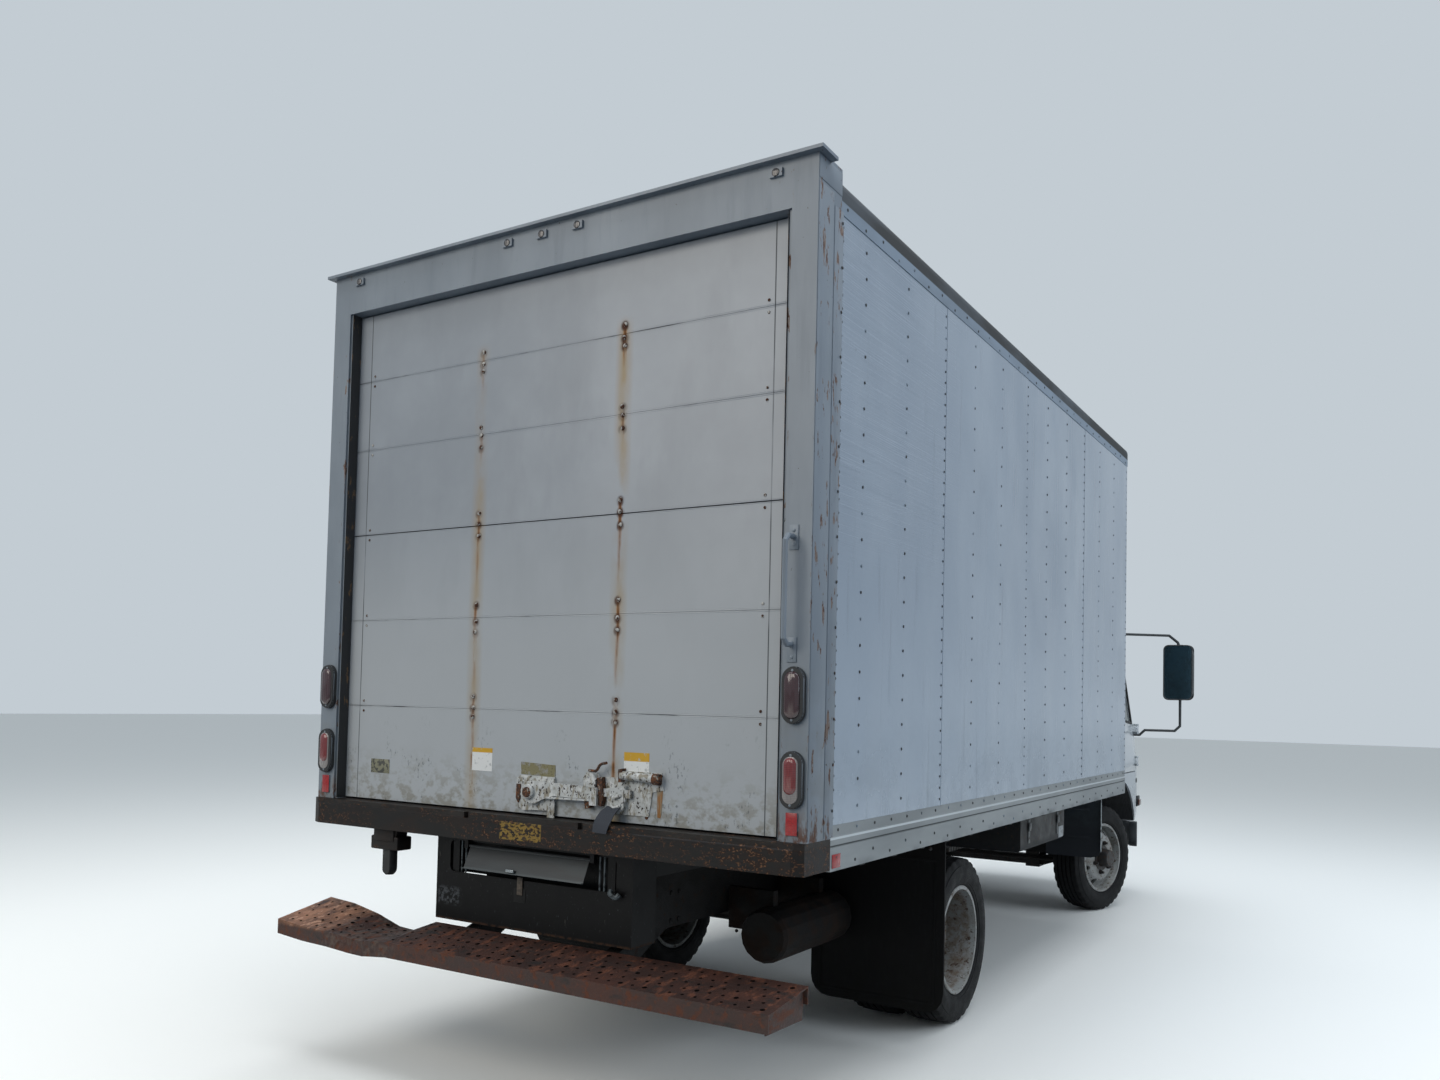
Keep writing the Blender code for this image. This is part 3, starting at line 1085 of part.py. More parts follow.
def make_front_bumper():
    """Front bumper wrapped round the nose, on two brackets from the frame's ends."""
    outer = nose_plan(BUMPER_FRONT_X, BUMPER_HALF, BUMPER_WRAP, CAB_CORNER_POWER, 7)
    inner = nose_plan(BUMPER_FRONT_X - BUMPER_THICK, BUMPER_HALF - BUMPER_THICK, BUMPER_WRAP - BUMPER_THICK,
                      CAB_CORNER_POWER, 7)
    bar = prism(outer + list(reversed(inner)), "Z", BUMPER_LOW_Z, BUMPER_HIGH_Z)
    brackets = []
    for side in (-1, 1):
        ends = sorted((side * (FRAME_HALF_WIDTH - BUMPER_BRACKET), side * FRAME_HALF_WIDTH))
        start = FRAME_FRONT_X + SEAT_GAP
        low, high = FRAME_TOP - FRAME_DEPTH, FRAME_TOP - FRAME_DEPTH + BUMPER_BRACKET
        side_view = [(start, low), (start, high), (start + BUMPER_BRACKET, high),
                     (BUMPER_FRONT_X - BUMPER_THICK / 2, BUMPER_HIGH_Z - BUMPER_THICK / 2),
                     (BUMPER_FRONT_X - BUMPER_THICK / 2, BUMPER_LOW_Z + BUMPER_THICK)]
        brackets.append(prism(side_view, "Y", *ends))
    part("front_bumper", fuse(bar, *brackets), WHITE)


# Wheels: profiles are (radius, distance out from the truck's middle)
RIM_INNER_RADIUS = BEAD_RADIUS - RIM_THICK
FLANGE_THICK = 0.008
DISC_THICK = 0.012
DUAL_FACE_Y = (REAR_OUTER_Y + REAR_INNER_Y) / 2
DUAL_DISC_OUT = 0.078    # how far a rear disc's edge lies from the face where the discs meet
DUAL_FACE_RADIUS = 0.170
REAR_HUB_RADIUS = 0.062
REAR_HUB_OUT = 0.125
REAR_HUB_IN_Y = 0.602
DRUM_RADIUS = 0.185
DRUM_OPEN_Y = 0.640
HUB_NECK = 0.105
FRONT_HUB_IN_Y = 0.775
FRONT_DRUM_RADIUS = 0.165
FRONT_DISC_EDGE_Y = 0.862
FRONT_DISC_FACE_Y = 0.908
FRONT_HUB_RADIUS = 0.062
FRONT_HUB_OUT = 0.085
HUB_TAPER = 0.014

KNUCKLE_HALF = 0.045
KNUCKLE_LUG = 0.028
SPINDLE_RADIUS = 0.060
ARM_LENGTH = 0.170
ARM_WIDE = 0.040
ARM_THICK = 0.026
TIE_ROD_RADIUS = 0.014
TIE_ROD_EYE = 0.024
TIE_ROD_EYE_TALL = 0.032


def rim_profile(centre, disc_in, disc_out):
    """Outside of a rim, flange to flange, starting and ending on its inner wall."""
    half, tip = RIM_HALF_WIDTH, RIM_HALF_WIDTH - FLANGE_THICK
    return [(RIM_INNER_RADIUS, disc_in), (RIM_INNER_RADIUS, centre - half),
            (RIM_FLANGE_RADIUS, centre - half), (BEAD_RADIUS, centre - tip), (BEAD_RADIUS, centre + tip),
            (RIM_FLANGE_RADIUS, centre + half), (RIM_INNER_RADIUS, centre + half),
            (RIM_INNER_RADIUS, disc_out)]


def wheel_turn(profile, side, centre_x):
    """A wheel solid turned about its axle, with a flat facet at the bottom."""
    mesh = turned([(radius, side * along) for radius, along in profile], "Y")
    half_step = Matrix.Rotation(math.pi / TURN_STEPS, 4, "Y")
    return moved(mesh, Matrix.Translation((centre_x, 0, HUB_HEIGHT)) @ half_step)


def tyre_profile(centre):
    """Closed section of a tyre, its beads on the rim's seats."""
    tip = RIM_HALF_WIDTH - FLANGE_THICK - SEAT_GAP
    bead, flange = BEAD_RADIUS + SEAT_GAP * 2, RIM_FLANGE_RADIUS + SEAT_GAP * 2
    bulge, bulge_radius = TYRE_WIDTH / 2, (RIM_FLANGE_RADIUS + TYRE_RADIUS) / 2
    half = [(bead, tip), (flange + RIM_THICK, tip), (bulge_radius, bulge),
            (TYRE_RADIUS - SHOULDER_DROP, TYRE_TREAD_HALF + SHOULDER_DROP / 2),
            (TYRE_RADIUS, TYRE_TREAD_HALF - SHOULDER_DROP)]
    return [(radius, centre + along) for radius, along in half] + [
        (radius, centre - along) for radius, along in reversed(half)]


def make_rear_wheels(side, name):
    """Twin wheels: two steel discs bolted face to face on one hub and drum, and two tyres."""
    point = empty("rear_%s_axle_point" % name, (REAR_AXLE_X, side * DUAL_FACE_Y, HUB_HEIGHT), datum)
    face, disc = DUAL_FACE_Y, DISC_THICK
    inner_edge, outer_edge = face - DUAL_DISC_OUT, face + DUAL_DISC_OUT
    profile = [(0, REAR_HUB_IN_Y), (HUB_NECK, REAR_HUB_IN_Y), (HUB_NECK, DRUM_OPEN_Y),
               (DRUM_RADIUS, DRUM_OPEN_Y), (DRUM_RADIUS, face - 2 * disc)]
    profile += rim_profile(REAR_INNER_Y, inner_edge - disc, inner_edge)
    profile += [(DUAL_FACE_RADIUS + disc, face - disc / 2), (DUAL_FACE_RADIUS + disc, face + disc / 2)]
    profile += rim_profile(REAR_OUTER_Y, outer_edge, outer_edge + disc)
    profile += [(DUAL_FACE_RADIUS, face + disc), (REAR_HUB_RADIUS + HUB_TAPER, face + disc),
                (REAR_HUB_RADIUS, face + REAR_HUB_OUT - HUB_TAPER),
                (REAR_HUB_RADIUS - HUB_TAPER, face + REAR_HUB_OUT), (0, face + REAR_HUB_OUT)]
    part("rear_wheels_" + name, wheel_turn(profile, side, REAR_AXLE_X), RIM, point)
    for place, title in ((REAR_OUTER_Y, "outer"), (REAR_INNER_Y, "inner")):
        tyre = wheel_turn(tyre_profile(place), side, REAR_AXLE_X)
        part("rear_%s_tyre_%s" % (title, name), tyre, TYRE, point)


def make_front_wheel(side, name):
    """Steered wheel: knuckle on the kingpin, steel wheel with hub and drum, and the tyre."""
    steer = empty("front_%s_kingpin" % name, (FRONT_AXLE_X, side * KINGPIN_Y, HUB_HEIGHT), datum, STEER_REST)
    spin = empty("front_%s_spindle" % name, (FRONT_AXLE_X, side * FRONT_TRACK_HALF, HUB_HEIGHT), steer)
    plate_in, plate_out = sorted((side * (KINGPIN_Y + KNUCKLE_HALF), side * (FRONT_HUB_IN_Y - SEAT_GAP)))
    lug_low, lug_high = BOSS_LOW_Z - SEAT_GAP, BOSS_HIGH_Z + SEAT_GAP
    plate = box((FRONT_AXLE_X - KNUCKLE_HALF, plate_in, lug_low - KNUCKLE_LUG),
                (FRONT_AXLE_X + KNUCKLE_HALF, plate_out, lug_high + KNUCKLE_LUG))
    pieces = []
    for low, high in ((lug_low - KNUCKLE_LUG, lug_low), (lug_high, lug_high + KNUCKLE_LUG)):
        ends = sorted((side * KINGPIN_Y, side * (KINGPIN_Y + KNUCKLE_HALF + DISC_THICK)))
        middle = (FRONT_AXLE_X, side * KINGPIN_Y, (low + high) / 2)
        pieces.append(cylinder(middle, (0, 0, 1), BOSS_RADIUS, high - low, 16))
        pieces.append(box((FRONT_AXLE_X - BOSS_RADIUS, ends[0], low),
                          (FRONT_AXLE_X + BOSS_RADIUS, ends[1], high)))
    arm_y = side * KINGPIN_Y
    pieces.append(box((FRONT_AXLE_X - ARM_LENGTH - ARM_WIDE / 2, arm_y - ARM_WIDE / 2, lug_low - KNUCKLE_LUG),
                      (FRONT_AXLE_X, arm_y + ARM_WIDE / 2, lug_low - KNUCKLE_LUG + ARM_THICK)))
    part("knuckle_" + name, fuse(plate, *pieces), CASTING, steer)
    face, disc = FRONT_DISC_FACE_Y, DISC_THICK
    profile = [(0, FRONT_HUB_IN_Y), (SPINDLE_RADIUS + HUB_TAPER, FRONT_HUB_IN_Y),
               (SPINDLE_RADIUS + HUB_TAPER, FRONT_HUB_IN_Y + 2 * disc),
               (FRONT_DRUM_RADIUS, FRONT_HUB_IN_Y + 2 * disc),
               (FRONT_DRUM_RADIUS, face - disc)]
    profile += rim_profile(FRONT_TRACK_HALF, FRONT_DISC_EDGE_Y - disc, FRONT_DISC_EDGE_Y)
    profile += [(FRONT_DRUM_RADIUS + disc, face), (FRONT_HUB_RADIUS + HUB_TAPER, face + disc / 2),
                (FRONT_HUB_RADIUS, face + FRONT_HUB_OUT - HUB_TAPER),
                (FRONT_HUB_RADIUS - HUB_TAPER, face + FRONT_HUB_OUT), (0, face + FRONT_HUB_OUT)]
    part("front_wheel_" + name, wheel_turn(profile, side, FRONT_AXLE_X), RIM, spin)
    part("front_tyre_" + name, wheel_turn(tyre_profile(FRONT_TRACK_HALF), side, FRONT_AXLE_X), TYRE, spin)


def make_tie_rod():
    """Tie rod between the knuckle arms; its eyes lie on the arms."""
    turn = Matrix.Rotation(STEER_REST, 3, "Z")
    reach = turn @ Vector((-ARM_LENGTH, 0, 0))
    floor = BOSS_LOW_Z - SEAT_GAP - KNUCKLE_LUG + ARM_THICK + SEAT_GAP
    middle = floor + TIE_ROD_EYE_TALL / 2
    ends = [Vector((FRONT_AXLE_X, side * KINGPIN_Y, middle)) + reach for side in (-1, 1)]
    rod = tube(ends, TIE_ROD_RADIUS)
    eyes = [cylinder(end, (0, 0, 1), TIE_ROD_EYE, TIE_ROD_EYE_TALL, 12) for end in ends]
    point = empty("tie_rod_pin", ends[1], datum)
    part("tie_rod", fuse(rod, *eyes), CASTING, point)


# Cab fittings
SEAT_CLEAR = 0.110       # cab's rear face to the seat's back
SEAT_REAR_X = CAB_REAR_X + SEAT_CLEAR
SEAT_BACK_THICK = 0.130
SEAT_SIDE = 0.250        # the cab's side to the seat's end
SEAT_HALF = CAB_HALF_WIDTH - SEAT_SIDE
SEAT_TAPER_SHARE = 1.6   # the back's foot is thicker than its top by this
SEAT_SAG_SHARE = 0.9     # the cushion's rear is lower than its front by this
SEAT_CUSHION = 0.210
SEAT_HEAD = 0.170        # the door's top to the seat back's
SEAT_TOP_Z = DOOR_HIGH_Z - SEAT_HEAD
DASH_DEPTH = 0.460
DASH_REAR_X = CAB_FRONT_X - DASH_DEPTH
DASH_LOW_Z = 1.220
DASH_HIGH_Z = 1.440
DASH_SIDE = 0.130
DASH_HALF = CAB_HALF_WIDTH - DASH_SIDE
WHEEL_Y = 0.420
WHEEL_SETBACK = 0.740    # steering wheel's middle to the cab's front
WHEEL_X = CAB_FRONT_X - WHEEL_SETBACK
SEAT_REACH = 0.260       # the seat's front to the steering wheel's middle
SEAT_FRONT_X = WHEEL_X - SEAT_REACH
SPOKE_SHARE = 0.7
WHEEL_Z = 1.500
WHEEL_RADIUS = 0.215
WHEEL_GRIP = 0.014
COLUMN_LEAN = math.radians(20)
COLUMN_RADIUS = 0.024
MIRROR_SETBACK = 0.360
MIRROR_X = CAB_FRONT_X - MIRROR_SETBACK
MIRROR_THICK = 0.075
MIRROR_REACH = 0.400     # the cab's side to the head's outer edge
MIRROR_WIDTH = 0.225
MIRROR_OUT = CAB_HALF_WIDTH + MIRROR_REACH
MIRROR_IN = MIRROR_OUT - MIRROR_WIDTH
MIRROR_LOW_Z = 1.620
MIRROR_HIGH_Z = 2.070
MIRROR_CORNER = 0.040
MIRROR_ARM = 0.011
MIRROR_ARM_IN = 0.100    # the arm to the head's outer edge
MIRROR_ARM_Y = MIRROR_OUT - MIRROR_ARM_IN
MIRROR_ARM_LOW_Z = 1.370
MIRROR_ARM_DROP = 0.155  # the upper arm below the roof's top
MIRROR_ARM_HIGH_Z = CAB_ROOF_HEIGHT - MIRROR_ARM_DROP
MIRROR_FOOT_BACK = 0.060     # the lower arm's foot behind the head
MIRROR_ROOT_BACK = 0.390     # the upper arm aims at a point inside the roof's corner
MIRROR_ROOT_IN = 0.210
MIRROR_FOOT_X = MIRROR_X - MIRROR_FOOT_BACK
MIRROR_INSIDE_SHARE = 0.8    # the lower arm's foot runs in to this share of the cab's half width
HINGE_OUT = 0.010
HINGE_RADIUS = 0.009
HINGE_HALF = 0.022
HINGE_LEAF = 0.040
HINGE_DEEP = 0.050       # the leaf's foot reaches this far in from the axis
HINGES_Z = (1.120, 1.380)
DOOR_REAR_GAP = 0.010
DOOR_RAKE = 0.220        # the door's upper front corner stands back by this
DOOR_SHOULDER_X = DOOR_FRONT_X - DOOR_RAKE
GRILLE_LOW_Z = 0.930
GRILLE_HIGH_Z = 1.130
GRILLE_SLATS = 4
GRILLE_BAR = 0.018
HEADLAMP_SIDE = 0.190    # the cab's side to the lamp's outer edge
HEADLAMP_WIDE = 0.280
GRILLE_CLEAR = 0.130     # the grille's end to the headlamp
GRILLE_HALF = CAB_HALF_WIDTH - HEADLAMP_SIDE - HEADLAMP_WIDE - GRILLE_CLEAR
HEADLAMP_LOW_Z = 0.840
HEADLAMP_TALL = 0.160
HEADLAMP_CORNER = 0.030


def cab_loft(inset):
    """The cab's outer form drawn in by an inset, as a loft of plan sections."""
    top = CAB_ROOF_HEIGHT - inset
    sections = []
    for height, front_back, side_back in CAB_SECTION_SHARES:
        level = CAB_LOW_Z + height * (top - CAB_LOW_Z)
        half = CAB_HALF_WIDTH * (1 - side_back) - inset
        front = CAB_FRONT_X - CAB_LENGTH * front_back - inset
        plan = nose_plan(front, half, CAB_CORNER_DEPTH - inset, CAB_CORNER_POWER, CAB_CORNER_STEPS)
        plan = [(CAB_REAR_X + inset, half)] + plan + [(CAB_REAR_X + inset, -half)]
        sections.append([(x, y, level) for x, y in plan])
    return strip(sections)


def cab_profile(rise):
    """Side view of the cab's lower edge, raised by a wall: floor, wheel arch, step and skirt."""
    radius = ARCH_RADIUS + rise
    floor, step, skirt = CAB_FLOOR_Z + rise, CAB_STEP_Z + rise, CAB_SKIRT_Z + rise
    high = CAB_ROOF_HEIGHT + OVERRUN
    centre = (FRONT_AXLE_X, HUB_HEIGHT)
    first = math.degrees(math.asin(min(1, (floor - HUB_HEIGHT) / radius)))
    last = math.degrees(math.asin((step - HUB_HEIGHT) / radius))
    loop = [(CAB_REAR_X - OVERRUN, high), (CAB_REAR_X - OVERRUN, floor)]
    loop += arc(centre, radius, first, last, 8)
    loop += [(STEP_FRONT_X - rise, step), (STEP_FRONT_X + OVERRUN, skirt),
             (CAB_FRONT_X + OVERRUN, skirt), (CAB_FRONT_X + OVERRUN, high)]
    return prism(loop, "Y", -CAB_HALF_WIDTH - OVERRUN, CAB_HALF_WIDTH + OVERRUN)


def cab_solid(inset):
    """The cab as a solid, drawn in by an inset, without the space over the frame and engine."""
    solid = common(cab_loft(inset), cab_profile(inset))
    rear, low = CAB_REAR_X - OVERRUN, CAB_LOW_Z - OVERRUN
    over_frame = box((rear, -ARCH_GAP_HALF - inset, low),
                     (TUNNEL_FRONT_X + inset, ARCH_GAP_HALF + inset, CAB_FLOOR_Z + inset))
    half = DOGHOUSE_HALF + inset
    over_engine = box((rear, -half, low), (DOGHOUSE_FRONT_X + inset, half, TUNNEL_Z + inset))
    return cut(solid, over_frame, over_engine)


def door_outline(front_gap, rear_gap):
    """A cab door's outline in (X, Z), drawn in by the gaps round it."""
    slope = (DOOR_SHOULDER_X - DOOR_FRONT_X) / (DOOR_HIGH_Z - BELT_FRONT_Z)
    front = DOOR_FRONT_X - front_gap
    top = DOOR_HIGH_Z - front_gap
    return [(DOOR_REAR_X + rear_gap, DOOR_LOW_Z + front_gap), (front, DOOR_LOW_Z + front_gap),
            (front, BELT_FRONT_Z), (front + slope * (top - BELT_FRONT_Z), top),
            (DOOR_REAR_X + rear_gap, top)]


def window_outline(gap):
    """A side window's outline in (X, Z) with its belt falling towards the front."""
    slope = (DOOR_SHOULDER_X - DOOR_FRONT_X) / (DOOR_HIGH_Z - BELT_FRONT_Z)
    edge = WINDOW_FRAME + gap
    front, top = DOOR_FRONT_X - edge, WINDOW_TOP_Z - gap
    return [(DOOR_REAR_X + DOOR_REAR_GAP + edge, BELT_REAR_Z + gap), (front, BELT_FRONT_Z + gap),
            (front + slope * (top - BELT_FRONT_Z), top), (DOOR_REAR_X + DOOR_REAR_GAP + edge, top)]


def screen_outline(gap):
    """The windscreen's outline in (Y, Z)."""
    return [(-SCREEN_HALF + gap, SCREEN_LOW_Z + gap), (SCREEN_HALF - gap, SCREEN_LOW_Z + gap),
            (SCREEN_TOP_HALF - gap, SCREEN_HIGH_Z - gap), (-SCREEN_TOP_HALF + gap, SCREEN_HIGH_Z - gap)]


def back_glass_outline(gap):
    return rectangle(gap - BACK_GLASS_HALF, BACK_GLASS_HALF - gap,
                     BACK_GLASS_LOW_Z + gap, BACK_GLASS_HIGH_Z - gap)


def grille_outline(gap):
    return rectangle(gap - GRILLE_HALF, GRILLE_HALF - gap, GRILLE_LOW_Z + gap, GRILLE_HIGH_Z - gap)


def lamp_outline(side, gap):
    high_y = CAB_HALF_WIDTH - HEADLAMP_SIDE
    ends = sorted((side * (high_y - HEADLAMP_WIDE + gap), side * (high_y - gap)))
    return rectangle(*ends, HEADLAMP_LOW_Z + gap, HEADLAMP_LOW_Z + HEADLAMP_TALL - gap)


def sheet_between(outer, inner, loop, axis, start, end):
    """The part of a curved sheet, between two insets of the cab's form, inside an outline."""
    return common(cut(cab_loft(outer), cab_loft(inner)), prism(loop, axis, start, end))


def make_cab():
    """Cab shell in four pressings: floor, back, roof and front, with its glass."""
    shell = cut(cab_solid(0), cab_solid(CAB_WALL))
    out = CAB_HALF_WIDTH + 2 * OVERRUN
    nose = CAB_FRONT_X + OVERRUN
    nose_rear = CAB_FRONT_X - CAB_CORNER_DEPTH
    openings = [prism(door_outline(0, 0), "Y", -out, out),
                prism(screen_outline(0), "X", DOOR_SHOULDER_X + 2 * OVERRUN, nose),
                prism(back_glass_outline(0), "X", CAB_REAR_X - OVERRUN, CAB_REAR_X + CAB_WALL + OVERRUN),
                prism(grille_outline(0), "X", nose_rear + OVERRUN, nose)]
    openings += [prism(lamp_outline(side, 0), "X", nose_rear + OVERRUN, nose) for side in (-1, 1)]
    shell = cut(shell, *openings)
    rear, low, high = CAB_REAR_X - OVERRUN, CAB_LOW_Z - OVERRUN, CAB_ROOF_HEIGHT + OVERRUN
    in_x = CAB_REAR_X + CAB_WALL
    hump = DOGHOUSE_HALF + 2 * CAB_WALL
    hump_z = TUNNEL_Z + 2 * CAB_WALL
    seam = DOOR_FRONT_X - SEAT_GAP
    floor_zone = fuse(box((rear, -out, low), (seam, out, DOOR_LOW_Z - SEAT_GAP)),
                      box((in_x + SEAT_GAP, -hump, low), (seam, hump, hump_z)))
    back_zone = cut(box((rear, -out, DOOR_LOW_Z), (DOOR_REAR_X + OVERRUN, out, DOOR_HIGH_Z - SEAT_GAP)),
                    box((in_x, -hump - SEAT_GAP, low), (nose, hump + SEAT_GAP, hump_z + SEAT_GAP)))
    slope = (DOOR_SHOULDER_X - DOOR_FRONT_X) / (DOOR_HIGH_Z - BELT_FRONT_Z)
    top = DOOR_HIGH_Z - SEAT_GAP
    front_loop = [(DOOR_FRONT_X, low), (DOOR_FRONT_X, BELT_FRONT_Z),
                  (DOOR_FRONT_X + slope * (top - BELT_FRONT_Z), top), (nose + OVERRUN, top),
                  (nose + OVERRUN, low)]
    front_zone = prism(front_loop, "Y", -out, out)
    roof_zone = box((rear, -out, DOOR_HIGH_Z), (nose, out, high))
    part("cab_floor", common(shell, floor_zone), CAB_WHITE, tilt)
    part("cab_back", common(shell, back_zone), CAB_WHITE, tilt)
    part("cab_roof", common(shell, roof_zone), CAB_WHITE, tilt)
    front = common(shell, front_zone)
    lugs = []
    for side in (-1, 1):
        for height in HINGES_Z:
            for offset in (-1, 1):
                middle = height + offset * (HINGE_HALF + SEAT_GAP + HINGE_RADIUS)
                lugs += hinge_piece(side, middle, HINGE_RADIUS, 1)
        ends = sorted((side * (TILT_Y - TILT_EAR), side * TILT_Y))
        reach = TUNNEL_FRONT_X + CAB_WALL / 2
        lug = arc((TILT_X, TILT_Z), TILT_PIN_RADIUS, 90, 270, 6)
        lug += [(reach, TILT_Z - TILT_PIN_RADIUS), (reach, TILT_Z + TILT_PIN_RADIUS)]
        lugs.append(prism(lug, "Y", *ends))
    part("cab_front", fuse(front, *lugs), CAB_WHITE, tilt)
    deep, deeper = GLASS_DEPTH, GLASS_DEPTH + GLASS_THICK
    screen = sheet_between(deep, deeper, screen_outline(SEAT_GAP), "X", DOOR_SHOULDER_X, nose)
    part("windscreen", screen, GLASS, tilt)
    pane = sheet_between(deep, deeper, back_glass_outline(SEAT_GAP), "X", rear, in_x)
    part("back_glass", pane, GLASS, tilt)
    grille = sheet_between(deep, CAB_WALL / 2, grille_outline(SEAT_GAP), "X", nose_rear, nose)
    pitch = (GRILLE_HIGH_Z - GRILLE_LOW_Z - GRILLE_BAR) / GRILLE_SLATS
    slots = [box((nose_rear, GRILLE_BAR - GRILLE_HALF, GRILLE_LOW_Z + GRILLE_BAR + index * pitch),
                 (nose, GRILLE_HALF - GRILLE_BAR, GRILLE_LOW_Z + (index + 1) * pitch))
             for index in range(GRILLE_SLATS)]
    part("grille", cut(grille, *slots), PLASTIC, tilt)
    for side, name in ((-1, "right"), (1, "left")):
        lamp = sheet_between(0, CAB_WALL / 2, lamp_outline(side, SEAT_GAP), "X", nose_rear, nose)
        part("headlamp_" + name, lamp, GLASS, tilt)


def hinge_piece(side, middle, half, way):
    """A knuckle on a door's hinge axis with the leaf that ties it to a panel, ahead or behind."""
    out = CAB_HALF_WIDTH + HINGE_OUT
    knuckle = cylinder((DOOR_FRONT_X, side * out, middle), (0, 0, 1), HINGE_RADIUS, 2 * half, 10)
    thin, start, reach = HINGE_RADIUS / 2, DOOR_FRONT_X + way * RUN_GAP, DOOR_FRONT_X + way * HINGE_LEAF
    plan = [(DOOR_FRONT_X, out + thin), (reach, out + thin), (reach, out - HINGE_DEEP),
            (start, out - HINGE_DEEP), (start, out - thin), (DOOR_FRONT_X, out - thin)]
    leaf = prism([(x, side * y) for x, y in plan], "Z", middle - half, middle + half)
    return [knuckle, leaf]


def make_door(side, name):
    """A cab door: pressed frame with its window, hung on two outside hinges at its front edge."""
    axis = (DOOR_FRONT_X, side * (CAB_HALF_WIDTH + HINGE_OUT), DOOR_LOW_Z)
    point = empty("door_%s_hinge" % name, axis, tilt)
    ends = sorted((side * SCREEN_TOP_HALF / 2, side * (CAB_HALF_WIDTH + OVERRUN)))
    door = sheet_between(0, DOOR_SKIN, door_outline(RUN_GAP, DOOR_REAR_GAP), "Y", *ends)
    door = cut(door, prism(window_outline(0), "Y", *ends))
    pieces = []
    for height in HINGES_Z:
        pieces += hinge_piece(side, height, HINGE_HALF, -1)
    part("door_" + name, fuse(door, *pieces), CAB_WHITE, point)
    glass = sheet_between(GLASS_DEPTH, GLASS_DEPTH + GLASS_THICK, window_outline(SEAT_GAP), "Y", *ends)
    part("door_glass_" + name, glass, GLASS, point)


def make_cab_fittings():
    """Bench seat on the engine cover, dashboard, and the steering wheel on its column."""
    low = TUNNEL_Z + CAB_WALL + SEAT_GAP
    side = [(SEAT_REAR_X, low), (SEAT_FRONT_X, low), (SEAT_FRONT_X, low + SEAT_CUSHION),
            (SEAT_REAR_X + SEAT_TAPER_SHARE * SEAT_BACK_THICK, low + SEAT_CUSHION * SEAT_SAG_SHARE),
            (SEAT_REAR_X + SEAT_BACK_THICK, SEAT_TOP_Z), (SEAT_REAR_X, SEAT_TOP_Z)]
    part("bench_seat", prism(side, "Y", -SEAT_HALF, SEAT_HALF), TRIM, tilt)
    dash = common(cab_loft(CAB_WALL + SEAT_GAP),
                  box((DASH_REAR_X, -DASH_HALF, DASH_LOW_Z), (CAB_FRONT_X, DASH_HALF, DASH_HIGH_Z)))
    part("dashboard", dash, TRIM, tilt)
    centre = Vector((WHEEL_X, WHEEL_Y, WHEEL_Z))
    down = Vector((math.sin(COLUMN_LEAN), 0, -math.cos(COLUMN_LEAN)))
    across = Vector((math.cos(COLUMN_LEAN), 0, math.sin(COLUMN_LEAN)))
    turns = [math.radians(20 * step) for step in range(18)]
    ring = [centre + WHEEL_RADIUS * (math.cos(a) * across + math.sin(a) * Vector((0, 1, 0))) for a in turns]
    rim = tube(ring, WHEEL_GRIP, 6, True)
    floor_z = CAB_FLOOR_Z + CAB_WALL + SEAT_GAP + COLUMN_RADIUS * math.sin(COLUMN_LEAN)
    foot = centre + down * ((WHEEL_Z - floor_z) / math.cos(COLUMN_LEAN))
    column = tube([centre - down * COLUMN_RADIUS, foot], COLUMN_RADIUS, 10)
    spokes = []
    for a in (math.radians(90), math.radians(-90), math.radians(180)):
        end = centre + WHEEL_RADIUS * (math.cos(a) * across + math.sin(a) * Vector((0, 1, 0)))
        spokes.append(tube([centre, end], WHEEL_GRIP * SPOKE_SHARE, 6))
    part("steering_wheel", fuse(column, rim, *spokes), PLASTIC, tilt)


def make_mirror(side, name):
    """Mirror head on two bent arms whose feet lie on the cab."""
    corner = MIRROR_CORNER
    loop = []
    for centre_y, centre_z, start in (
            (MIRROR_OUT - 2 * corner, MIRROR_HIGH_Z - 2 * corner, 0),
            (MIRROR_IN + corner, MIRROR_HIGH_Z - corner, 90),
            (MIRROR_IN + corner, MIRROR_LOW_Z + corner, 180),
            (MIRROR_OUT - 2 * corner, MIRROR_LOW_Z + 2 * corner, 270)):
        size = corner if start in (90, 180) else 2 * corner
        loop += arc((side * centre_y, centre_z), side * size, side * start, side * (start + 90), 4)
    head = prism(loop, "X", MIRROR_X - MIRROR_THICK / 2, MIRROR_X + MIRROR_THICK / 2)
    low_bend, high_bend = MIRROR_ARM_LOW_Z, MIRROR_ARM_HIGH_Z
    bend = MIRROR_CORNER
    inside = CAB_HALF_WIDTH * MIRROR_INSIDE_SHARE
    arm_y, foot_y = side * MIRROR_ARM_Y, side * CAB_HALF_WIDTH
    lower = [(MIRROR_X, arm_y, MIRROR_LOW_Z + bend), (MIRROR_X, arm_y, low_bend + bend),
             (MIRROR_X, arm_y - side * bend, low_bend), (MIRROR_FOOT_X, foot_y + side * bend, low_bend),
             (MIRROR_FOOT_X, foot_y, low_bend - bend), (MIRROR_FOOT_X, side * inside, low_bend - bend)]
    upper = [(MIRROR_X, arm_y, MIRROR_HIGH_Z - bend),
             (MIRROR_X, arm_y - side * bend / 2, MIRROR_HIGH_Z + bend / 2),
             (MIRROR_X - bend, arm_y - 2 * side * bend, high_bend),
             (MIRROR_X - MIRROR_ROOT_BACK, side * (CAB_HALF_WIDTH - MIRROR_ROOT_IN), high_bend)]
    mirror = fuse(head, tube(lower, MIRROR_ARM), tube(upper, MIRROR_ARM))
    part("mirror_" + name, cut(mirror, cab_loft(-SEAT_GAP)), PLASTIC, tilt)


# The truck, put together
tilt = empty("cab_tilt_pivot", (TILT_X, 0, TILT_Z), datum)

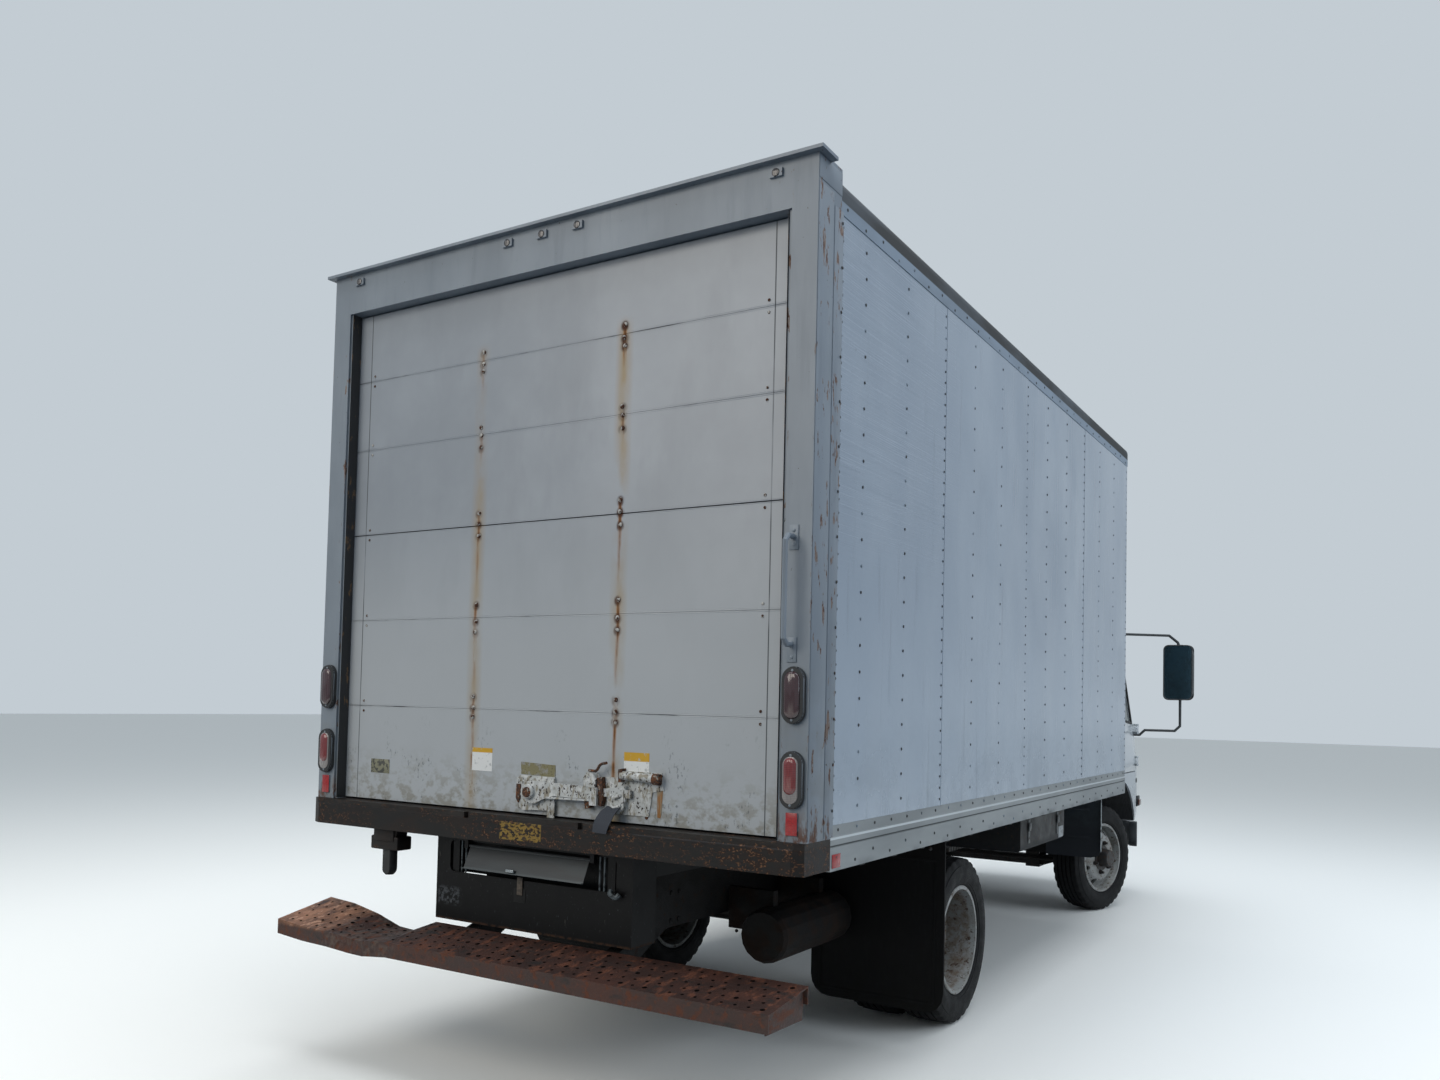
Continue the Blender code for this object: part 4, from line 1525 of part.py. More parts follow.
make_floor()
for side, name in ((-1, "right"), (1, "left")):
    make_side(side, name)
    make_mudflap(side, name)
    make_rear_wheels(side, name)
    make_front_wheel(side, name)
    make_door(side, name)
    make_mirror(side, name)
make_roof()
make_front_wall()
make_rear_frame()
make_sill()
make_roll_door()
make_latch()
make_frame()
make_rear_axle()
make_front_axle()
make_power_unit()
make_underbody()
make_step_bumper()
make_ramp_housing()
make_front_bumper()
make_tie_rod()
make_cab()
make_cab_fittings()
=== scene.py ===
# A used cab-over box truck with a riveted van body, dressed for its portrait.
# Metres, +X forward, +Y to the truck's left, +Z up; the truck stands on z = 0.
# Lengths along the truck are counted forward from the rear frame's outer face.
import math
import random

import bmesh
import bpy
from mathutils import Matrix, Vector


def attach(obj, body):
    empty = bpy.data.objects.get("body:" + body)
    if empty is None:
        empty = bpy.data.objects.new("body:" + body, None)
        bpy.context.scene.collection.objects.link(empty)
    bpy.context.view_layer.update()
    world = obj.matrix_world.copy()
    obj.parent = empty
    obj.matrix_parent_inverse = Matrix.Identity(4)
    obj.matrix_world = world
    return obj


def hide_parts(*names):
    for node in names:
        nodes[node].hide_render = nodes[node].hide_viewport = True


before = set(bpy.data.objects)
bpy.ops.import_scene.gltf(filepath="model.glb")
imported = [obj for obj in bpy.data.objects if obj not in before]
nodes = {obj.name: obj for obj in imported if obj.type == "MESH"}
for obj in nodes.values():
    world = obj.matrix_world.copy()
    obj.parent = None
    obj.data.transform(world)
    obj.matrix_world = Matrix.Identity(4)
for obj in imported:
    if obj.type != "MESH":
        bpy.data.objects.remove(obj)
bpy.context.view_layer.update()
scene = bpy.context.scene
STERN_X = -3.295         # the rear frame's outer face
dice = random.Random(7)


# Camera
# A phone held at eye height behind the truck's right rear corner, turned 32 degrees to its left side.
# Its frame is shifted up a little, so that the van body's upright edges stay nearly parallel.
CAMERA_AT = Vector((-6.613, -2.911, 1.531))
ASIDE = Vector((0.5284, -0.8486, 0.0227))
UPWARD = Vector((-0.0454, -0.0016, 0.9989))
AHEAD = Vector((0.8477, 0.5289, 0.0394))
lens = bpy.data.cameras.new("camera")
lens.lens = 27.91
lens.sensor_width = 36.0
lens.shift_x = 0.0047
lens.shift_y = 0.0810
lens.clip_end = 200.0
camera = bpy.data.objects.new("camera", lens)
camera.matrix_world = Matrix.Translation(CAMERA_AT) @ Matrix(((ASIDE.x, UPWARD.x, -AHEAD.x, 0),
                                                              (ASIDE.y, UPWARD.y, -AHEAD.y, 0),
                                                              (ASIDE.z, UPWARD.z, -AHEAD.z, 0),
                                                              (0, 0, 0, 1)))
scene.collection.objects.link(camera)
scene.camera = camera
scene.view_settings.view_transform = "Standard"


# Floor, backdrop and studio light
# A pale seamless floor and a pale room, both of which throw little light back on the underside.
# Three large soft lamps stand overhead, behind the truck and on its right.
def linear(shade):
    """An sRGB hex shade as linear red, green, blue and alpha."""
    channels = [int(shade[start:start + 2], 16) / 255 for start in (1, 3, 5)]
    return tuple(c / 12.92 if c <= 0.04045 else ((c + 0.055) / 1.055) ** 2.4 for c in channels) + (1.0,)


def add(tree, kind, inputs=None, **settings):
    """Adds a node with its settings by name and its inputs, each a value or another node's output."""
    made = tree.nodes.new(kind)
    for name, value in settings.items():
        setattr(made, name, value)
    for name, value in (inputs or {}).items():
        if isinstance(value, bpy.types.NodeSocket):
            tree.links.new(value, made.inputs[name])
        else:
            made.inputs[name].default_value = value
    return made


def looked_at(tree):
    """1 on rays from the camera, a gloss or glass, and 0 on the rays that carry light between surfaces."""
    rays = add(tree, "ShaderNodeLightPath").outputs
    shown = add(tree, "ShaderNodeMath", {0: rays["Is Camera Ray"], 1: rays["Is Glossy Ray"]},
                operation="MAXIMUM")
    return add(tree, "ShaderNodeMath", {0: shown.outputs[0], 1: rays["Is Transmission Ray"]},
               operation="MAXIMUM").outputs[0]


FLOOR_SHADE = linear("#fbfbf5")
FLOOR_UNDER = linear("#59606a")
ROOM_SHADE = linear("#c3ccd3")
floor_paint = bpy.data.materials.new("studio_floor")
floor_paint.use_nodes = True
paving = floor_paint.node_tree
mixed = add(paving, "ShaderNodeMix", {0: looked_at(paving), 6: FLOOR_UNDER, 7: FLOOR_SHADE}, data_type="RGBA")
paving.links.new(mixed.outputs[2], paving.nodes["Principled BSDF"].inputs["Base Color"])
floor_paint.node_tree.nodes["Principled BSDF"].inputs["Roughness"].default_value = 0.75
sweep = bmesh.new()
bmesh.ops.create_grid(sweep, x_segments=1, y_segments=1, size=60)
floor_mesh = bpy.data.meshes.new("studio_floor")
sweep.to_mesh(floor_mesh)
sweep.free()
floor_mesh.materials.append(floor_paint)
floor = bpy.data.objects.new("studio_floor", floor_mesh)
floor.location.z = -0.001
scene.collection.objects.link(floor)

sky = bpy.data.worlds.new("white_room")
sky.use_nodes = True
scene.world = sky
room = sky.node_tree
room.nodes.clear()
high = add(room, "ShaderNodeSeparateXYZ", {0: add(room, "ShaderNodeTexCoord").outputs["Generated"]})
lift = add(room, "ShaderNodeMapRange", {0: high.outputs["Z"], 1: -0.10, 2: 0.55})
dome = add(room, "ShaderNodeMix", {0: lift.outputs[0], 6: linear("#6f7a84"), 7: linear("#dbe6f2")},
           data_type="RGBA")
ambient = add(room, "ShaderNodeBackground", {"Color": dome.outputs[2], "Strength": 0.62})
backdrop = add(room, "ShaderNodeBackground", {"Color": ROOM_SHADE, "Strength": 1.0})
both = add(room, "ShaderNodeMixShader", {0: looked_at(room), 1: ambient.outputs[0], 2: backdrop.outputs[0]})
add(room, "ShaderNodeOutputWorld", {"Surface": both.outputs[0]})

for name, place, wide, power, shade in (
        ("overhead_lamp", (-1.0, 0.0, 8.5), 9.0, 620, "#f4f8ff"),
        ("rear_lamp", (-11.5, 3.0, 6.0), 6.0, 420, "#fff8ee"),
        ("right_lamp", (1.0, -12.0, 6.5), 7.0, 480, "#dfeaf8")):
    lamp = bpy.data.lights.new(name, "AREA")
    lamp.shape = "SQUARE"
    lamp.size = wide
    lamp.energy = power
    lamp.color = linear(shade)[:3]
    lit = bpy.data.objects.new(name, lamp)
    lit.location = place
    lit.rotation_euler = (Vector((0, 0, 1.4)) - Vector(place)).to_track_quat("-Z", "Y").to_euler()
    scene.collection.objects.link(lit)


# Van body sheets: side walls and front wall
# Pre-painted 1 mm aluminium sheets, 1.22 m long, riveted to posts inside. They lap over each other
# at the seams, dish slightly between the posts and carry road film low down and streaks below rivets.
def painted(name, shade, roughness, metallic=0.0, **more):
    """A new material, its tree and its Principled shader, with more of the shader's inputs by name."""
    made = bpy.data.materials.new(name)
    made.use_nodes = True
    made.diffuse_color = linear(shade)
    shader = made.node_tree.nodes["Principled BSDF"]
    shader.inputs["Base Color"].default_value = linear(shade)
    shader.inputs["Roughness"].default_value = roughness
    shader.inputs["Metallic"].default_value = metallic
    for socket, value in more.items():
        shader.inputs[socket.replace("_", " ").title().replace("Ior", "IOR")].default_value = value
    return made, made.node_tree, shader


def patches(tree, size, low, high, stretch=(1, 1, 1), detail=4.0, shift=0.0):
    """A mask of irregular patches about size metres across, drawn out along X, Y and Z."""
    place = add(tree, "ShaderNodeTexCoord").outputs["Object"]
    drawn = add(tree, "ShaderNodeMapping", {
        "Vector": place, "Location": (shift, 2 * shift, -shift), "Scale": tuple(1 / s for s in stretch)})
    grain = add(tree, "ShaderNodeTexNoise", {
        "Vector": drawn.outputs[0], "Scale": 1 / size, "Detail": detail, "Roughness": 0.6})
    return add(tree, "ShaderNodeMapRange", {0: grain.outputs[0], 1: low, 2: high}).outputs[0]


def along(tree, axis, start, end):
    """A mask that rises from 0 at one place along X, Y or Z to 1 at another."""
    place = add(tree, "ShaderNodeSeparateXYZ", {0: add(tree, "ShaderNodeTexCoord").outputs["Object"]})
    return add(tree, "ShaderNodeMapRange", {0: place.outputs[axis], 1: start, 2: end},
               interpolation_type="SMOOTHSTEP").outputs[0]


def within(tree, *masks):
    """The part of a mask that lies inside the others; a number scales it."""
    mask = masks[0]
    for other in masks[1:]:
        mask = add(tree, "ShaderNodeMath", {0: mask, 1: other}, operation="MULTIPLY").outputs[0]
    return mask


def coat(tree, shader, shade, mask, roughness=None, metallic=None):
    """Lays a colour, and if given its roughness and metalness, over the finish where the mask is 1."""
    layers = (("Base Color", linear(shade) if shade else None), ("Roughness", roughness),
              ("Metallic", metallic))
    for name, value in layers:
        if value is not None:
            socket = shader.inputs[name]
            under = socket.links[0].from_socket if socket.is_linked else socket.default_value
            if name == "Base Color":
                under = under if socket.is_linked else tuple(under)
                mixed = add(tree, "ShaderNodeMix", {0: mask, 6: under, 7: value}, data_type="RGBA").outputs[2]
            else:
                mixed = add(tree, "ShaderNodeMix", {0: mask, 2: under, 3: value}).outputs[0]
            tree.links.new(mixed, socket)


def between(tree, axis, start, full, fading, end):
    """A mask that is 1 from one place along X, Y or Z to another and fades outside them."""
    return within(tree, along(tree, axis, start, full), along(tree, axis, end, fading))


def relief(tree, shader, height, depth):
    """Raises the surface by depth metres where the height is 1, over any relief it already has."""
    socket = shader.inputs["Normal"]
    given = {"Height": height, "Distance": depth}
    if socket.is_linked:
        given["Normal"] = socket.links[0].from_socket
    tree.links.new(add(tree, "ShaderNodeBump", given).outputs[0], socket)


def piece(name, work, material, body="chassis", turn=40):
    """A bmesh, modelled with lengths from the stern, as a piece that rides on a body."""
    bmesh.ops.translate(work, vec=(STERN_X, 0, 0), verts=work.verts)
    mesh = bpy.data.meshes.new(name)
    work.to_mesh(mesh)
    work.free()
    mesh.materials.append(material)
    mesh.shade_smooth()
    mesh.set_sharp_from_angle(angle=math.radians(turn))
    thing = bpy.data.objects.new(name, mesh)
    scene.collection.objects.link(thing)
    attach(thing, body)
    return thing


def block(work, low, high, bevel=0.0):
    """A box between two corners, its edges rounded by a bevel."""
    low, high = Vector(low), Vector(high)
    place = Matrix.Translation((low + high) / 2) @ Matrix.Diagonal((*(high - low), 1))
    made = bmesh.ops.create_cube(work, size=1, matrix=place)["verts"]
    if bevel:
        edges = {edge for vert in made for edge in vert.link_edges}
        bmesh.ops.bevel(work, geom=list(edges), offset=bevel, segments=2, profile=0.5, affect="EDGES")


def dress(node, material):
    """Gives a CAD node its finish."""
    for place in nodes[node].material_slots:
        place.material = material


BODY_LENGTH = 4.93
HALF_WIDTH = 1.219
SHEET_OUT = HALF_WIDTH - 0.004
SHEET_LOW, SHEET_HIGH = 1.1085, 3.2535
SHEET_SEAMS = (1.252, 2.474, 3.675)
SHEET_ENDS = (0.184, 4.884)
SHEET_THICK = 0.0012

sheet_paint, tree, shader = painted("pre_painted_aluminium", "#8d9cab", 0.24, coat_weight=0.35,
                                    coat_roughness=0.12)
# Large lighter patches: the paint's own uneven tone, with painted highlights of soft reflected light
coat(tree, shader, "#9aa8b5", patches(tree, 0.9, 0.42, 0.66, (1, 1, 1.6)))
coat(tree, shader, "#76889a", patches(tree, 1.3, 0.52, 0.75, (1, 1, 1.3), shift=4.0))
# Lighter from 2.2 m down to 1.25 m: a painted reflection, blurred, low on the sheets
coat(tree, shader, "#b2bfca", within(tree, along(tree, "Z", 2.2, 1.25), 0.65))
# Fine level scratches from branches, over the rear upper corner
level = patches(tree, 0.0035, 0.54, 0.64, (150, 1, 1), 3.0)
branch = within(tree, level, along(tree, "X", -1.6, -2.6), along(tree, "Z", 1.9, 2.4), 0.45)
coat(tree, shader, "#a9b5c1", branch, 0.42)
coat(tree, shader, "#71808d", within(tree, patches(tree, 0.0035, 0.57, 0.66, (150, 1, 1), 3.0, 5.0),
                                     along(tree, "X", -1.6, -2.6), along(tree, "Z", 1.9, 2.4), 0.5), 0.5)
coat(tree, shader, "#6d7a85",
     within(tree, along(tree, "Z", 1.55, 1.08), patches(tree, 0.22, 0.42, 0.62), 0.35), 0.5)
coat(tree, shader, "#75828c", within(tree, patches(tree, 0.035, 0.60, 0.70, (1, 1, 22)), 0.35), 0.45)
coat(tree, shader, "#3d3a36", within(tree, patches(tree, 0.020, 0.735, 0.75, (2.5, 1, 1), 6.0, 9.0),
                                     along(tree, "X", -2.2, -3.0)), 0.7)
relief(tree, shader, patches(tree, 0.55, 0.2, 0.8, (0.8, 1, 1.4), 1.0), 0.010)
relief(tree, shader, patches(tree, 0.20, 0.2, 0.8, (1, 1, 2.0), 1.0, 3.0), 0.0018)
relief(tree, shader, branch, 0.0002)

for side, name in ((-1, "right"), (1, "left")):
    dress("side_wall_" + name, sheet_paint)
    skins = bmesh.new()
    ends = (SHEET_ENDS[0],) + SHEET_SEAMS + (SHEET_ENDS[1],)
    for index, (start, end) in enumerate(zip(ends, ends[1:])):
        lap = 0.0008 if index % 2 else 0.0
        near, far = sorted((side * (SHEET_OUT + 0.0001), side * (SHEET_OUT + SHEET_THICK + lap)))
        block(skins, (start + 0.0012, near, SHEET_LOW), (end - 0.0012, far, SHEET_HIGH))
    piece("side_sheets_" + name, skins, sheet_paint)
dress("front_wall", sheet_paint)


# Rivets
# Domed aluminium blind rivets, set along every post and seam, through the rails and round the frame.
# Most took the paint; some have lost it and hold a dark ring of road film.
RIVET_RADIUS = 0.0062
RIVET_RISE = 0.0030
POST_FIRST_X, POST_STEP = 0.405, 0.4065
POST_ROWS, POST_LOW, POST_PITCH = 22, 1.165, 0.0965
LAP_ROWS, LAP_LOW, LAP_PITCH = 44, 1.135, 0.0483
RAIL_ROWS, RAIL_START, RAIL_PITCH = 30, 0.23, 0.158
rivet_paint, tree, shader = painted("painted_rivet", "#6b7984", 0.35)
coat(tree, shader, "#15181b", patches(tree, 0.11, 0.40, 0.46, detail=1.0), 0.6)


def skin(work, rings):
    """Joins rings of corners into a closed skin."""
    for lower, upper in zip(rings, rings[1:]):
        for step in range(len(lower)):
            work.faces.new((lower[step - 1], lower[step], upper[step], upper[step - 1]))
    work.faces.new(list(reversed(rings[0])))
    work.faces.new(rings[-1])


def rivet(work, place, out, radius=RIVET_RADIUS, rise=RIVET_RISE, sides=8):
    """A domed head on a face that looks out along a direction."""
    turn = Vector((0, 0, 1)).rotation_difference(Vector(out)).to_matrix()
    rings = []
    for share, lift in ((1.0, 0.0), (0.92, 0.55), (0.55, 0.92)):
        rings.append([work.verts.new(Vector(place)
                                     + turn @ Vector((radius * share * math.cos(math.tau * step / sides),
                                                      radius * share * math.sin(math.tau * step / sides),
                                                      rise * lift))) for step in range(sides)])
    skin(work, rings)


for side, name in ((-1, "right"), (1, "left")):
    heads = bmesh.new()
    out = (0, side, 0)
    face = side * (SHEET_OUT + SHEET_THICK + 0.0004)
    for index in range(11):
        x = POST_FIRST_X + index * POST_STEP
        seam = min(abs(x - place) for place in SHEET_SEAMS) < 0.12
        for row in range(POST_ROWS):
            if not seam:
                rivet(heads, (x + dice.uniform(-1, 1) * 0.002, face, POST_LOW + row * POST_PITCH), out)
    for x in SHEET_SEAMS:
        for row in range(LAP_ROWS):
            rivet(heads, (x - 0.014, face, LAP_LOW + row * LAP_PITCH), out, RIVET_RADIUS * 0.85)
    for row in range(LAP_ROWS):
        for x in (SHEET_ENDS[0] + 0.018, SHEET_ENDS[1] - 0.020):
            rivet(heads, (x, face, LAP_LOW + row * LAP_PITCH), out, RIVET_RADIUS * 0.85)
    for index in range(RAIL_ROWS):
        x = RAIL_START + index * RAIL_PITCH
        rivet(heads, (x, side * HALF_WIDTH, 3.277 + 0.008 * (-1) ** index), out)
        rivet(heads, (x + 0.02, side * SHEET_OUT, 1.090), out)
        rivet(heads, (x, side * HALF_WIDTH, 0.985 + 0.012 * (-1) ** index), out)
    piece("side_rivets_" + name, heads, rivet_paint)

heads = bmesh.new()
for y in [-1.12 + 0.28 * step for step in range(9)]:
    for row in range(23):
        rivet(heads, (BODY_LENGTH, y, 1.05 + row * 0.098), (1, 0, 0))
piece("front_wall_rivets", heads, rivet_paint)


# Rails and roof edge
# Extruded aluminium: the bottom rail with its bright lip and groove, the top rail in body paint,
# and the roof's cove, whose paint has weathered to a dark chalky grey.
RAIL_LIP = (1.0575, 1.0590, 1.0655, 1.0670)
RAIL_GROOVE = (1.0330, 1.0340, 1.0375, 1.0385)
rail_metal, tree, shader = painted("mill_aluminium_rail", "#8f9495", 0.40, 0.35)
coat(tree, shader, "#7e8384", patches(tree, 0.25, 0.42, 0.68, (4, 1, 1)), 0.5)
coat(tree, shader, "#c6ccce", between(tree, "Z", *RAIL_LIP), 0.3, 0.3)
coat(tree, shader, "#363a3b", between(tree, "Z", *RAIL_GROOVE), 0.6, 0.2)
coat(tree, shader, "#4b4f50",
     within(tree, patches(tree, 0.30, 0.45, 0.7), along(tree, "Z", 0.985, 0.95), 0.8), 0.7, 0.2)
for name in ("right", "left"):
    dress("bottom_rail_" + name, rail_metal)

roof_paint, tree, shader = painted("weathered_roof_paint", "#80909f", 0.45)
cove = along(tree, "Z", 3.3000, 3.3020)
coat(tree, shader, "#1c1f21", cove, 0.7)
coat(tree, shader, "#a7b0b8", along(tree, "Z", 3.3865, 3.3880), 0.5)
coat(tree, shader, "#5d666e", within(tree, patches(tree, 0.25, 0.45, 0.7, (3, 1, 1)), 0.5), 0.6)
dress("roof", roof_paint)


# Rear frame
# Steel posts and header, folded from 3 mm sheet, welded and sprayed white over primer.
# Rust bleeds from the welds, the jamb edges and the chips in the paint.
SILL_TOP = 1.064
HEADER_LOW = 3.225
LAMP_Y = 1.165
OPENING_HALF = 1.118

frame_paint, tree, shader = painted("white_frame_enamel", "#747e87", 0.42)
coat(tree, shader, "#828c95", patches(tree, 0.35, 0.40, 0.70, (1, 1, 2)))
coat(tree, shader, "#6b747d", within(tree, patches(tree, 0.05, 0.52, 0.72, (1, 1, 9)), 0.5), 0.5)
coat(tree, shader, "#7a7f80",
     within(tree, along(tree, "Z", 1.9, 1.1), patches(tree, 0.12, 0.40, 0.60), 0.6), 0.55)
for start, end in ((-1.128, -1.112), (-1.212, -1.222), (1.112, 1.120), (1.212, 1.222)):
    edge = within(tree, along(tree, "Y", start, end), patches(tree, 0.030, 0.60, 0.64, (1, 1, 3.0), 5.0, 2.0))
    edge = within(tree, edge, along(tree, "Y", end + 3 * (end - start), end + 2 * (end - start)))
    coat(tree, shader, "#74553a", within(tree, edge, 0.8), 0.75)
    coat(tree, shader, "#4a2a18", within(tree, edge, patches(tree, 0.012, 0.50, 0.56, (1, 1, 2))), 0.85)
chips = patches(tree, 0.016, 0.705, 0.72, (1, 1, 1.6), 5.0, 6.0)
coat(tree, shader, "#3b2a22", chips, 0.8)
foot = within(tree, along(tree, "Z", 1.20, 1.07), patches(tree, 0.03, 0.50, 0.60, (1, 1, 2), 5.0, 8.0))
coat(tree, shader, "#5a3822", within(tree, foot, 0.9), 0.85)
relief(tree, shader, patches(tree, 0.30, 0.2, 0.8, detail=1.0), 0.004)
relief(tree, shader, chips, -0.0004)
dress("rear_frame", frame_paint)

jamb_rubber, tree, shader = painted("dark_jamb_strip", "#1c1e21", 0.6)
coat(tree, shader, "#6a5138", patches(tree, 0.03, 0.60, 0.66, (1, 1, 3)), 0.8)
strips = bmesh.new()
for side in (-1, 1):
    near, far = sorted((side * (OPENING_HALF - 0.0152), side * (OPENING_HALF - 0.0142)))
    block(strips, (0.004, near, SILL_TOP + 0.004), (0.053, far, HEADER_LOW - 0.002))
piece("jamb_strips", strips, jamb_rubber)

# Seams and screws of the posts: a folded corner strip on each side face, held by black screws
corner = bmesh.new()
screws = bmesh.new()
for side in (-1, 1):
    near, far = sorted((side * (HALF_WIDTH + 0.0002), side * (HALF_WIDTH + 0.0016)))
    block(corner, (0.004, near, SILL_TOP + 0.006), (0.118, far, 3.302), 0.0004)
    block(corner, (0.126, near, SILL_TOP + 0.006), (0.196, far, 3.262), 0.0004)
    block(corner, (0.004, near, 3.314), (0.181, far, 3.396), 0.0004)
    for step in range(14):
        rivet(screws, (0.196 - 0.008, side * (HALF_WIDTH + 0.0018), 1.16 + step * 0.1585), (0, side, 0),
              0.0058, 0.003)
piece("post_corner_strips", corner, frame_paint)
black_screw, tree, shader = painted("rusted_black_screw", "#1d1b1b", 0.7)
coat(tree, shader, "#5a3a26", patches(tree, 0.05, 0.55, 0.60), 0.85)
piece("post_screws", screws, black_screw)


# Grab handle
# A bent steel rod with flattened, bolted ends on the right post, painted over with the frame.
def rod(work, points, radius, sides=10):
    """A round bar swept along points, with closed ends."""
    points = [Vector(point) for point in points]
    rings, side = [], None
    for index, point in enumerate(points):
        ahead = (points[min(index + 1, len(points) - 1)] - points[max(index - 1, 0)]).normalized()
        if side is None:
            side = ahead.orthogonal().normalized()
        side = (side - ahead * side.dot(ahead)).normalized()
        other = ahead.cross(side)
        wide = radius[index] if isinstance(radius, (list, tuple)) else radius
        rings.append([work.verts.new(point + wide * (math.cos(a) * side + math.sin(a) * other))
                      for a in (math.tau * step / sides for step in range(sides))])
    skin(work, rings)


def rounded(points, radius, steps=5):
    """A path whose corners are turned on a radius."""
    points = [Vector(point) for point in points]
    path = [points[0]]
    for before, corner_point, after in zip(points, points[1:], points[2:]):
        back, ahead = (before - corner_point), (after - corner_point)
        reach = min(radius, back.length / 2.1, ahead.length / 2.1)
        start, end = corner_point + back.normalized() * reach, corner_point + ahead.normalized() * reach
        for step in range(steps + 1):
            share = step / steps
            path.append((1 - share) ** 2 * start + 2 * share * (1 - share) * corner_point + share ** 2 * end)
    path.append(points[-1])
    return path


plates = bmesh.new()
for low_z in (1.665, 2.045):
    block(plates, (-0.0045, -1.170, low_z), (-0.0002, -1.134, low_z + 0.085), 0.002)
    for lift in (0.018, 0.066):
        rivet(plates, (-0.0044, -1.152, low_z + lift), (-1, 0, 0), 0.007, 0.004)
piece("grab_handle_plates", plates, frame_paint)


# Lamps and reflectors
# Sealed oval lamps pressed into black rubber grommets. The upper pair are dark red and unlit; the lower
# pair have a red lens over a grey one. Five small smoked markers sit in the header.
def capsule(centre_y, centre_z, wide, tall, steps=14):
    """An upright oval with straight sides, as points in Y and Z."""
    radius = wide / 2
    lift = tall / 2 - radius
    ring = []
    for step in range(2 * steps):
        angle = math.pi * step / steps
        ring.append((centre_y + radius * math.cos(angle),
                     centre_z + radius * math.sin(angle) + (lift if step < steps else -lift)))
    return ring


def dome(work, sections):
    """A stack of outlines, each a ring of (Y, Z) at its own X, closed at both ends."""
    rings = [[work.verts.new((x, y, z)) for y, z in ring] for x, ring in sections]
    skin(work, rings)
    bmesh.ops.recalc_face_normals(work, faces=work.faces)


lamp_rubber, tree, shader = painted("black_lamp_rubber", "#141618", 0.65)
coat(tree, shader, "#2f3335", patches(tree, 0.03, 0.5, 0.7), 0.8)


def lens_finish(name, shade, bright, pitch=0.006):
    """Moulded acrylic with fine prisms behind a smooth face."""
    made, tree, shader = painted(name, shade, 0.12, coat_weight=0.6)
    place = add(tree, "ShaderNodeTexCoord").outputs["Object"]
    prisms = add(tree, "ShaderNodeTexWave", {"Vector": place, "Scale": 1 / pitch / math.tau * 2},
                 bands_direction="Z")
    coat(tree, shader, bright, within(tree, prisms.outputs["Fac"], 0.55))
    across = add(tree, "ShaderNodeTexWave", {"Vector": place, "Scale": 1 / pitch / math.tau},
                 bands_direction="Y")
    relief(tree, shader, across.outputs["Fac"], 0.0006)
    return made


dark_lens = lens_finish("dark_red_lens", "#2c0d14", "#4a1620")
red_lens = lens_finish("red_lens", "#6b1418", "#8d2a28")
grey_lens = lens_finish("grey_backup_lens", "#7d7674", "#8f8a86")
marker_lens = lens_finish("smoked_marker_lens", "#12080a", "#231012", 0.004)
reflector_paint, tree, shader = painted("red_reflector", "#8c1015", 0.25)
coat(tree, shader, "#b01a1e", patches(tree, 0.004, 0.4, 0.6))
LAMP_FACE = -0.016
STOP_Z, TURN_Z, MARKER_Z = 1.555, 1.272, 3.360
for side, name in ((-1, "right"), (1, "left")):
    grommets = bmesh.new()
    dark = bmesh.new()
    red = bmesh.new()
    grey = bmesh.new()
    bolts = bmesh.new()
    middle = side * LAMP_Y
    for z in (STOP_Z, TURN_Z):
        dome(grommets, [(0.0, capsule(middle, z, 0.0865, 0.1935)),
                        (LAMP_FACE + 0.004, capsule(middle, z, 0.0865, 0.1935)),
                        (LAMP_FACE - 0.004, capsule(middle, z, 0.080, 0.187)),
                        (LAMP_FACE - 0.0045, capsule(middle, z, 0.070, 0.177))])
        for lift in (-0.083, 0.083):
            rivet(bolts, (LAMP_FACE - 0.004, middle, z + lift), (-1, 0, 0), 0.005, 0.002)
    dome(dark, [(LAMP_FACE, capsule(middle, STOP_Z, 0.060, 0.160)),
                (LAMP_FACE - 0.007, capsule(middle, STOP_Z, 0.059, 0.159)),
                (LAMP_FACE - 0.012, capsule(middle, STOP_Z, 0.050, 0.150)),
                (LAMP_FACE - 0.014, capsule(middle, STOP_Z, 0.034, 0.134))])
    dome(grey, [(LAMP_FACE, capsule(middle, TURN_Z, 0.060, 0.160)),
                (LAMP_FACE - 0.006, capsule(middle, TURN_Z, 0.058, 0.158)),
                (LAMP_FACE - 0.008, capsule(middle, TURN_Z, 0.052, 0.152))])
    dome(red, [(LAMP_FACE, capsule(middle, TURN_Z + 0.014, 0.048, 0.124)),
               (LAMP_FACE - 0.009, capsule(middle, TURN_Z + 0.014, 0.047, 0.123)),
               (LAMP_FACE - 0.014, capsule(middle, TURN_Z + 0.014, 0.036, 0.112)),
               (LAMP_FACE - 0.0155, capsule(middle, TURN_Z + 0.014, 0.020, 0.096))])
    piece("lamp_grommets_" + name, grommets, lamp_rubber)
    piece("stop_lens_" + name, dark, dark_lens)
    piece("backup_lens_" + name, grey, grey_lens)
    piece("turn_lens_" + name, red, red_lens)
    piece("lamp_screws_" + name, bolts, frame_paint)
    tape = bmesh.new()
    block(tape, (-0.0068, middle - 0.0215, 1.0875), (-0.0056, middle + 0.0215, 1.1635), 0.0004)
    near, far = sorted((side * (HALF_WIDTH + 0.0002), side * (HALF_WIDTH + 0.0022)))
    block(tape, (0.196, near, 0.960), (0.262, far, 1.008), 0.0006)
    piece("red_reflectors_" + name, tape, reflector_paint)
markers = bmesh.new()
for y in (-1.056, -0.18, 0.0, 0.18, 1.056):
    dome(markers, [(-0.0098, capsule(y, MARKER_Z, 0.0305, 0.0302)),
                   (-0.013, capsule(y, MARKER_Z, 0.028, 0.0278)),
                   (-0.0145, capsule(y, MARKER_Z, 0.018, 0.0178))])
piece("header_markers", markers, marker_lens)


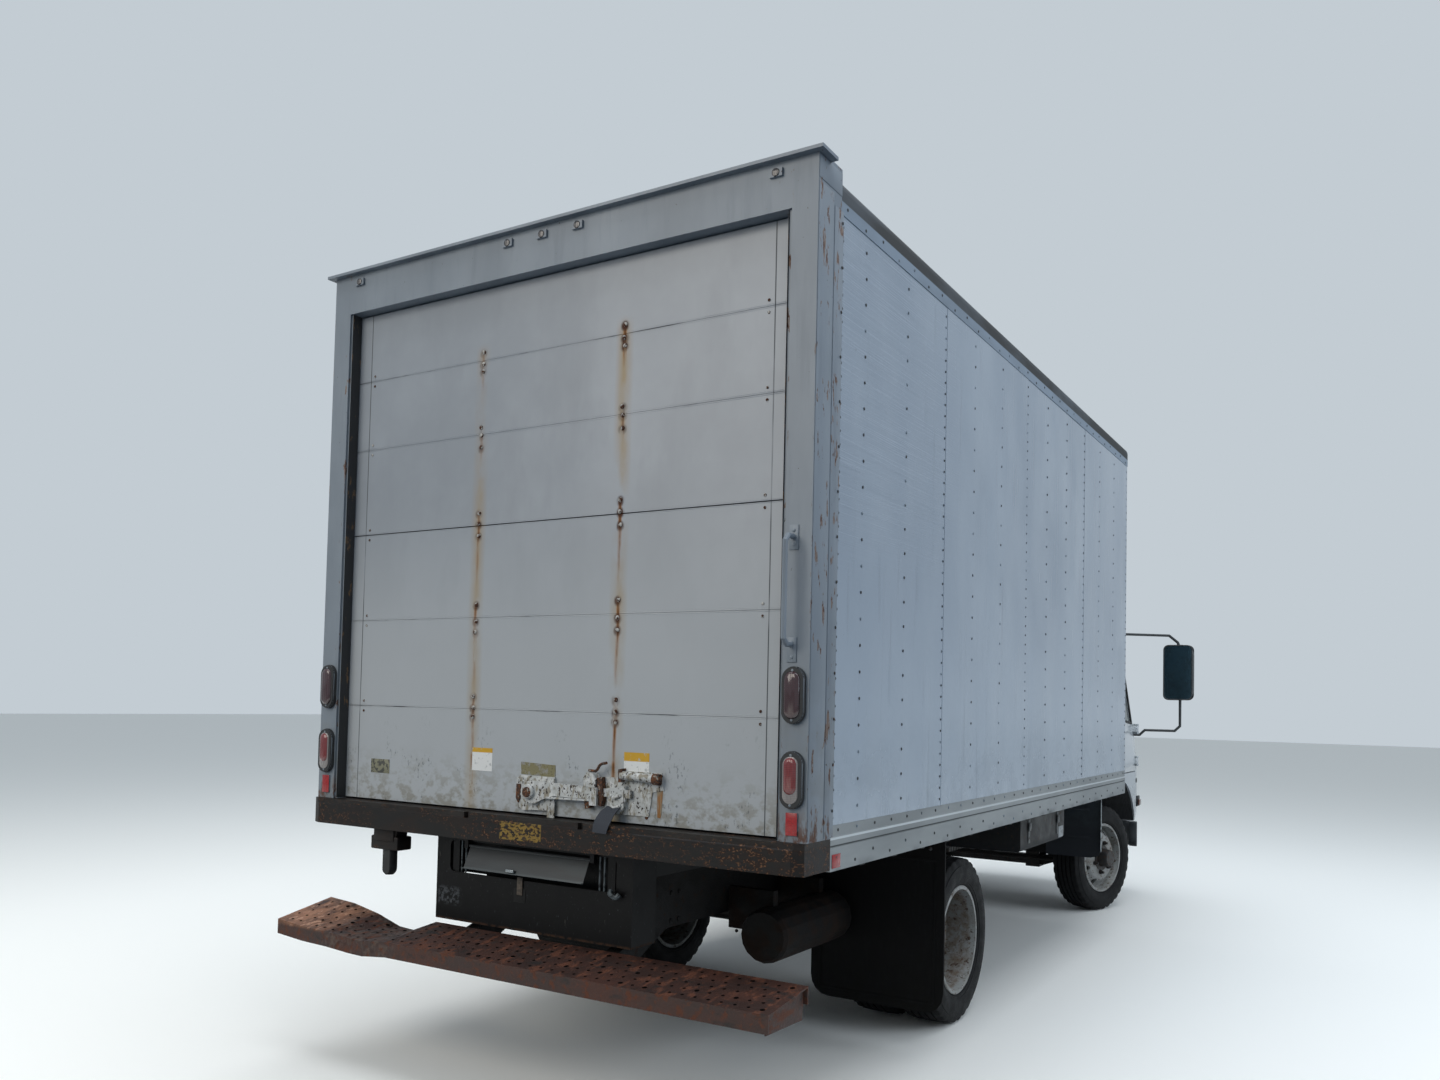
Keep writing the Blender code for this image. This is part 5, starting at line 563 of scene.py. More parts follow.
# Roll-up door
# Six plywood sections faced with baked white enamel. Hinges inside are through-bolted along two
# columns: the bolts' domed heads stand in groups at each joint and weep rust down the face.
DOOR_FACE = 0.055
DOOR_JOINTS = (1.475, 1.850, 2.230, 2.610, 2.920)
OPEN_JOINT = 2.230       # the one joint that gapes
GROOVE_DEEP = 0.0064
BOLT_COLUMNS = ((-0.377, 1.0), (0.350, 0.75))     # place across and how hard each column rusts
BOLT_HEIGHTS = (2.955, 2.905, 2.875, 2.640, 2.607, 2.557, 2.283, 2.238, 2.188, 1.903, 1.835, 1.790,
                1.526, 1.480, 1.443)

door_enamel, tree, shader = painted("baked_white_enamel", "#8d949b", 0.33)
coat(tree, shader, "#989fa6", patches(tree, 0.5, 0.40, 0.70))
coat(tree, shader, "#888f96", patches(tree, 0.25, 0.50, 0.75, (1, 1, 2.5), shift=2.0))
# Lighter from 2.5 m down to 1.5 m: a painted reflection on the door's lower sections
coat(tree, shader, "#b3b8ba", within(tree, along(tree, "Z", 2.5, 1.5), 0.75))
film = within(tree, along(tree, "Z", 1.34, 1.07), patches(tree, 0.035, 0.47, 0.60, (1, 1.4, 1), 5.0))
coat(tree, shader, "#7b7768", within(tree, film, 0.65), 0.6)
scuffs = within(tree, patches(tree, 0.010, 0.57, 0.64, (1, 1.2, 2.4), 3.0),
                patches(tree, 0.16, 0.57, 0.60, shift=5.0))
coat(tree, shader, "#4f5559", within(tree, scuffs, along(tree, "Z", 1.5, 1.2), 0.7), 0.6)
for joint in DOOR_JOINTS:
    crack = between(tree, "Z", joint - 0.0035, joint - 0.0010, joint + 0.0010, joint + 0.0035)
    grain = (0.12, 0.25, 0.55, (1, 5, 1)) if joint == OPEN_JOINT else (0.10, 0.52, 0.66, (1, 4, 1))
    worn = patches(tree, *grain)
    coat(tree, shader, "#3b3f42", within(tree, crack, worn), 0.8)
for y in (-1.03, 1.03):
    seam = between(tree, "Y", y - 0.0035, y - 0.0010, y + 0.0010, y + 0.0035)
    coat(tree, shader, "#44484b", within(tree, seam, patches(tree, 0.10, 0.30, 0.50, (1, 1, 6))), 0.7)
# Rust: a pale wash down each bolt column, a narrow brown run in it and dark rings at the bolts
ragged = patches(tree, 0.030, 0.35, 0.62, (1, 1, 5), 4.0)
for y, strength in BOLT_COLUMNS:
    place = add(tree, "ShaderNodeSeparateXYZ", {0: add(tree, "ShaderNodeTexCoord").outputs["Object"]})
    wander = add(tree, "ShaderNodeMath", {0: patches(tree, 0.30, 0.0, 1.0, (1, 1, 1), 2.0, y), 1: 0.016,
                                          2: place.outputs["Y"]}, operation="MULTIPLY_ADD")
    off = add(tree, "ShaderNodeMath", {0: wander.outputs[0], 1: y + 0.008}, operation="SUBTRACT")
    off = add(tree, "ShaderNodeMath", {0: off.outputs[0]}, operation="ABSOLUTE").outputs[0]
    wash = add(tree, "ShaderNodeMapRange", {0: off, 1: 0.045, 2: 0.004}).outputs[0]
    run = add(tree, "ShaderNodeMapRange", {0: off, 1: 0.012, 2: 0.004}).outputs[0]
    coat(tree, shader, "#957a40", within(tree, wash, along(tree, "Z", 3.0, 2.93),
                                         patches(tree, 0.20, 0.35, 0.60, (1, 1, 2)), 0.75 * strength), 0.5)
    for top, length in ((2.96, 0.10), (2.885, 0.11), (2.62, 0.13), (2.29, 0.36), (1.91, 0.40), (1.53, 0.34),
                        (1.30, 0.22)):
        drip = within(tree, run, along(tree, "Z", top, top - 0.02),
                      along(tree, "Z", top - length, top - 0.3 * length), ragged)
        coat(tree, shader, "#8f5d18", within(tree, drip, 1.0 * strength), 0.7)
        core = add(tree, "ShaderNodeMapRange", {0: off, 1: 0.0055, 2: 0.0020}).outputs[0]
        coat(tree, shader, "#54300f", within(tree, drip, core, 0.8 * strength), 0.8)
    for z in BOLT_HEIGHTS:
        blot = add(tree, "ShaderNodeVectorMath", {0: add(tree, "ShaderNodeTexCoord").outputs["Object"],
                                                  1: (STERN_X + DOOR_FACE, y, z - 0.004)},
                   operation="DISTANCE")
        ring = add(tree, "ShaderNodeMapRange", {0: blot.outputs["Value"], 1: 0.024, 2: 0.013}).outputs[0]
        coat(tree, shader, "#42230f", within(tree, ring, ragged, strength), 0.85)
relief(tree, shader, patches(tree, 0.45, 0.2, 0.8, (1, 1, 1), 1.0), 0.003)
dress("roll_door", door_enamel)
# The sections' rounded edges, which close each joint to a hairline
lips = bmesh.new()
for joint in DOOR_JOINTS:
    gap = 0.0018 if joint == OPEN_JOINT else 0.0005
    block(lips, (DOOR_FACE + 0.0002, -1.111, joint - GROOVE_DEEP),
          (DOOR_FACE + GROOVE_DEEP, 1.111, joint - gap), 0.0004)
    block(lips, (DOOR_FACE + 0.0002, -1.111, joint + gap),
          (DOOR_FACE + GROOVE_DEEP, 1.111, joint + GROOVE_DEEP), 0.0004)
piece("door_section_edges", lips, door_enamel)

bolt_steel, tree, shader = painted("rusting_bolt_head", "#a9a9a4", 0.45, 0.1)
coat(tree, shader, "#3f2210", patches(tree, 0.014, 0.44, 0.52, detail=4.0), 0.85)
heads = bmesh.new()
for y, strength in BOLT_COLUMNS:
    for z in BOLT_HEIGHTS:
        rivet(heads, (DOOR_FACE - 0.0004, y + dice.uniform(-1, 1) * 0.004, z), (-1, 0, 0), 0.0095, 0.0055, 10)
for z in DOOR_JOINTS:
    for y in (-1.005, 1.005):
        for lift in (-0.022, 0.022):
            rivet(heads, (DOOR_FACE - 0.0004, y, z + lift), (-1, 0, 0), 0.006, 0.003)
piece("door_bolt_heads", heads, bolt_steel)

# Two old stickers and a small plate, all worn blank
notice, tree, shader = painted("faded_blank_sticker", "#e2e4e2", 0.5)
coat(tree, shader, "#c79a1c", along(tree, "Z", 1.2985, 1.3005))
coat(tree, shader, "#b5b9b8", patches(tree, 0.02, 0.57, 0.67))
labels = bmesh.new()
for low_y, high_y, low_z, high_z in ((0.235, 0.345, 1.225, 1.318), (-0.540, -0.425, 1.262, 1.332)):
    block(labels, (DOOR_FACE - 0.0007, low_y, low_z), (DOOR_FACE - 0.0002, high_y, high_z))
piece("blank_door_stickers", labels, notice)
plate_paint, tree, shader = painted("worn_black_plate", "#3a3b35", 0.5)
coat(tree, shader, "#7d7c66", patches(tree, 0.02, 0.45, 0.52))
plates = bmesh.new()
block(plates, (DOOR_FACE - 0.0009, 0.830, 1.185), (DOOR_FACE - 0.0002, 0.945, 1.245), 0.0002)
piece("bare_plate", plates, plate_paint)


# Door latch
# Pressed steel, painted white with the door many times: a base plate, an arm that swings up on its hub
# and drops into a keeper, a lock hasp with a spring clip, and a second hinge bracket that bleeds rust.
latch_paint, tree, shader = painted("thick_white_brush_paint", "#b9bcba", 0.45)
coat(tree, shader, "#cfd1cf", patches(tree, 0.04, 0.50, 0.62), 0.4)
coat(tree, shader, "#7f7660", within(tree, patches(tree, 0.022, 0.50, 0.60, (1, 1, 2), 5.0), 0.8), 0.7)
flaked = patches(tree, 0.011, 0.585, 0.615, (1, 1, 1.3), 6.0, 3.0)
coat(tree, shader, "#2a1d18", flaked, 0.9)
relief(tree, shader, flaked, -0.0005)
latch_rust, tree, shader = painted("rusted_latch_steel", "#33231b", 0.85)
coat(tree, shader, "#6d4325", patches(tree, 0.010, 0.48, 0.60, detail=6.0), 0.9)
coat(tree, shader, "#8d8a80", patches(tree, 0.014, 0.60, 0.63, shift=4.0), 0.5)
tag_foil, tree, shader = painted("faded_yellow_tag", "#77714f", 0.45)
coat(tree, shader, "#8a8a86", patches(tree, 0.03, 0.50, 0.62), 0.4)
coat(tree, shader, "#46442f", patches(tree, 0.006, 0.60, 0.64))
nylon, tree, shader = painted("woven_nylon_strap", "#23272f", 0.75)
ribs = add(tree, "ShaderNodeTexWave", {"Vector": add(tree, "ShaderNodeTexCoord").outputs["Object"],
                                       "Scale": 130.0}, bands_direction="DIAGONAL")
coat(tree, shader, "#3a4049", within(tree, ribs.outputs["Fac"], 0.5))
relief(tree, shader, ribs.outputs["Fac"], 0.0004)
dress("door_latch", latch_paint)
SKIN = DOOR_FACE - 0.0004     # the door's skin, where the fittings start


def plate(work, loop, x_low, x_high):
    """A flat plate with an outline in Y and Z between two faces."""
    rings = [[work.verts.new((x, y, z)) for y, z in loop] for x in (x_high, x_low)]
    skin(work, rings)
    bmesh.ops.recalc_face_normals(work, faces=work.faces)


white = bmesh.new()
rust = bmesh.new()
tag = bmesh.new()
plate(tag, [(-0.098, 1.218), (0.078, 1.224), (0.080, 1.272), (-0.096, 1.266)], SKIN - 0.0012, SKIN)
piece("old_tag_plate", tag, tag_foil)
plate(white, [(-0.108, 1.092), (0.058, 1.084), (0.092, 1.130), (0.088, 1.212), (-0.100, 1.214)],
      SKIN - 0.0130, SKIN - 0.0085)
for y, z in ((-0.086, 1.105), (-0.080, 1.200), (0.074, 1.200), (0.070, 1.145)):
    rivet(white, (SKIN - 0.0125, y, z), (-1, 0, 0), 0.008, 0.005)
# Arm: tapered from the hub, with a folded lower edge
plate(white, [(0.030, 1.116), (0.048, 1.138), (0.052, 1.166), (0.036, 1.194), (0.004, 1.204),
              (-0.050, 1.202), (-0.300, 1.196), (-0.300, 1.150), (-0.110, 1.150), (-0.060, 1.134),
              (-0.016, 1.114)], SKIN - 0.0300, SKIN - 0.0225)
plate(white, [(-0.070, 1.146), (-0.296, 1.150), (-0.296, 1.143), (-0.074, 1.139)], SKIN - 0.0380,
      SKIN - 0.0235)
dome(white, [(SKIN - 0.020, capsule(0.010, 1.160, 0.060, 0.0602)),
             (SKIN - 0.040, capsule(0.010, 1.160, 0.058, 0.0582)),
             (SKIN - 0.044, capsule(0.010, 1.160, 0.050, 0.0502))])
dome(rust, [(SKIN - 0.040, capsule(0.010, 1.158, 0.042, 0.0422)),
            (SKIN - 0.0465, capsule(0.010, 1.158, 0.040, 0.0402)),
            (SKIN - 0.0470, capsule(0.010, 1.158, 0.034, 0.0342))])
plate(rust, [(0.086, 1.186), (0.066, 1.186), (0.066, 1.130), (0.076, 1.112), (0.088, 1.130)], SKIN - 0.018,
      SKIN - 0.009)
plate(white, [(-0.076, 1.128), (-0.108, 1.120), (-0.106, 1.040), (-0.088, 1.030), (-0.070, 1.044)],
      SKIN - 0.0150, SKIN - 0.0095)
# Keeper with the arm's catch, and the bent spring clip over it
plate(white, [(-0.262, 1.196), (-0.262, 1.232), (-0.278, 1.252), (-0.306, 1.248), (-0.322, 1.228),
              (-0.318, 1.196)], SKIN - 0.034, SKIN - 0.004)
plate(white, [(-0.292, 1.196), (-0.330, 1.194), (-0.330, 1.128), (-0.298, 1.128)], SKIN - 0.042, SKIN - 0.023)
for y, z in ((-0.284, 1.236), (-0.304, 1.212)):
    rivet(white, (SKIN - 0.034, y, z), (-1, 0, 0), 0.007, 0.004)
plate(rust, [(-0.322, 1.232), (-0.346, 1.236), (-0.352, 1.150), (-0.344, 1.126), (-0.330, 1.130)],
      SKIN - 0.030, SKIN - 0.003)
rod(rust, rounded([(SKIN - 0.030, -0.285, 1.258), (SKIN - 0.032, -0.322, 1.256),
                   (SKIN - 0.034, -0.340, 1.284), (SKIN - 0.036, -0.372, 1.290)], 0.012), 0.0055, 8)
plate(rust, [(-0.262, 1.150), (-0.290, 1.150), (-0.290, 1.118), (-0.270, 1.112)], SKIN - 0.030, SKIN - 0.004)
# Second bracket: a barrel on two leaves with a rusted pin head, and the hasp that the strap runs through
plate(white, [(-0.425, 1.200), (-0.425, 1.262), (-0.600, 1.262), (-0.610, 1.200), (-0.560, 1.190),
              (-0.545, 1.100), (-0.440, 1.100), (-0.436, 1.190)], SKIN - 0.004, SKIN)
rod(white, [(SKIN - 0.018, -0.428, 1.246), (SKIN - 0.018, -0.575, 1.240)], 0.0165, 12)
rod(rust, [(SKIN - 0.018, -0.575, 1.240), (SKIN - 0.018, -0.602, 1.239)], 0.021, 12)
rivet(rust, (SKIN - 0.030, -0.592, 1.240), (-1, 0, 0), 0.019, 0.009, 12)
plate(rust, [(-0.421, 1.268), (-0.436, 1.272), (-0.438, 1.224), (-0.422, 1.220)], SKIN - 0.030, SKIN - 0.002)
plate(white, [(-0.372, 1.196), (-0.372, 1.122), (-0.392, 1.104), (-0.430, 1.104), (-0.446, 1.130),
              (-0.444, 1.190), (-0.425, 1.202)], SKIN - 0.026, SKIN - 0.004)
for z in (1.135, 1.172):
    rod(white, [(SKIN - 0.026, -0.383, z), (SKIN - 0.034, -0.408, z - 0.010), (SKIN - 0.026, -0.434, z)],
        0.006, 8)
piece("latch_painted_parts", white, latch_paint)
piece("latch_bare_parts", rust, latch_rust)

# The streak of rust water under the second bracket, and small bolts along the door's lower edge
streak_paint, tree, shader = painted("rust_water_stain", "#8a5a22", 0.6)
coat(tree, shader, "#8f8a78", patches(tree, 0.012, 0.40, 0.62, (1, 1, 6)))
streak = bmesh.new()
plate(streak, [(-0.577, 1.216), (-0.605, 1.216), (-0.600, 1.120), (-0.596, 1.098), (-0.582, 1.100)],
      SKIN - 0.0008, SKIN - 0.0001)
piece("rust_streak", streak, streak_paint)
dots = bmesh.new()
for y, z in ((0.070, 1.098), (-0.534, 1.096), (-0.075, 1.103)):
    rivet(dots, (SKIN - 0.0001, y, z), (-1, 0, 0), 0.0075, 0.003)
piece("door_edge_bolts", dots, black_screw)

# Pull strap: a flat webbing loop that hangs from the hasp over the sill
strap = bmesh.new()
route = rounded([(SKIN - 0.030, -0.405, 1.128), (SKIN - 0.058, -0.400, 1.112),
                 (SKIN - 0.078, -0.396, 1.086), (-0.036, -0.392, 1.062), (-0.040, -0.390, 1.036)], 0.02, 4)
rings = []
for index, point in enumerate(route):
    ahead = (route[min(index + 1, len(route) - 1)] - route[max(index - 1, 0)]).normalized()
    across = Vector((0, 1, 0.05)).normalized()
    out = ahead.cross(across).normalized()
    half = 0.030 + 0.006 * math.sin(3.0 * index / len(route))
    rings.append([strap.verts.new(point + across * a + out * b) for a, b in (
        (-half, -0.0014), (half, -0.0014), (half, 0.0014), (-half, 0.0014))])
skin(strap, rings)
bmesh.ops.recalc_face_normals(strap, faces=strap.faces)
piece("pull_strap", strap, nylon)


# Rear sill
# A folded steel bumper bar under the door, once black over yellow. The black has peeled in scales,
# rust has come up in between, and a square patch of the yellow still shows near the middle.
sill_paint, tree, shader = painted("peeled_black_over_rust", "#0a0808", 0.6, specular_ior_level=0.2,
                                   coat_weight=0.1)
coat(tree, shader, "#1c1512", patches(tree, 0.09, 0.45, 0.60, (1, 2, 1)), 0.7)
scales = patches(tree, 0.016, 0.515, 0.545, (1, 1.8, 1), 8.0, 3.0)
worn = patches(tree, 0.22, 0.42, 0.60, (1, 2.2, 1), 3.0, 7.0)
coat(tree, shader, "#2a1c15", within(tree, scales, worn, 0.85), 0.85)
coat(tree, shader, "#7d5a41",
     within(tree, patches(tree, 0.006, 0.54, 0.58, (1, 1.5, 1), 8.0), scales, worn), 0.9)
coat(tree, shader, "#23201d",
     within(tree, along(tree, "Z", 1.040, 1.048), patches(tree, 0.05, 0.40, 0.60, (1, 4, 1))), 0.6)
square = within(tree, between(tree, "Y", -0.105, -0.100, 0.102, 0.110),
                between(tree, "Z", 0.972, 0.976, 1.040, 1.044))
yellow = within(tree, square, patches(tree, 0.013, 0.475, 0.50, (1, 1.6, 1), 8.0, 5.0))
coat(tree, shader, "#8a7034", yellow, 0.6)
coat(tree, shader, "#3d342c",
     within(tree, square, patches(tree, 0.010, 0.59, 0.61, (1, 2.5, 1), 6.0, 11.0)), 0.8)
relief(tree, shader, within(tree, scales, worn), -0.0007)
relief(tree, shader, patches(tree, 0.25, 0.2, 0.8, (1, 1.5, 1), 1.0), 0.002)
dress("rear_sill", sill_paint)


# Step bumper
# A channel of perforated tread plate, hit and bent at its left end, rusted all over and
# polished by boots; the raised left end is bright orange brown.
step_rust, tree, shader = painted("rusted_tread_plate", "#2a140b", 0.62)
coat(tree, shader, "#3d1e11", patches(tree, 0.11, 0.42, 0.62, (1, 2, 1)), 0.66)
coat(tree, shader, "#5b3019", within(tree, patches(tree, 0.030, 0.52, 0.62, (2.5, 1, 1), 7.0, 2.0), 0.8),
     0.85)
coat(tree, shader, "#160c08", patches(tree, 0.05, 0.58, 0.68, (1, 2.2, 1), 5.0, 8.0), 0.7)
bright = within(tree, along(tree, "Y", 0.86, 0.98), along(tree, "Z", 0.530, 0.550))
coat(tree, shader, "#94694f", within(tree, bright, patches(tree, 0.05, 0.35, 0.60, (2, 1, 1), 6.0)), 0.7)
coat(tree, shader, "#b48a70", within(tree, bright, patches(tree, 0.018, 0.55, 0.65, (2.5, 1, 1), 6.0, 4.0)),
     0.65)
# Where it was hit, the plate is creased and rubbed bare along the creases
crease = within(tree, between(tree, "Y", 0.42, 0.60, 0.86, 1.00),
                patches(tree, 0.09, 0.44, 0.56, (1, 1, 1), 2.0, 3.0))
coat(tree, shader, "#54453b", within(tree, crease, patches(tree, 0.02, 0.45, 0.60), 0.8), 0.65)
relief(tree, shader, crease, 0.006)
relief(tree, shader, patches(tree, 0.012, 0.3, 0.7, detail=6.0), 0.0010)
dress("step_bumper", step_rust)

# Perforations: rows of punched holes, drawn as flat near-black discs on the plate: painted shade standing for
# the holes
STEP_REAR_X, STEP_DEPTH, STEP_HALF = -0.200, 0.275, 1.200
STEP_BENDS = ((-1.0, 0.545, 0.582), (0.45, 0.545, 0.582), (0.56, 0.531, 0.532), (0.63, 0.533, 0.537),
              (0.74, 0.541, 0.574), (0.87, 0.545, 0.602), (1.0, 0.557, 0.612))


def step_height(y, depth_share):
    """Height of the step's top at a place across it, between its rear and front edges."""
    share = max(-1.0, min(1.0, y / STEP_HALF))
    for (first, rear, front), (second, next_rear, next_front) in zip(STEP_BENDS, STEP_BENDS[1:]):
        if share <= second:
            part = (share - first) / (second - first)
            rear, front = rear + (next_rear - rear) * part, front + (next_front - front) * part
            break
    return rear + (front - rear) * depth_share


hole_shade_paint, tree, shader = painted("painted_hole_shade", "#020101", 0.95, specular_ior_level=0.05)
holes = bmesh.new()
for row in range(5):
    share = 0.12 + row * 0.185
    for step in range(46):
        y = -1.16 + step * 0.0512 + (0.0256 if row % 2 else 0)
        if y < 1.18 and dice.random() > 0.06:
            x = STEP_REAR_X + STEP_DEPTH * share
            tilt_x = (step_height(y, 1) - step_height(y, 0)) / STEP_DEPTH
            tilt_y = (step_height(y + 0.01, share) - step_height(y - 0.01, share)) / 0.02
            radius = 0.0062 if dice.random() > 0.12 else 0.0095
            ring = []
            for corner_step in range(8):
                a = math.tau * corner_step / 8
                dx, dy = radius * math.cos(a), radius * math.sin(a)
                ring.append(holes.verts.new((x + dx, y + dy,
                                             step_height(y, share) + 0.0006 + tilt_x * dx + tilt_y * dy)))
            holes.faces.new(ring)
piece("step_hole_shade_discs", holes, hole_shade_paint)
# The right end is closed by a torn web
torn = [(-0.188, 0.476), (0.060, 0.470), (0.066, 0.520), (0.058, 0.572), (-0.030, 0.560), (-0.120, 0.552),
        (-0.186, 0.540)]
web = bmesh.new()
skin(web, [[web.verts.new((x, y, z)) for x, z in torn] for y in (-1.186, -1.180)])
bmesh.ops.recalc_face_normals(web, faces=web.faces)
piece("step_end_web", web, step_rust)


# Ramp housing under the sill
# Black painted plate with a letterbox slot for a slide-out ramp: chipped, scraped, dusty at the top.
# A grey folded flap hangs in the slot, and a small hasp with a worn strap hooks over its lip.
housing_paint, tree, shader = painted("chipped_black_steel", "#020203", 0.45, specular_ior_level=0.15)
coat(tree, shader, "#050507", patches(tree, 0.12, 0.45, 0.65), 0.5)
coat(tree, shader, "#33363a", within(tree, patches(tree, 0.008, 0.665, 0.68, (1, 1, 2.4), 4.0), 0.9), 0.6)
coat(tree, shader, "#4d4b47", within(tree, patches(tree, 0.020, 0.70, 0.715, (1, 0.5, 3.5), 4.0, 6.0), 0.8),
     0.6)
scrape = within(tree, between(tree, "Y", 0.40, 0.44, 0.53, 0.545),
                between(tree, "Z", 0.655, 0.675, 0.72, 0.745),
                patches(tree, 0.015, 0.46, 0.60, (1, 1, 1), 6.0, 9.0))
coat(tree, shader, "#5a5e62", within(tree, scrape, 0.7), 0.6)
coat(tree, shader, "#3a2a20", within(tree, along(tree, "Z", 0.612, 0.604), patches(tree, 0.02, 0.4, 0.55)),
     0.8)
relief(tree, shader, patches(tree, 0.10, 0.2, 0.8, detail=2.0), 0.0015)
dress("ramp_housing", housing_paint)
flap_grey, tree, shader = painted("weathered_grey_flap", "#22272a", 0.45)
coat(tree, shader, "#30373a", patches(tree, 0.05, 0.45, 0.65, (1, 6, 1)), 0.5)
coat(tree, shader, "#3f484b", along(tree, "Z", 0.838, 0.832), 0.4)
dress("ramp_flap", flap_grey)

inner = bmesh.new()
block(inner, (0.0865, -0.375, 0.795), (0.150, -0.340, 0.940))
block(inner, (0.0865, 0.430, 0.795), (0.150, 0.465, 0.940))
block(inner, (0.150, -0.380, 0.790), (0.156, 0.470, 0.945))
piece("ramp_runners", inner, housing_paint)
bars = bmesh.new()
for y in (0.395, 0.418):
    rod(bars, [(0.090, y, 0.800), (0.090, y, 0.928)], 0.004, 8)
for y in (-0.300, -0.322):
    rod(bars, [(0.090, y, 0.800), (0.090, y, 0.928)], 0.005, 8)
rod(bars, rounded([(0.066, -0.372, 0.812), (0.058, -0.372, 0.800), (0.058, -0.400, 0.786),
                   (0.066, -0.412, 0.800)], 0.01), 0.011, 8)
bar_steel, tree, shader = painted("grey_galvanised_bar", "#4b5256", 0.5, 0.6)
coat(tree, shader, "#24282a", patches(tree, 0.02, 0.45, 0.6), 0.7)
piece("slot_guide_bars", bars, bar_steel)

hasp = bmesh.new()
block(hasp, (0.022, 0.078, 0.836), (0.032, 0.118, 0.848), 0.002)
block(hasp, (0.030, 0.085, 0.838), (0.060, 0.110, 0.844), 0.002)
hasp_steel, tree, shader = painted("bright_hasp_steel", "#8b9194", 0.3, 0.7)
piece("flap_hasp", hasp, hasp_steel, body="ramp_flap")
tongue = bmesh.new()
block(tongue, (0.0742, 0.074, 0.742), (0.0782, 0.102, 0.812), 0.001)
tongue_web, tree, shader = painted("worn_tan_webbing", "#5b5248", 0.7)
coat(tree, shader, "#403a34", patches(tree, 0.006, 0.4, 0.6, (1, 4, 1)))
piece("flap_tongue", tongue, tongue_web)
dark_hole, tree, shader = painted("latch_hole_shadow", "#030405", 0.9)
recess = bmesh.new()
block(recess, (0.0786, 0.060, 0.712), (0.0797, 0.122, 0.768), 0.0004)
piece("latch_hole", recess, dark_hole)

# The hanging bracket: rubber block and loop at the left
bracket = bmesh.new()
block(bracket, (-0.006, 0.700, 0.868), (0.075, 0.862, 0.925), 0.006)
block(bracket, (-0.010, 0.722, 0.905), (0.070, 0.842, 0.955), 0.004)
piece("hanging_bracket_block", bracket, sill_paint)
stop = bmesh.new()
dome(stop, [(0.052, capsule(0.780, 0.830, 0.042, 0.130)), (0.046, capsule(0.780, 0.830, 0.050, 0.140)),
            (0.014, capsule(0.780, 0.830, 0.050, 0.140)), (0.008, capsule(0.780, 0.830, 0.042, 0.130))])
piece("rubber_bump_stop", stop, lamp_rubber)


# Tyres
# Six 19.5-inch radial truck tyres, worn and dusty. Four straight grooves run round the tread, its
# shoulders are cut into blocks, and moulded rings stand on the walls where they meet the rim.
AXLE_X, AXLE_Z = 1.985, 0.3966
OUTER_WHEEL_Y, INNER_WHEEL_Y, STEER_WHEEL_Y = 0.955, 0.693, 0.830
FRONT_X, KINGPIN_Y = 5.660, 0.690
STEER = Matrix.Rotation(math.radians(-17.0), 4, "Z")     # the front wheels stand turned to the right


def turned(work, section, sides=96, cut=None):
    """Turns a section of (radius, place along Y) round the Y axis; a cut moves each point by its angle."""
    rings = []
    for step in range(sides):
        ring = []
        for index, (radius, place) in enumerate(section):
            if cut:
                radius, place = cut(radius, place, step)
            a = math.tau * (step + 0.5) / sides
            ring.append(work.verts.new((radius * math.sin(a), place, radius * math.cos(a))))
        rings.append(ring)
    for lower, upper in zip(rings, rings[1:] + rings[:1]):
        for index in range(len(section)):
            if section[index - 1][0] or section[index][0]:
                work.faces.new((lower[index - 1], lower[index], upper[index], upper[index - 1]))
    bmesh.ops.remove_doubles(work, verts=work.verts, dist=1e-6)
    bmesh.ops.recalc_face_normals(work, faces=work.faces)


def stand(work, place, turn=None):
    """Moves a piece turned round the Y axis to its wheel's place, mirrored on the right side."""
    side = 1 if place[1] > 0 else -1
    bmesh.ops.scale(work, vec=(1, side, 1), verts=work.verts)
    if side < 0:
        bmesh.ops.reverse_faces(work, faces=work.faces)
    if turn:
        pivot = Matrix.Translation((place[0], side * KINGPIN_Y, 0))
        reach = Matrix.Translation((0, place[1] - side * KINGPIN_Y, place[2]))
        bmesh.ops.transform(work, matrix=pivot @ turn @ reach, verts=work.verts)
    else:
        bmesh.ops.translate(work, vec=place, verts=work.verts)


rubber, tree, shader = painted("dusty_tyre_rubber", "#08090b", 0.66, specular_ior_level=0.25)
coat(tree, shader, "#121314", patches(tree, 0.06, 0.42, 0.68), 0.85)
coat(tree, shader, "#1f1d1b", within(tree, patches(tree, 0.020, 0.52, 0.66, detail=6.0, shift=5.0), 0.7), 0.9)
relief(tree, shader, patches(tree, 0.004, 0.3, 0.7), 0.0004)
TREAD_OUT, GROOVE = 0.3962, 0.009
half_tyre = [(0.2485, 0.0800), (0.2560, 0.0880), (0.2640, 0.0905), (0.2700, 0.0985), (0.2790, 0.1010),
             (0.2810, 0.1045), (0.2850, 0.1045), (0.2870, 0.1050), (0.3050, 0.1105), (0.3230, 0.1118),
             (0.3400, 0.1105), (0.3560, 0.1065), (0.3590, 0.1065), (0.3600, 0.1030), (0.3700, 0.1000),
             (0.3800, 0.0972), (0.3885, 0.0940), (0.3925, 0.0900), (0.3935, 0.0720), (0.3950, 0.0580),
             (0.3950 - GROOVE, 0.0570), (0.3952 - GROOVE, 0.0490), (0.3952, 0.0480), (0.3960, 0.0220),
             (0.3960 - GROOVE, 0.0210), (0.3960 - GROOVE, 0.0130), (TREAD_OUT, 0.0120)]
tyre_section = half_tyre + [(radius, -place) for radius, place in reversed(half_tyre)]


def lugs(radius, place, step):
    """Cuts the shoulders into blocks: every third step is a slot."""
    if step % 3 == 0 and 0.059 < abs(place) < 0.0975 and radius > 0.375:
        radius -= 0.0075
        place *= 0.985
    return radius, place


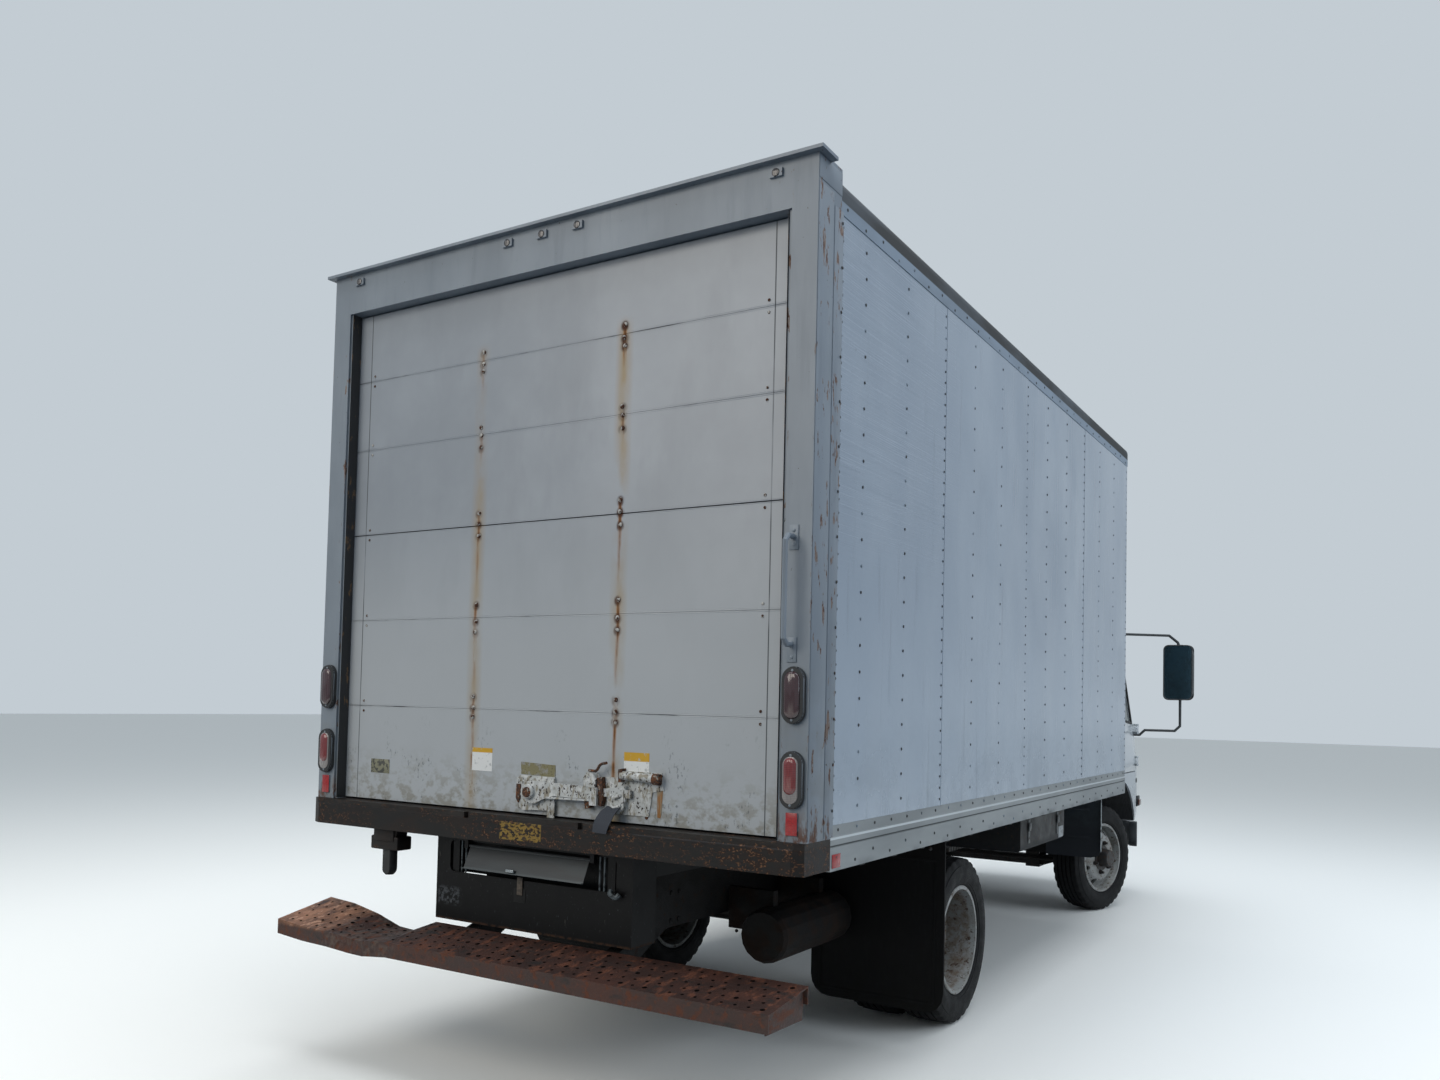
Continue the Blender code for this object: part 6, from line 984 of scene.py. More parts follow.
def tyre(name, node, place, body, turn=None):
    """One tyre in its place, standing for its CAD node."""
    work = bmesh.new()
    turned(work, tyre_section, 108, lugs)
    stand(work, place, turn)
    made = piece(name, work, rubber, body, 28)
    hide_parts(node)


for side, name in ((-1, "right"), (1, "left")):
    tyre("outer_tyre_" + name, "rear_outer_tyre_" + name, (AXLE_X, side * OUTER_WHEEL_Y, AXLE_Z),
         "rear_wheels_" + name)
    tyre("inner_tyre_" + name, "rear_inner_tyre_" + name, (AXLE_X, side * INNER_WHEEL_Y, AXLE_Z),
         "rear_wheels_" + name)
    tyre("steer_tyre_" + name, "front_tyre_" + name, (FRONT_X, side * STEER_WHEEL_Y, AXLE_Z),
         "front_wheel_" + name, STEER)


# Wheels
# Pressed steel discs welded into rims, sprayed silver white long ago and rusting at the edges, the
# hand holes and the nuts. The rear discs are deeply dished; the front ones bulge out round dark hubs.
rim_paint, tree, shader = painted("rusting_silver_rim_paint", "#9b9c98", 0.42, 0.1)
coat(tree, shader, "#85827a", patches(tree, 0.10, 0.46, 0.66), 0.6)
axle_off = add(tree, "ShaderNodeVectorMath", {0: add(tree, "ShaderNodeTexCoord").outputs["Object"],
                                              1: (STERN_X + AXLE_X, 0, AXLE_Z)}, operation="SUBTRACT")
flat = add(tree, "ShaderNodeVectorMath", {0: axle_off.outputs[0], 1: (1, 0, 1)}, operation="MULTIPLY")
out = add(tree, "ShaderNodeVectorMath", {0: flat.outputs[0]}, operation="LENGTH").outputs["Value"]
weld = within(tree, add(tree, "ShaderNodeMapRange", {0: out, 1: 0.196, 2: 0.212}).outputs[0],
              add(tree, "ShaderNodeMapRange", {0: out, 1: 0.236, 2: 0.228}).outputs[0])
coat(tree, shader, "#6b5138", within(tree, weld, patches(tree, 0.03, 0.35, 0.60, detail=6.0), 0.9), 0.8, 0.0)
coat(tree, shader, "#4a3628", patches(tree, 0.030, 0.58, 0.66, detail=7.0, shift=4.0), 0.85, 0.0)
coat(tree, shader, "#5e3d29", within(tree, patches(tree, 0.014, 0.58, 0.66, detail=7.0, shift=9.0), 0.8),
     0.9, 0.0)
relief(tree, shader, patches(tree, 0.010, 0.4, 0.7, detail=6.0), 0.0006)
dark_hub, tree, shader = painted("oily_black_hub", "#1a1a1a", 0.45)
coat(tree, shader, "#3a2c22", patches(tree, 0.02, 0.48, 0.62, detail=6.0), 0.8)
RIM_OUT = 0.2600


def barrel(half, disc_low, disc_high):
    """Section of a rim, flange to flange, with the disc's edge between two places on its inner wall."""
    return [(0.2310, disc_low), (0.2300, -0.060), (0.2370, -half + 0.020), (0.2395, -half + 0.008),
            (0.2420, -half), (RIM_OUT - 0.003, -half), (RIM_OUT, -half + 0.003),
            (RIM_OUT - 0.003, -half + 0.0075), (0.2475, -half + 0.008), (0.2470, -0.055), (0.2380, -0.030),
            (0.2380, 0.030), (0.2470, 0.055), (0.2475, half - 0.008), (RIM_OUT - 0.003, half - 0.0075),
            (RIM_OUT, half - 0.003), (RIM_OUT - 0.003, half), (0.2420, half), (0.2395, half - 0.008),
            (0.2370, half - 0.020), (0.2300, 0.060), (0.2310, disc_high)]


def pierced(work, centre_radius, hole, count, low, high):
    """Cuts a ring of round holes, from one place along Y to another, through a turned disc."""
    cutters = bmesh.new()
    for index in range(count):
        a = math.tau * (index + 0.5) / count
        place = Matrix.Translation((centre_radius * math.cos(a), (low + high) / 2,
                                    centre_radius * math.sin(a)))
        bmesh.ops.create_cone(cutters, cap_ends=True, segments=24, radius1=hole, radius2=hole,
                              depth=high - low, matrix=place @ Matrix.Rotation(math.radians(90), 4, "X"))
    meshes = []
    for mesh in (work, cutters):
        data = bpy.data.meshes.new("hole_work")
        mesh.to_mesh(data)
        meshes.append(bpy.data.objects.new("hole_work", data))
        scene.collection.objects.link(meshes[-1])
    cut = meshes[0].modifiers.new("holes", "BOOLEAN")
    cut.operation, cut.solver, cut.object = "DIFFERENCE", "EXACT", meshes[1]
    cut_mesh = bpy.data.meshes.new_from_object(meshes[0].evaluated_get(bpy.context.evaluated_depsgraph_get()))
    work.clear()
    work.from_mesh(cut_mesh)
    cutters.free()
    for made in meshes:
        bpy.data.objects.remove(made)


def nuts(work, count, radius, face, turn_by=0.0):
    """A ring of wheel nuts with their studs."""
    for index in range(count):
        a = math.tau * index / count + turn_by
        for wide, deep in ((0.0165, 0.020), (0.0095, 0.034)):
            place = Matrix.Translation((radius * math.cos(a), face + deep / 2, radius * math.sin(a)))
            bmesh.ops.create_cone(work, cap_ends=True, segments=6 if deep < 0.03 else 12, radius1=wide,
                                  radius2=wide * 0.93, depth=deep,
                                  matrix=place @ Matrix.Rotation(math.radians(-90), 4, "X"))


for side, name in ((-1, "right"), (1, "left")):
    body = "rear_wheels_" + name
    wheel = bmesh.new()
    dish = barrel(0.0955, -0.066, -0.053)
    disc = dish + [(0.2200, -0.052), (0.2050, -0.066), (0.1850, -0.098), (0.1720, -0.114), (0.1560, -0.119),
                   (0.0600, -0.119), (0.0600, -0.130), (0.1600, -0.130), (0.1790, -0.121), (0.1940, -0.104),
                   (0.2120, -0.072)]
    turned(wheel, disc, 96)
    pierced(wheel, 0.200, 0.021, 8, -0.14, -0.03)
    stand(wheel, (AXLE_X, side * OUTER_WHEEL_Y, AXLE_Z))
    outer = piece("rear_outer_rim_" + name, wheel, rim_paint, body, 30)
    inner = bmesh.new()
    turned(inner, [(radius, -place) for radius, place in reversed(disc)], 96)
    pierced(inner, 0.200, 0.021, 8, 0.03, 0.14)
    stand(inner, (AXLE_X, side * (INNER_WHEEL_Y - 0.0005), AXLE_Z))
    piece("rear_inner_rim_" + name, inner, rim_paint, body, 30)
    hub = bmesh.new()
    turned(hub, [(0.0, -0.220), (0.104, -0.220), (0.104, -0.184), (0.184, -0.184), (0.184, -0.145),
                 (0.150, -0.1435), (0.100, -0.1435), (0.100, -0.1080), (0.072, -0.1060), (0.066, -0.0120),
                 (0.060, -0.0070), (0.024, -0.0060), (0.022, -0.0100), (0.0, -0.0100)], 48)
    for index in range(8):
        a = math.tau * index / 8
        place = Matrix.Translation((0.048 * math.cos(a), -0.0040, 0.048 * math.sin(a)))
        bmesh.ops.create_cone(hub, cap_ends=True, segments=6, radius1=0.0085, radius2=0.0080, depth=0.010,
                              matrix=place @ Matrix.Rotation(math.radians(-90), 4, "X"))
    nuts(hub, 6, 0.1115, -0.1185, 0.3)
    stand(hub, (AXLE_X, side * OUTER_WHEEL_Y, AXLE_Z))
    piece("rear_hub_" + name, hub, dark_hub, body, 30)
    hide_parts("rear_wheels_" + name)

    body = "front_wheel_" + name
    wheel = bmesh.new()
    dish = barrel(0.0955, 0.020, 0.034)
    disc = dish + [(0.2220, 0.035), (0.2080, 0.042), (0.1850, 0.068), (0.1700, 0.080), (0.1550, 0.0845),
                   (0.0640, 0.0845), (0.0640, 0.0725), (0.1500, 0.0725), (0.1640, 0.068), (0.1780, 0.056),
                   (0.2030, 0.030), (0.2180, 0.022)]
    turned(wheel, disc, 96)
    pierced(wheel, 0.192, 0.022, 8, -0.01, 0.12)
    stand(wheel, (FRONT_X, side * STEER_WHEEL_Y, AXLE_Z), STEER)
    outer = piece("front_rim_" + name, wheel, rim_paint, body, 30)
    hub = bmesh.new()
    turned(hub, [(0.0, -0.054), (0.073, -0.054), (0.073, -0.032), (0.164, -0.032), (0.164, 0.018),
                 (0.130, 0.045), (0.098, 0.0720), (0.098, 0.0880), (0.070, 0.0900), (0.063, 0.1480),
                 (0.056, 0.1600), (0.030, 0.1620), (0.0, 0.1620)], 48)
    nuts(hub, 6, 0.1115, 0.0850, 0.3)
    stand(hub, (FRONT_X, side * STEER_WHEEL_Y, AXLE_Z), STEER)
    piece("front_hub_" + name, hub, dark_hub, body, 30)
    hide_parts("front_wheel_" + name)


# Chassis frame, axles and drive line
# Rolled steel rails and forged axles, dipped in chassis black. Road dust lies grey over the paint, rust
# breaks out in scabs at edges, and what hangs low is nearly black with oil.
chassis_black, tree, shader = painted("dusty_chassis_black", "#030304", 0.6, specular_ior_level=0.2)
coat(tree, shader, "#131211", patches(tree, 0.12, 0.45, 0.66), 0.8)
coat(tree, shader, "#2a1b12", within(tree, patches(tree, 0.035, 0.60, 0.68, detail=6.0, shift=3.0), 0.8), 0.9)
relief(tree, shader, patches(tree, 0.008, 0.3, 0.7, detail=6.0), 0.0006)
forged, tree, shader = painted("oily_forged_steel", "#0b0a08", 0.45, 0.2)
coat(tree, shader, "#191613", patches(tree, 0.06, 0.45, 0.62), 0.75, 0.0)
coat(tree, shader, "#3f2b1e", within(tree, patches(tree, 0.018, 0.58, 0.66, detail=6.0, shift=6.0), 0.8),
     0.9, 0.0)
relief(tree, shader, patches(tree, 0.005, 0.3, 0.7, detail=6.0), 0.0008)
dress("chassis_frame", chassis_black)
for node in ("front_axle", "rear_axle", "drive_shaft", "knuckle_left", "knuckle_right", "tie_rod"):
    dress(node, forged)
# Frame rivets, in fours at each cross member and in pairs between
RAIL_OUT_Y, RAIL_LOW_Z, RAIL_HIGH_Z = 0.425, 0.620, 0.800
heads = bmesh.new()
for side in (-1, 1):
    for x in (0.42, 1.20, 2.62, 3.55, 4.60, 6.20):
        for dx in (-0.028, 0.028):
            for z in (RAIL_LOW_Z + 0.035, RAIL_HIGH_Z - 0.035):
                rivet(heads, (x + dx, side * RAIL_OUT_Y, z), (0, side, 0), 0.011, 0.007, 8)
piece("frame_rivets", heads, chassis_black)
# Differential cover bolts
bolts = bmesh.new()
for index in range(10):
    a = math.tau * index / 10
    rivet(bolts, (AXLE_X - 0.176, 0.128 * math.cos(a), AXLE_Z + 0.128 * math.sin(a)), (-1, 0, 0), 0.010,
          0.009, 6)
piece("differential_cover_bolts", bolts, forged)


# Engine
# A cast iron block with its gearbox, hung between the frame rails under the cab. Its sides carry cast
# ribs and a grey coat of baked oil.
casting, tree, shader = painted("baked_oily_casting", "#35332e", 0.6, 0.2)
ribs = add(tree, "ShaderNodeTexWave",
           {"Vector": add(tree, "ShaderNodeTexCoord").outputs["Object"], "Scale": 6.0}, bands_direction="X")
relief(tree, shader, ribs.outputs["Fac"], 0.008)
relief(tree, shader, patches(tree, 0.006, 0.3, 0.7), 0.0010)
coat(tree, shader, "#191714", patches(tree, 0.16, 0.42, 0.60, detail=5.0), 0.4)
coat(tree, shader, "#4d3b2c", within(tree, patches(tree, 0.03, 0.58, 0.68, detail=6.0, shift=2.0), 0.8),
     0.85, 0.0)
dress("engine", casting)


# Load floor
# Laminated hardwood boards, 125 mm wide and run fore and aft, screwed to steel cross sills and worn
# pale by pallets; underneath they and the sills are nearly black with road film.
boards, tree, shader = painted("worn_hardwood", "#8a6d50", 0.55)
grain = patches(tree, 0.012, 0.35, 0.65, (60, 1, 1), 5.0)
coat(tree, shader, "#6b4f36", grain, 0.6)
coat(tree, shader, "#a38a6c", patches(tree, 0.35, 0.48, 0.68, (3, 1, 1)), 0.5)
coat(tree, shader, "#57483a", within(tree, patches(tree, 0.03, 0.58, 0.66, (8, 1, 1), 5.0, 3.0), 0.8), 0.7)
place = add(tree, "ShaderNodeSeparateXYZ", {0: add(tree, "ShaderNodeTexCoord").outputs["Object"]})
within_board = add(tree, "ShaderNodeMath", {0: place.outputs["Y"], 1: 0.125}, operation="PINGPONG")
seam = add(tree, "ShaderNodeMapRange", {0: within_board.outputs[0], 1: 0.004, 2: 0.0015}).outputs[0]
coat(tree, shader, "#1f1812", seam, 0.9)
relief(tree, shader, seam, -0.002)
coat(tree, shader, "#131313", along(tree, "Z", 1.045, 1.040), 0.8)
dress("load_floor", boards)


# Fuel tank and battery box
# Left: a rolled steel tank in black, two straps round it and a turned cap. Right: a grey
# box with a folded lid, a strap and buckle, and a small sticker that has gone blank.
dress("fuel_tank", chassis_black)
box_grey, tree, shader = painted("grey_stove_enamel", "#1b1d1f", 0.5)
coat(tree, shader, "#111213", patches(tree, 0.20, 0.42, 0.62), 0.7)
coat(tree, shader, "#15171a", along(tree, "Z", 0.72, 0.66), 0.8)
coat(tree, shader, "#4b3a2d", within(tree, patches(tree, 0.03, 0.60, 0.68, detail=6.0, shift=4.0), 0.8), 0.9)
dress("battery_box", box_grey)
strapping, tree, shader = painted("galvanised_strap", "#4a4e50", 0.45, 0.7)
coat(tree, shader, "#33261d", patches(tree, 0.03, 0.50, 0.62, detail=5.0), 0.85, 0.1)
straps = bmesh.new()
for x in (3.22, 3.93):
    block(straps, (x, 0.926, 0.500), (x + 0.045, 0.930, 0.820), 0.0015)
    block(straps, (x, 0.430, 0.8405), (x + 0.045, 0.900, 0.8445), 0.0015)
    block(straps, (x, 0.445, 0.4755), (x + 0.045, 0.900, 0.4795), 0.0015)
for x in (3.55, 4.20):
    block(straps, (x, -0.9300, 0.700), (x + 0.040, -0.9255, 0.885), 0.0015)
    block(straps, (x - 0.006, -0.9380, 0.775), (x + 0.046, -0.9300, 0.825), 0.002)
piece("tank_and_box_straps", straps, strapping)
lid = bmesh.new()
block(lid, (3.392, -0.9330, 0.868), (4.408, -0.9260, 0.9035), 0.002)
piece("battery_box_lid_lip", lid, box_grey)
cap = bmesh.new()
turned(cap, [(0.0, 0.0), (0.046, 0.0), (0.046, 0.022), (0.040, 0.034), (0.012, 0.036), (0.0, 0.036)], 32)
bmesh.ops.translate(cap, vec=(4.02, 0.926, 0.740), verts=cap.verts)
piece("tank_cap", cap, strapping)
sticker, tree, shader = painted("blank_white_sticker", "#b9bdbd", 0.5)
coat(tree, shader, "#8f9391", patches(tree, 0.02, 0.50, 0.64))
label = bmesh.new()
block(label, (4.262, -0.9262, 0.672), (4.372, -0.9254, 0.745), 0.0002)
piece("blank_box_sticker", label, sticker)


# Muffler
# A rolled drum of aluminised steel under the floor, patched brown by heat and road film. Its grey coat is
# painted near-black with no shine: painted shade for the dark under the truck.
muffler_shade_paint, tree, shader = painted("shade_darkened_aluminised_steel", "#060505", 0.7, 0.1, specular_ior_level=0.2)
coat(tree, shader, "#1f150f", patches(tree, 0.07, 0.42, 0.60, detail=6.0), 0.85, 0.1)
coat(tree, shader, "#060606", patches(tree, 0.14, 0.50, 0.66, shift=3.0), 0.7)
relief(tree, shader, patches(tree, 0.007, 0.3, 0.7), 0.0008)
dress("muffler", muffler_shade_paint)


# Mud flaps
# Black rubber sheets, 10 mm thick, moulded with a raised border, plain inside it, and hung by a
# row of bolts.
flap_rubber, tree, shader = painted("moulded_black_rubber", "#020203", 0.70, specular_ior_level=0.15)
coat(tree, shader, "#131311", within(tree, along(tree, "Z", 0.55, 0.20), patches(tree, 0.08, 0.42, 0.62)),
     0.85)
coat(tree, shader, "#08090a", patches(tree, 0.02, 0.5, 0.65, (1, 1, 3)), 0.7)
flap_bolts = bmesh.new()
for side, name in ((-1, "right"), (1, "left")):
    dress("mudflap_" + name, flap_rubber)
    border = bmesh.new()
    ends = sorted((side * 0.560, side * 1.130))
    for low_y, high_y, low_z, high_z in (
            (ends[0], ends[1], 0.205, 0.217), (ends[0], ends[1], 0.838, 0.850),
            (ends[0], ends[0] + 0.012, 0.217, 0.838), (ends[1] - 0.012, ends[1], 0.217, 0.838)):
        block(border, (1.4425, low_y, low_z), (1.4449, high_y, high_z), 0.0008)
    piece("mudflap_border_" + name, border, flap_rubber)
    for step in range(5):
        rivet(flap_bolts, (1.4449, side * (0.590 + 0.128 * step), 0.895), (-1, 0, 0), 0.010, 0.007, 6)
piece("mudflap_bolts", flap_bolts, strapping)


# Splash panels behind the front wheels
# A pressed steel sheet on each side, hung from the frame behind the front wheel and bent out along
# its rear edge, in grey primer with a bright worn edge.
primer, tree, shader = painted("grey_blue_primer", "#2b333a", 0.5)
coat(tree, shader, "#232a2f", patches(tree, 0.10, 0.42, 0.62), 0.7)
coat(tree, shader, "#20242a", along(tree, "Z", 0.80, 0.62), 0.8)
edge_steel, tree, shader = painted("worn_bright_edge", "#8f989c", 0.35, 0.7)
coat(tree, shader, "#4c4a46", patches(tree, 0.03, 0.5, 0.64), 0.7, 0.1)
SPLASH_X = 5.0035
for side, name in ((-1, "right"), (1, "left")):
    panel = bmesh.new()
    outline = [(-0.640, 0.935), (-1.005, 0.935), (-1.030, 0.900), (-1.030, 0.520), (-1.012, 0.480),
               (-0.960, 0.462), (-0.640, 0.462)]
    plate(panel, [(-side * y, z) for y, z in outline], SPLASH_X, SPLASH_X + 0.004)
    for z in (0.60, 0.80):
        low, high = sorted((side * 0.68, side * 0.95))
        block(panel, (SPLASH_X - 0.004, low, z), (SPLASH_X, high, z + 0.016), 0.0018)
    piece("splash_panel_" + name, panel, primer)
    fold = bmesh.new()
    low, high = sorted((side * 1.0302, side * 1.0350))
    block(fold, (SPLASH_X - 0.012, low, 0.510), (SPLASH_X + 0.006, high, 0.925), 0.0015)
    piece("splash_panel_fold_" + name, fold, edge_steel)
hangers = bmesh.new()
for side in (-1, 1):
    rod(hangers, rounded([(4.98, side * 0.430, 0.760), (4.98, side * 0.62, 0.760),
                          (SPLASH_X - 0.0045, side * 0.70, 0.760)], 0.04), 0.009, 8)
piece("splash_panel_hangers", hangers, chassis_black)


# Cab panels and doors
# Spot-welded steel pressings in white baking enamel under a clear gloss. Road film greys the skirts,
# the underside and the inside of the arches are black underseal, and the floor inside is ribbed mat.
CAB_SIDE = 1.030
cab_white, tree, shader = painted("white_baking_enamel", "#c9cecf", 0.22, coat_weight=0.5,
                                  coat_roughness=0.06)
coat(tree, shader, "#b9bfc0", patches(tree, 0.5, 0.42, 0.68))
coat(tree, shader, "#8f928d",
     within(tree, along(tree, "Z", 1.05, 0.66), patches(tree, 0.06, 0.38, 0.62), 0.8), 0.45)
coat(tree, shader, "#6b513c",
     within(tree, along(tree, "Z", 0.72, 0.65), patches(tree, 0.02, 0.52, 0.62, detail=6.0)), 0.8)
relief(tree, shader, patches(tree, 0.5, 0.2, 0.8, detail=1.0), 0.003)

skirt, tree, shader = painted("enamel_over_underseal", "#c9cecf", 0.25)
coat(tree, shader, "#8f928d",
     within(tree, along(tree, "Z", 1.05, 0.66), patches(tree, 0.06, 0.38, 0.62), 0.8), 0.45)
place = add(tree, "ShaderNodeSeparateXYZ", {0: add(tree, "ShaderNodeTexCoord").outputs["Object"]})
aside = add(tree, "ShaderNodeMath", {0: place.outputs["Y"]}, operation="ABSOLUTE").outputs[0]
inboard = add(tree, "ShaderNodeMapRange", {0: aside, 1: CAB_SIDE - 0.012, 2: CAB_SIDE - 0.016}).outputs[0]
coat(tree, shader, "#15171a", inboard, 0.85)
mat_ribs = add(tree, "ShaderNodeTexWave", {"Vector": add(tree, "ShaderNodeTexCoord").outputs["Object"],
                                           "Scale": 26.0}, bands_direction="Y")
relief(tree, shader, within(tree, mat_ribs.outputs["Fac"], inboard), 0.002)
dress("cab_floor", skirt)


# Cab glass and its rubber
# Tinted float and laminated glass, curved a little, which shows the cab darker and greener. It is
# held in black rubber gaskets.
cab_glass, tree, shader = painted("tinted_cab_glass", "#6d8480", 0.03, transmission_weight=0.85, ior=1.52)
coat(tree, shader, "#5d6f6b", within(tree, patches(tree, 0.25, 0.55, 0.75), 0.4), 0.12)
for node in ("windscreen", "back_glass", "door_glass_left", "door_glass_right"):
    dress(node, cab_glass)
gasket, tree, shader = painted("black_rubber_gasket", "#17181a", 0.6)
coat(tree, shader, "#2b2c2b", patches(tree, 0.05, 0.45, 0.62), 0.75)
BESIDE_CAB, AHEAD_OF_CAB = 1.05, 6.6     # where the rays start that look for the cab's skin


def dropped(node, point, way):
    """Where a ray from a point meets a CAD node's skin, and the way out of it; none where it misses."""
    way = Vector(way).normalized()
    start = Vector(point) + Vector((STERN_X, 0, 0)) - way * 0.5
    hit, spot, out, face = nodes[node].ray_cast(start, way)
    return (spot - Vector((STERN_X, 0, 0)), out) if hit else None


def outline_on(node, corners, way, step=0.035):
    """Points along a closed outline, each dropped along a way on a CAD node's skin."""
    path = []
    for start, end in zip(corners, corners[1:] + corners[:1]):
        start, end = Vector(start), Vector(end)
        count = max(2, round((end - start).length / step))
        spots = [dropped(node, start.lerp(end, index / count), way) for index in range(count)]
        path += [spot[0] for spot in spots if spot]
    return path


def bead(work, path, radius, sides=6):
    """A bar swept round a closed path."""
    rings = []
    for index, point in enumerate(path):
        ahead = (path[(index + 1) % len(path)] - path[index - 1]).normalized()
        side = ahead.cross(Vector((0, 0, 1)) if abs(ahead.z) < 0.9 else Vector((1, 0, 0))).normalized()
        other = ahead.cross(side)
        rings.append([work.verts.new(point + radius * (math.cos(a) * side + math.sin(a) * other))
                      for a in (math.tau * step / sides for step in range(sides))])
    for lower, upper in zip(rings, rings[1:] + rings[:1]):
        turn = min(range(sides), key=lambda shift: (lower[0].co - upper[shift].co).length)
        upper = upper[turn:] + upper[:turn]
        for step in range(sides):
            work.faces.new((lower[step - 1], lower[step], upper[step], upper[step - 1]))
    bmesh.ops.recalc_face_normals(work, faces=work.faces)


gaskets = {"cab": bmesh.new(), "door_left": bmesh.new(), "door_right": bmesh.new()}
screen_edge = [(AHEAD_OF_CAB, -0.872, 1.470), (AHEAD_OF_CAB, 0.872, 1.470), (AHEAD_OF_CAB, 0.798, 2.110),
               (AHEAD_OF_CAB, -0.798, 2.110)]
bead(gaskets["cab"], outline_on("cab_front", screen_edge, (-1, 0, 0)), 0.011)
rear_edge = [(5.0, -0.568, 1.552), (5.0, 0.568, 1.552), (5.0, 0.568, 2.028), (5.0, -0.568, 2.028)]
bead(gaskets["cab"], outline_on("cab_back", rear_edge, (1, 0, 0)), 0.010)
for side, name in ((-1, "right"), (1, "left")):
    edge = [(5.372, side, 1.492), (6.138, side, 1.421), (5.942, side, 2.058), (5.372, side, 2.058)]
    bead(gaskets["door_" + name], outline_on("door_" + name, edge, (0, -side, 0)), 0.009)
for body, work in gaskets.items():
    piece("glass_gaskets_" + body, work, gasket, body, 60)


# Door handles, locks and drip rails
# Each door has a flush cup with a lift-up flap and a key lock beside it; a folded rain rail
# is spot-welded over the doors.
handle_black, tree, shader = painted("textured_black_moulding", "#17191b", 0.5)
relief(tree, shader, patches(tree, 0.0012, 0.3, 0.7, detail=1.0), 0.0002)
lock_steel, tree, shader = painted("plated_lock_face", "#8d9294", 0.25, 0.9)
coat(tree, shader, "#4b4640", patches(tree, 0.004, 0.5, 0.62), 0.6, 0.2)
HANDLE_X, HANDLE_Z = 5.43, 1.350


def thin_pad(work, grid):
    """Closes rows of corner pairs, one outside and one under the skin, into a thin pad."""
    for layer in (0, 1):
        for lower, upper in zip(grid, grid[1:]):
            for corners in zip(lower, lower[1:], upper[1:], upper):
                work.faces.new([pair[layer] for pair in corners])
    rim = grid[0] + [line[-1] for line in grid[1:]] + grid[-1][-2::-1] + [line[0] for line in grid[-2:0:-1]]
    for one, two in zip(rim, rim[1:] + rim[:1]):
        work.faces.new((one[0], two[0], two[1], one[1]))
    bmesh.ops.recalc_face_normals(work, faces=work.faces)


def pad_on(work, node, x_low, x_high, z_low, z_high, side, lift, steps=4):
    """A thin pad moulded to a side skin between two places along the truck and two heights."""
    grid = []
    for row in range(steps + 1):
        z = z_low + (z_high - z_low) * row / steps
        line = []
        for step in range(steps + 1):
            x = x_low + (x_high - x_low) * step / steps
            spot = dropped(node, (x, side * BESIDE_CAB, z), (0, -side, 0))
            if spot is None:
                return
            edge = 0.5 if row in (0, steps) or step in (0, steps) else 1.0
            line.append((work.verts.new(spot[0] + spot[1] * lift * edge),
                         work.verts.new(spot[0] - spot[1] * 0.0008)))
        grid.append(line)
    thin_pad(work, grid)


for side, name in ((-1, "right"), (1, "left")):
    door = "door_" + name
    cup = bmesh.new()
    pad_on(cup, door, HANDLE_X - 0.070, HANDLE_X + 0.070, HANDLE_Z - 0.034, HANDLE_Z + 0.034, side, 0.004)
    face_y = dropped(door, (HANDLE_X, side * BESIDE_CAB, HANDLE_Z), (0, -side, 0))[0].y
    low, high = sorted((face_y + side * 0.003, face_y + side * 0.014))
    block(cup, (HANDLE_X - 0.058, low, HANDLE_Z - 0.006), (HANDLE_X + 0.052, high, HANDLE_Z + 0.022), 0.004)
    piece("door_handle_" + name, cup, handle_black, door)
    lock = bmesh.new()
    rivet(lock, (HANDLE_X + 0.090, face_y, HANDLE_Z - 0.004), (0, side, 0), 0.011, 0.005, 16)
    piece("door_lock_" + name, lock, lock_steel, door)
rails = bmesh.new()
for side in (-1, 1):
    spots = [dropped("cab_roof", (5.06 + 0.9 * step / 16, side * BESIDE_CAB, 2.142),
                     (0, -side, 0)) for step in range(17)]
    rod(rails, [spot[0] + Vector((0, side * 0.002, 0)) for spot in spots if spot], 0.008, 6)
piece("cab_drip_rails", rails, cab_white, "cab", 60)


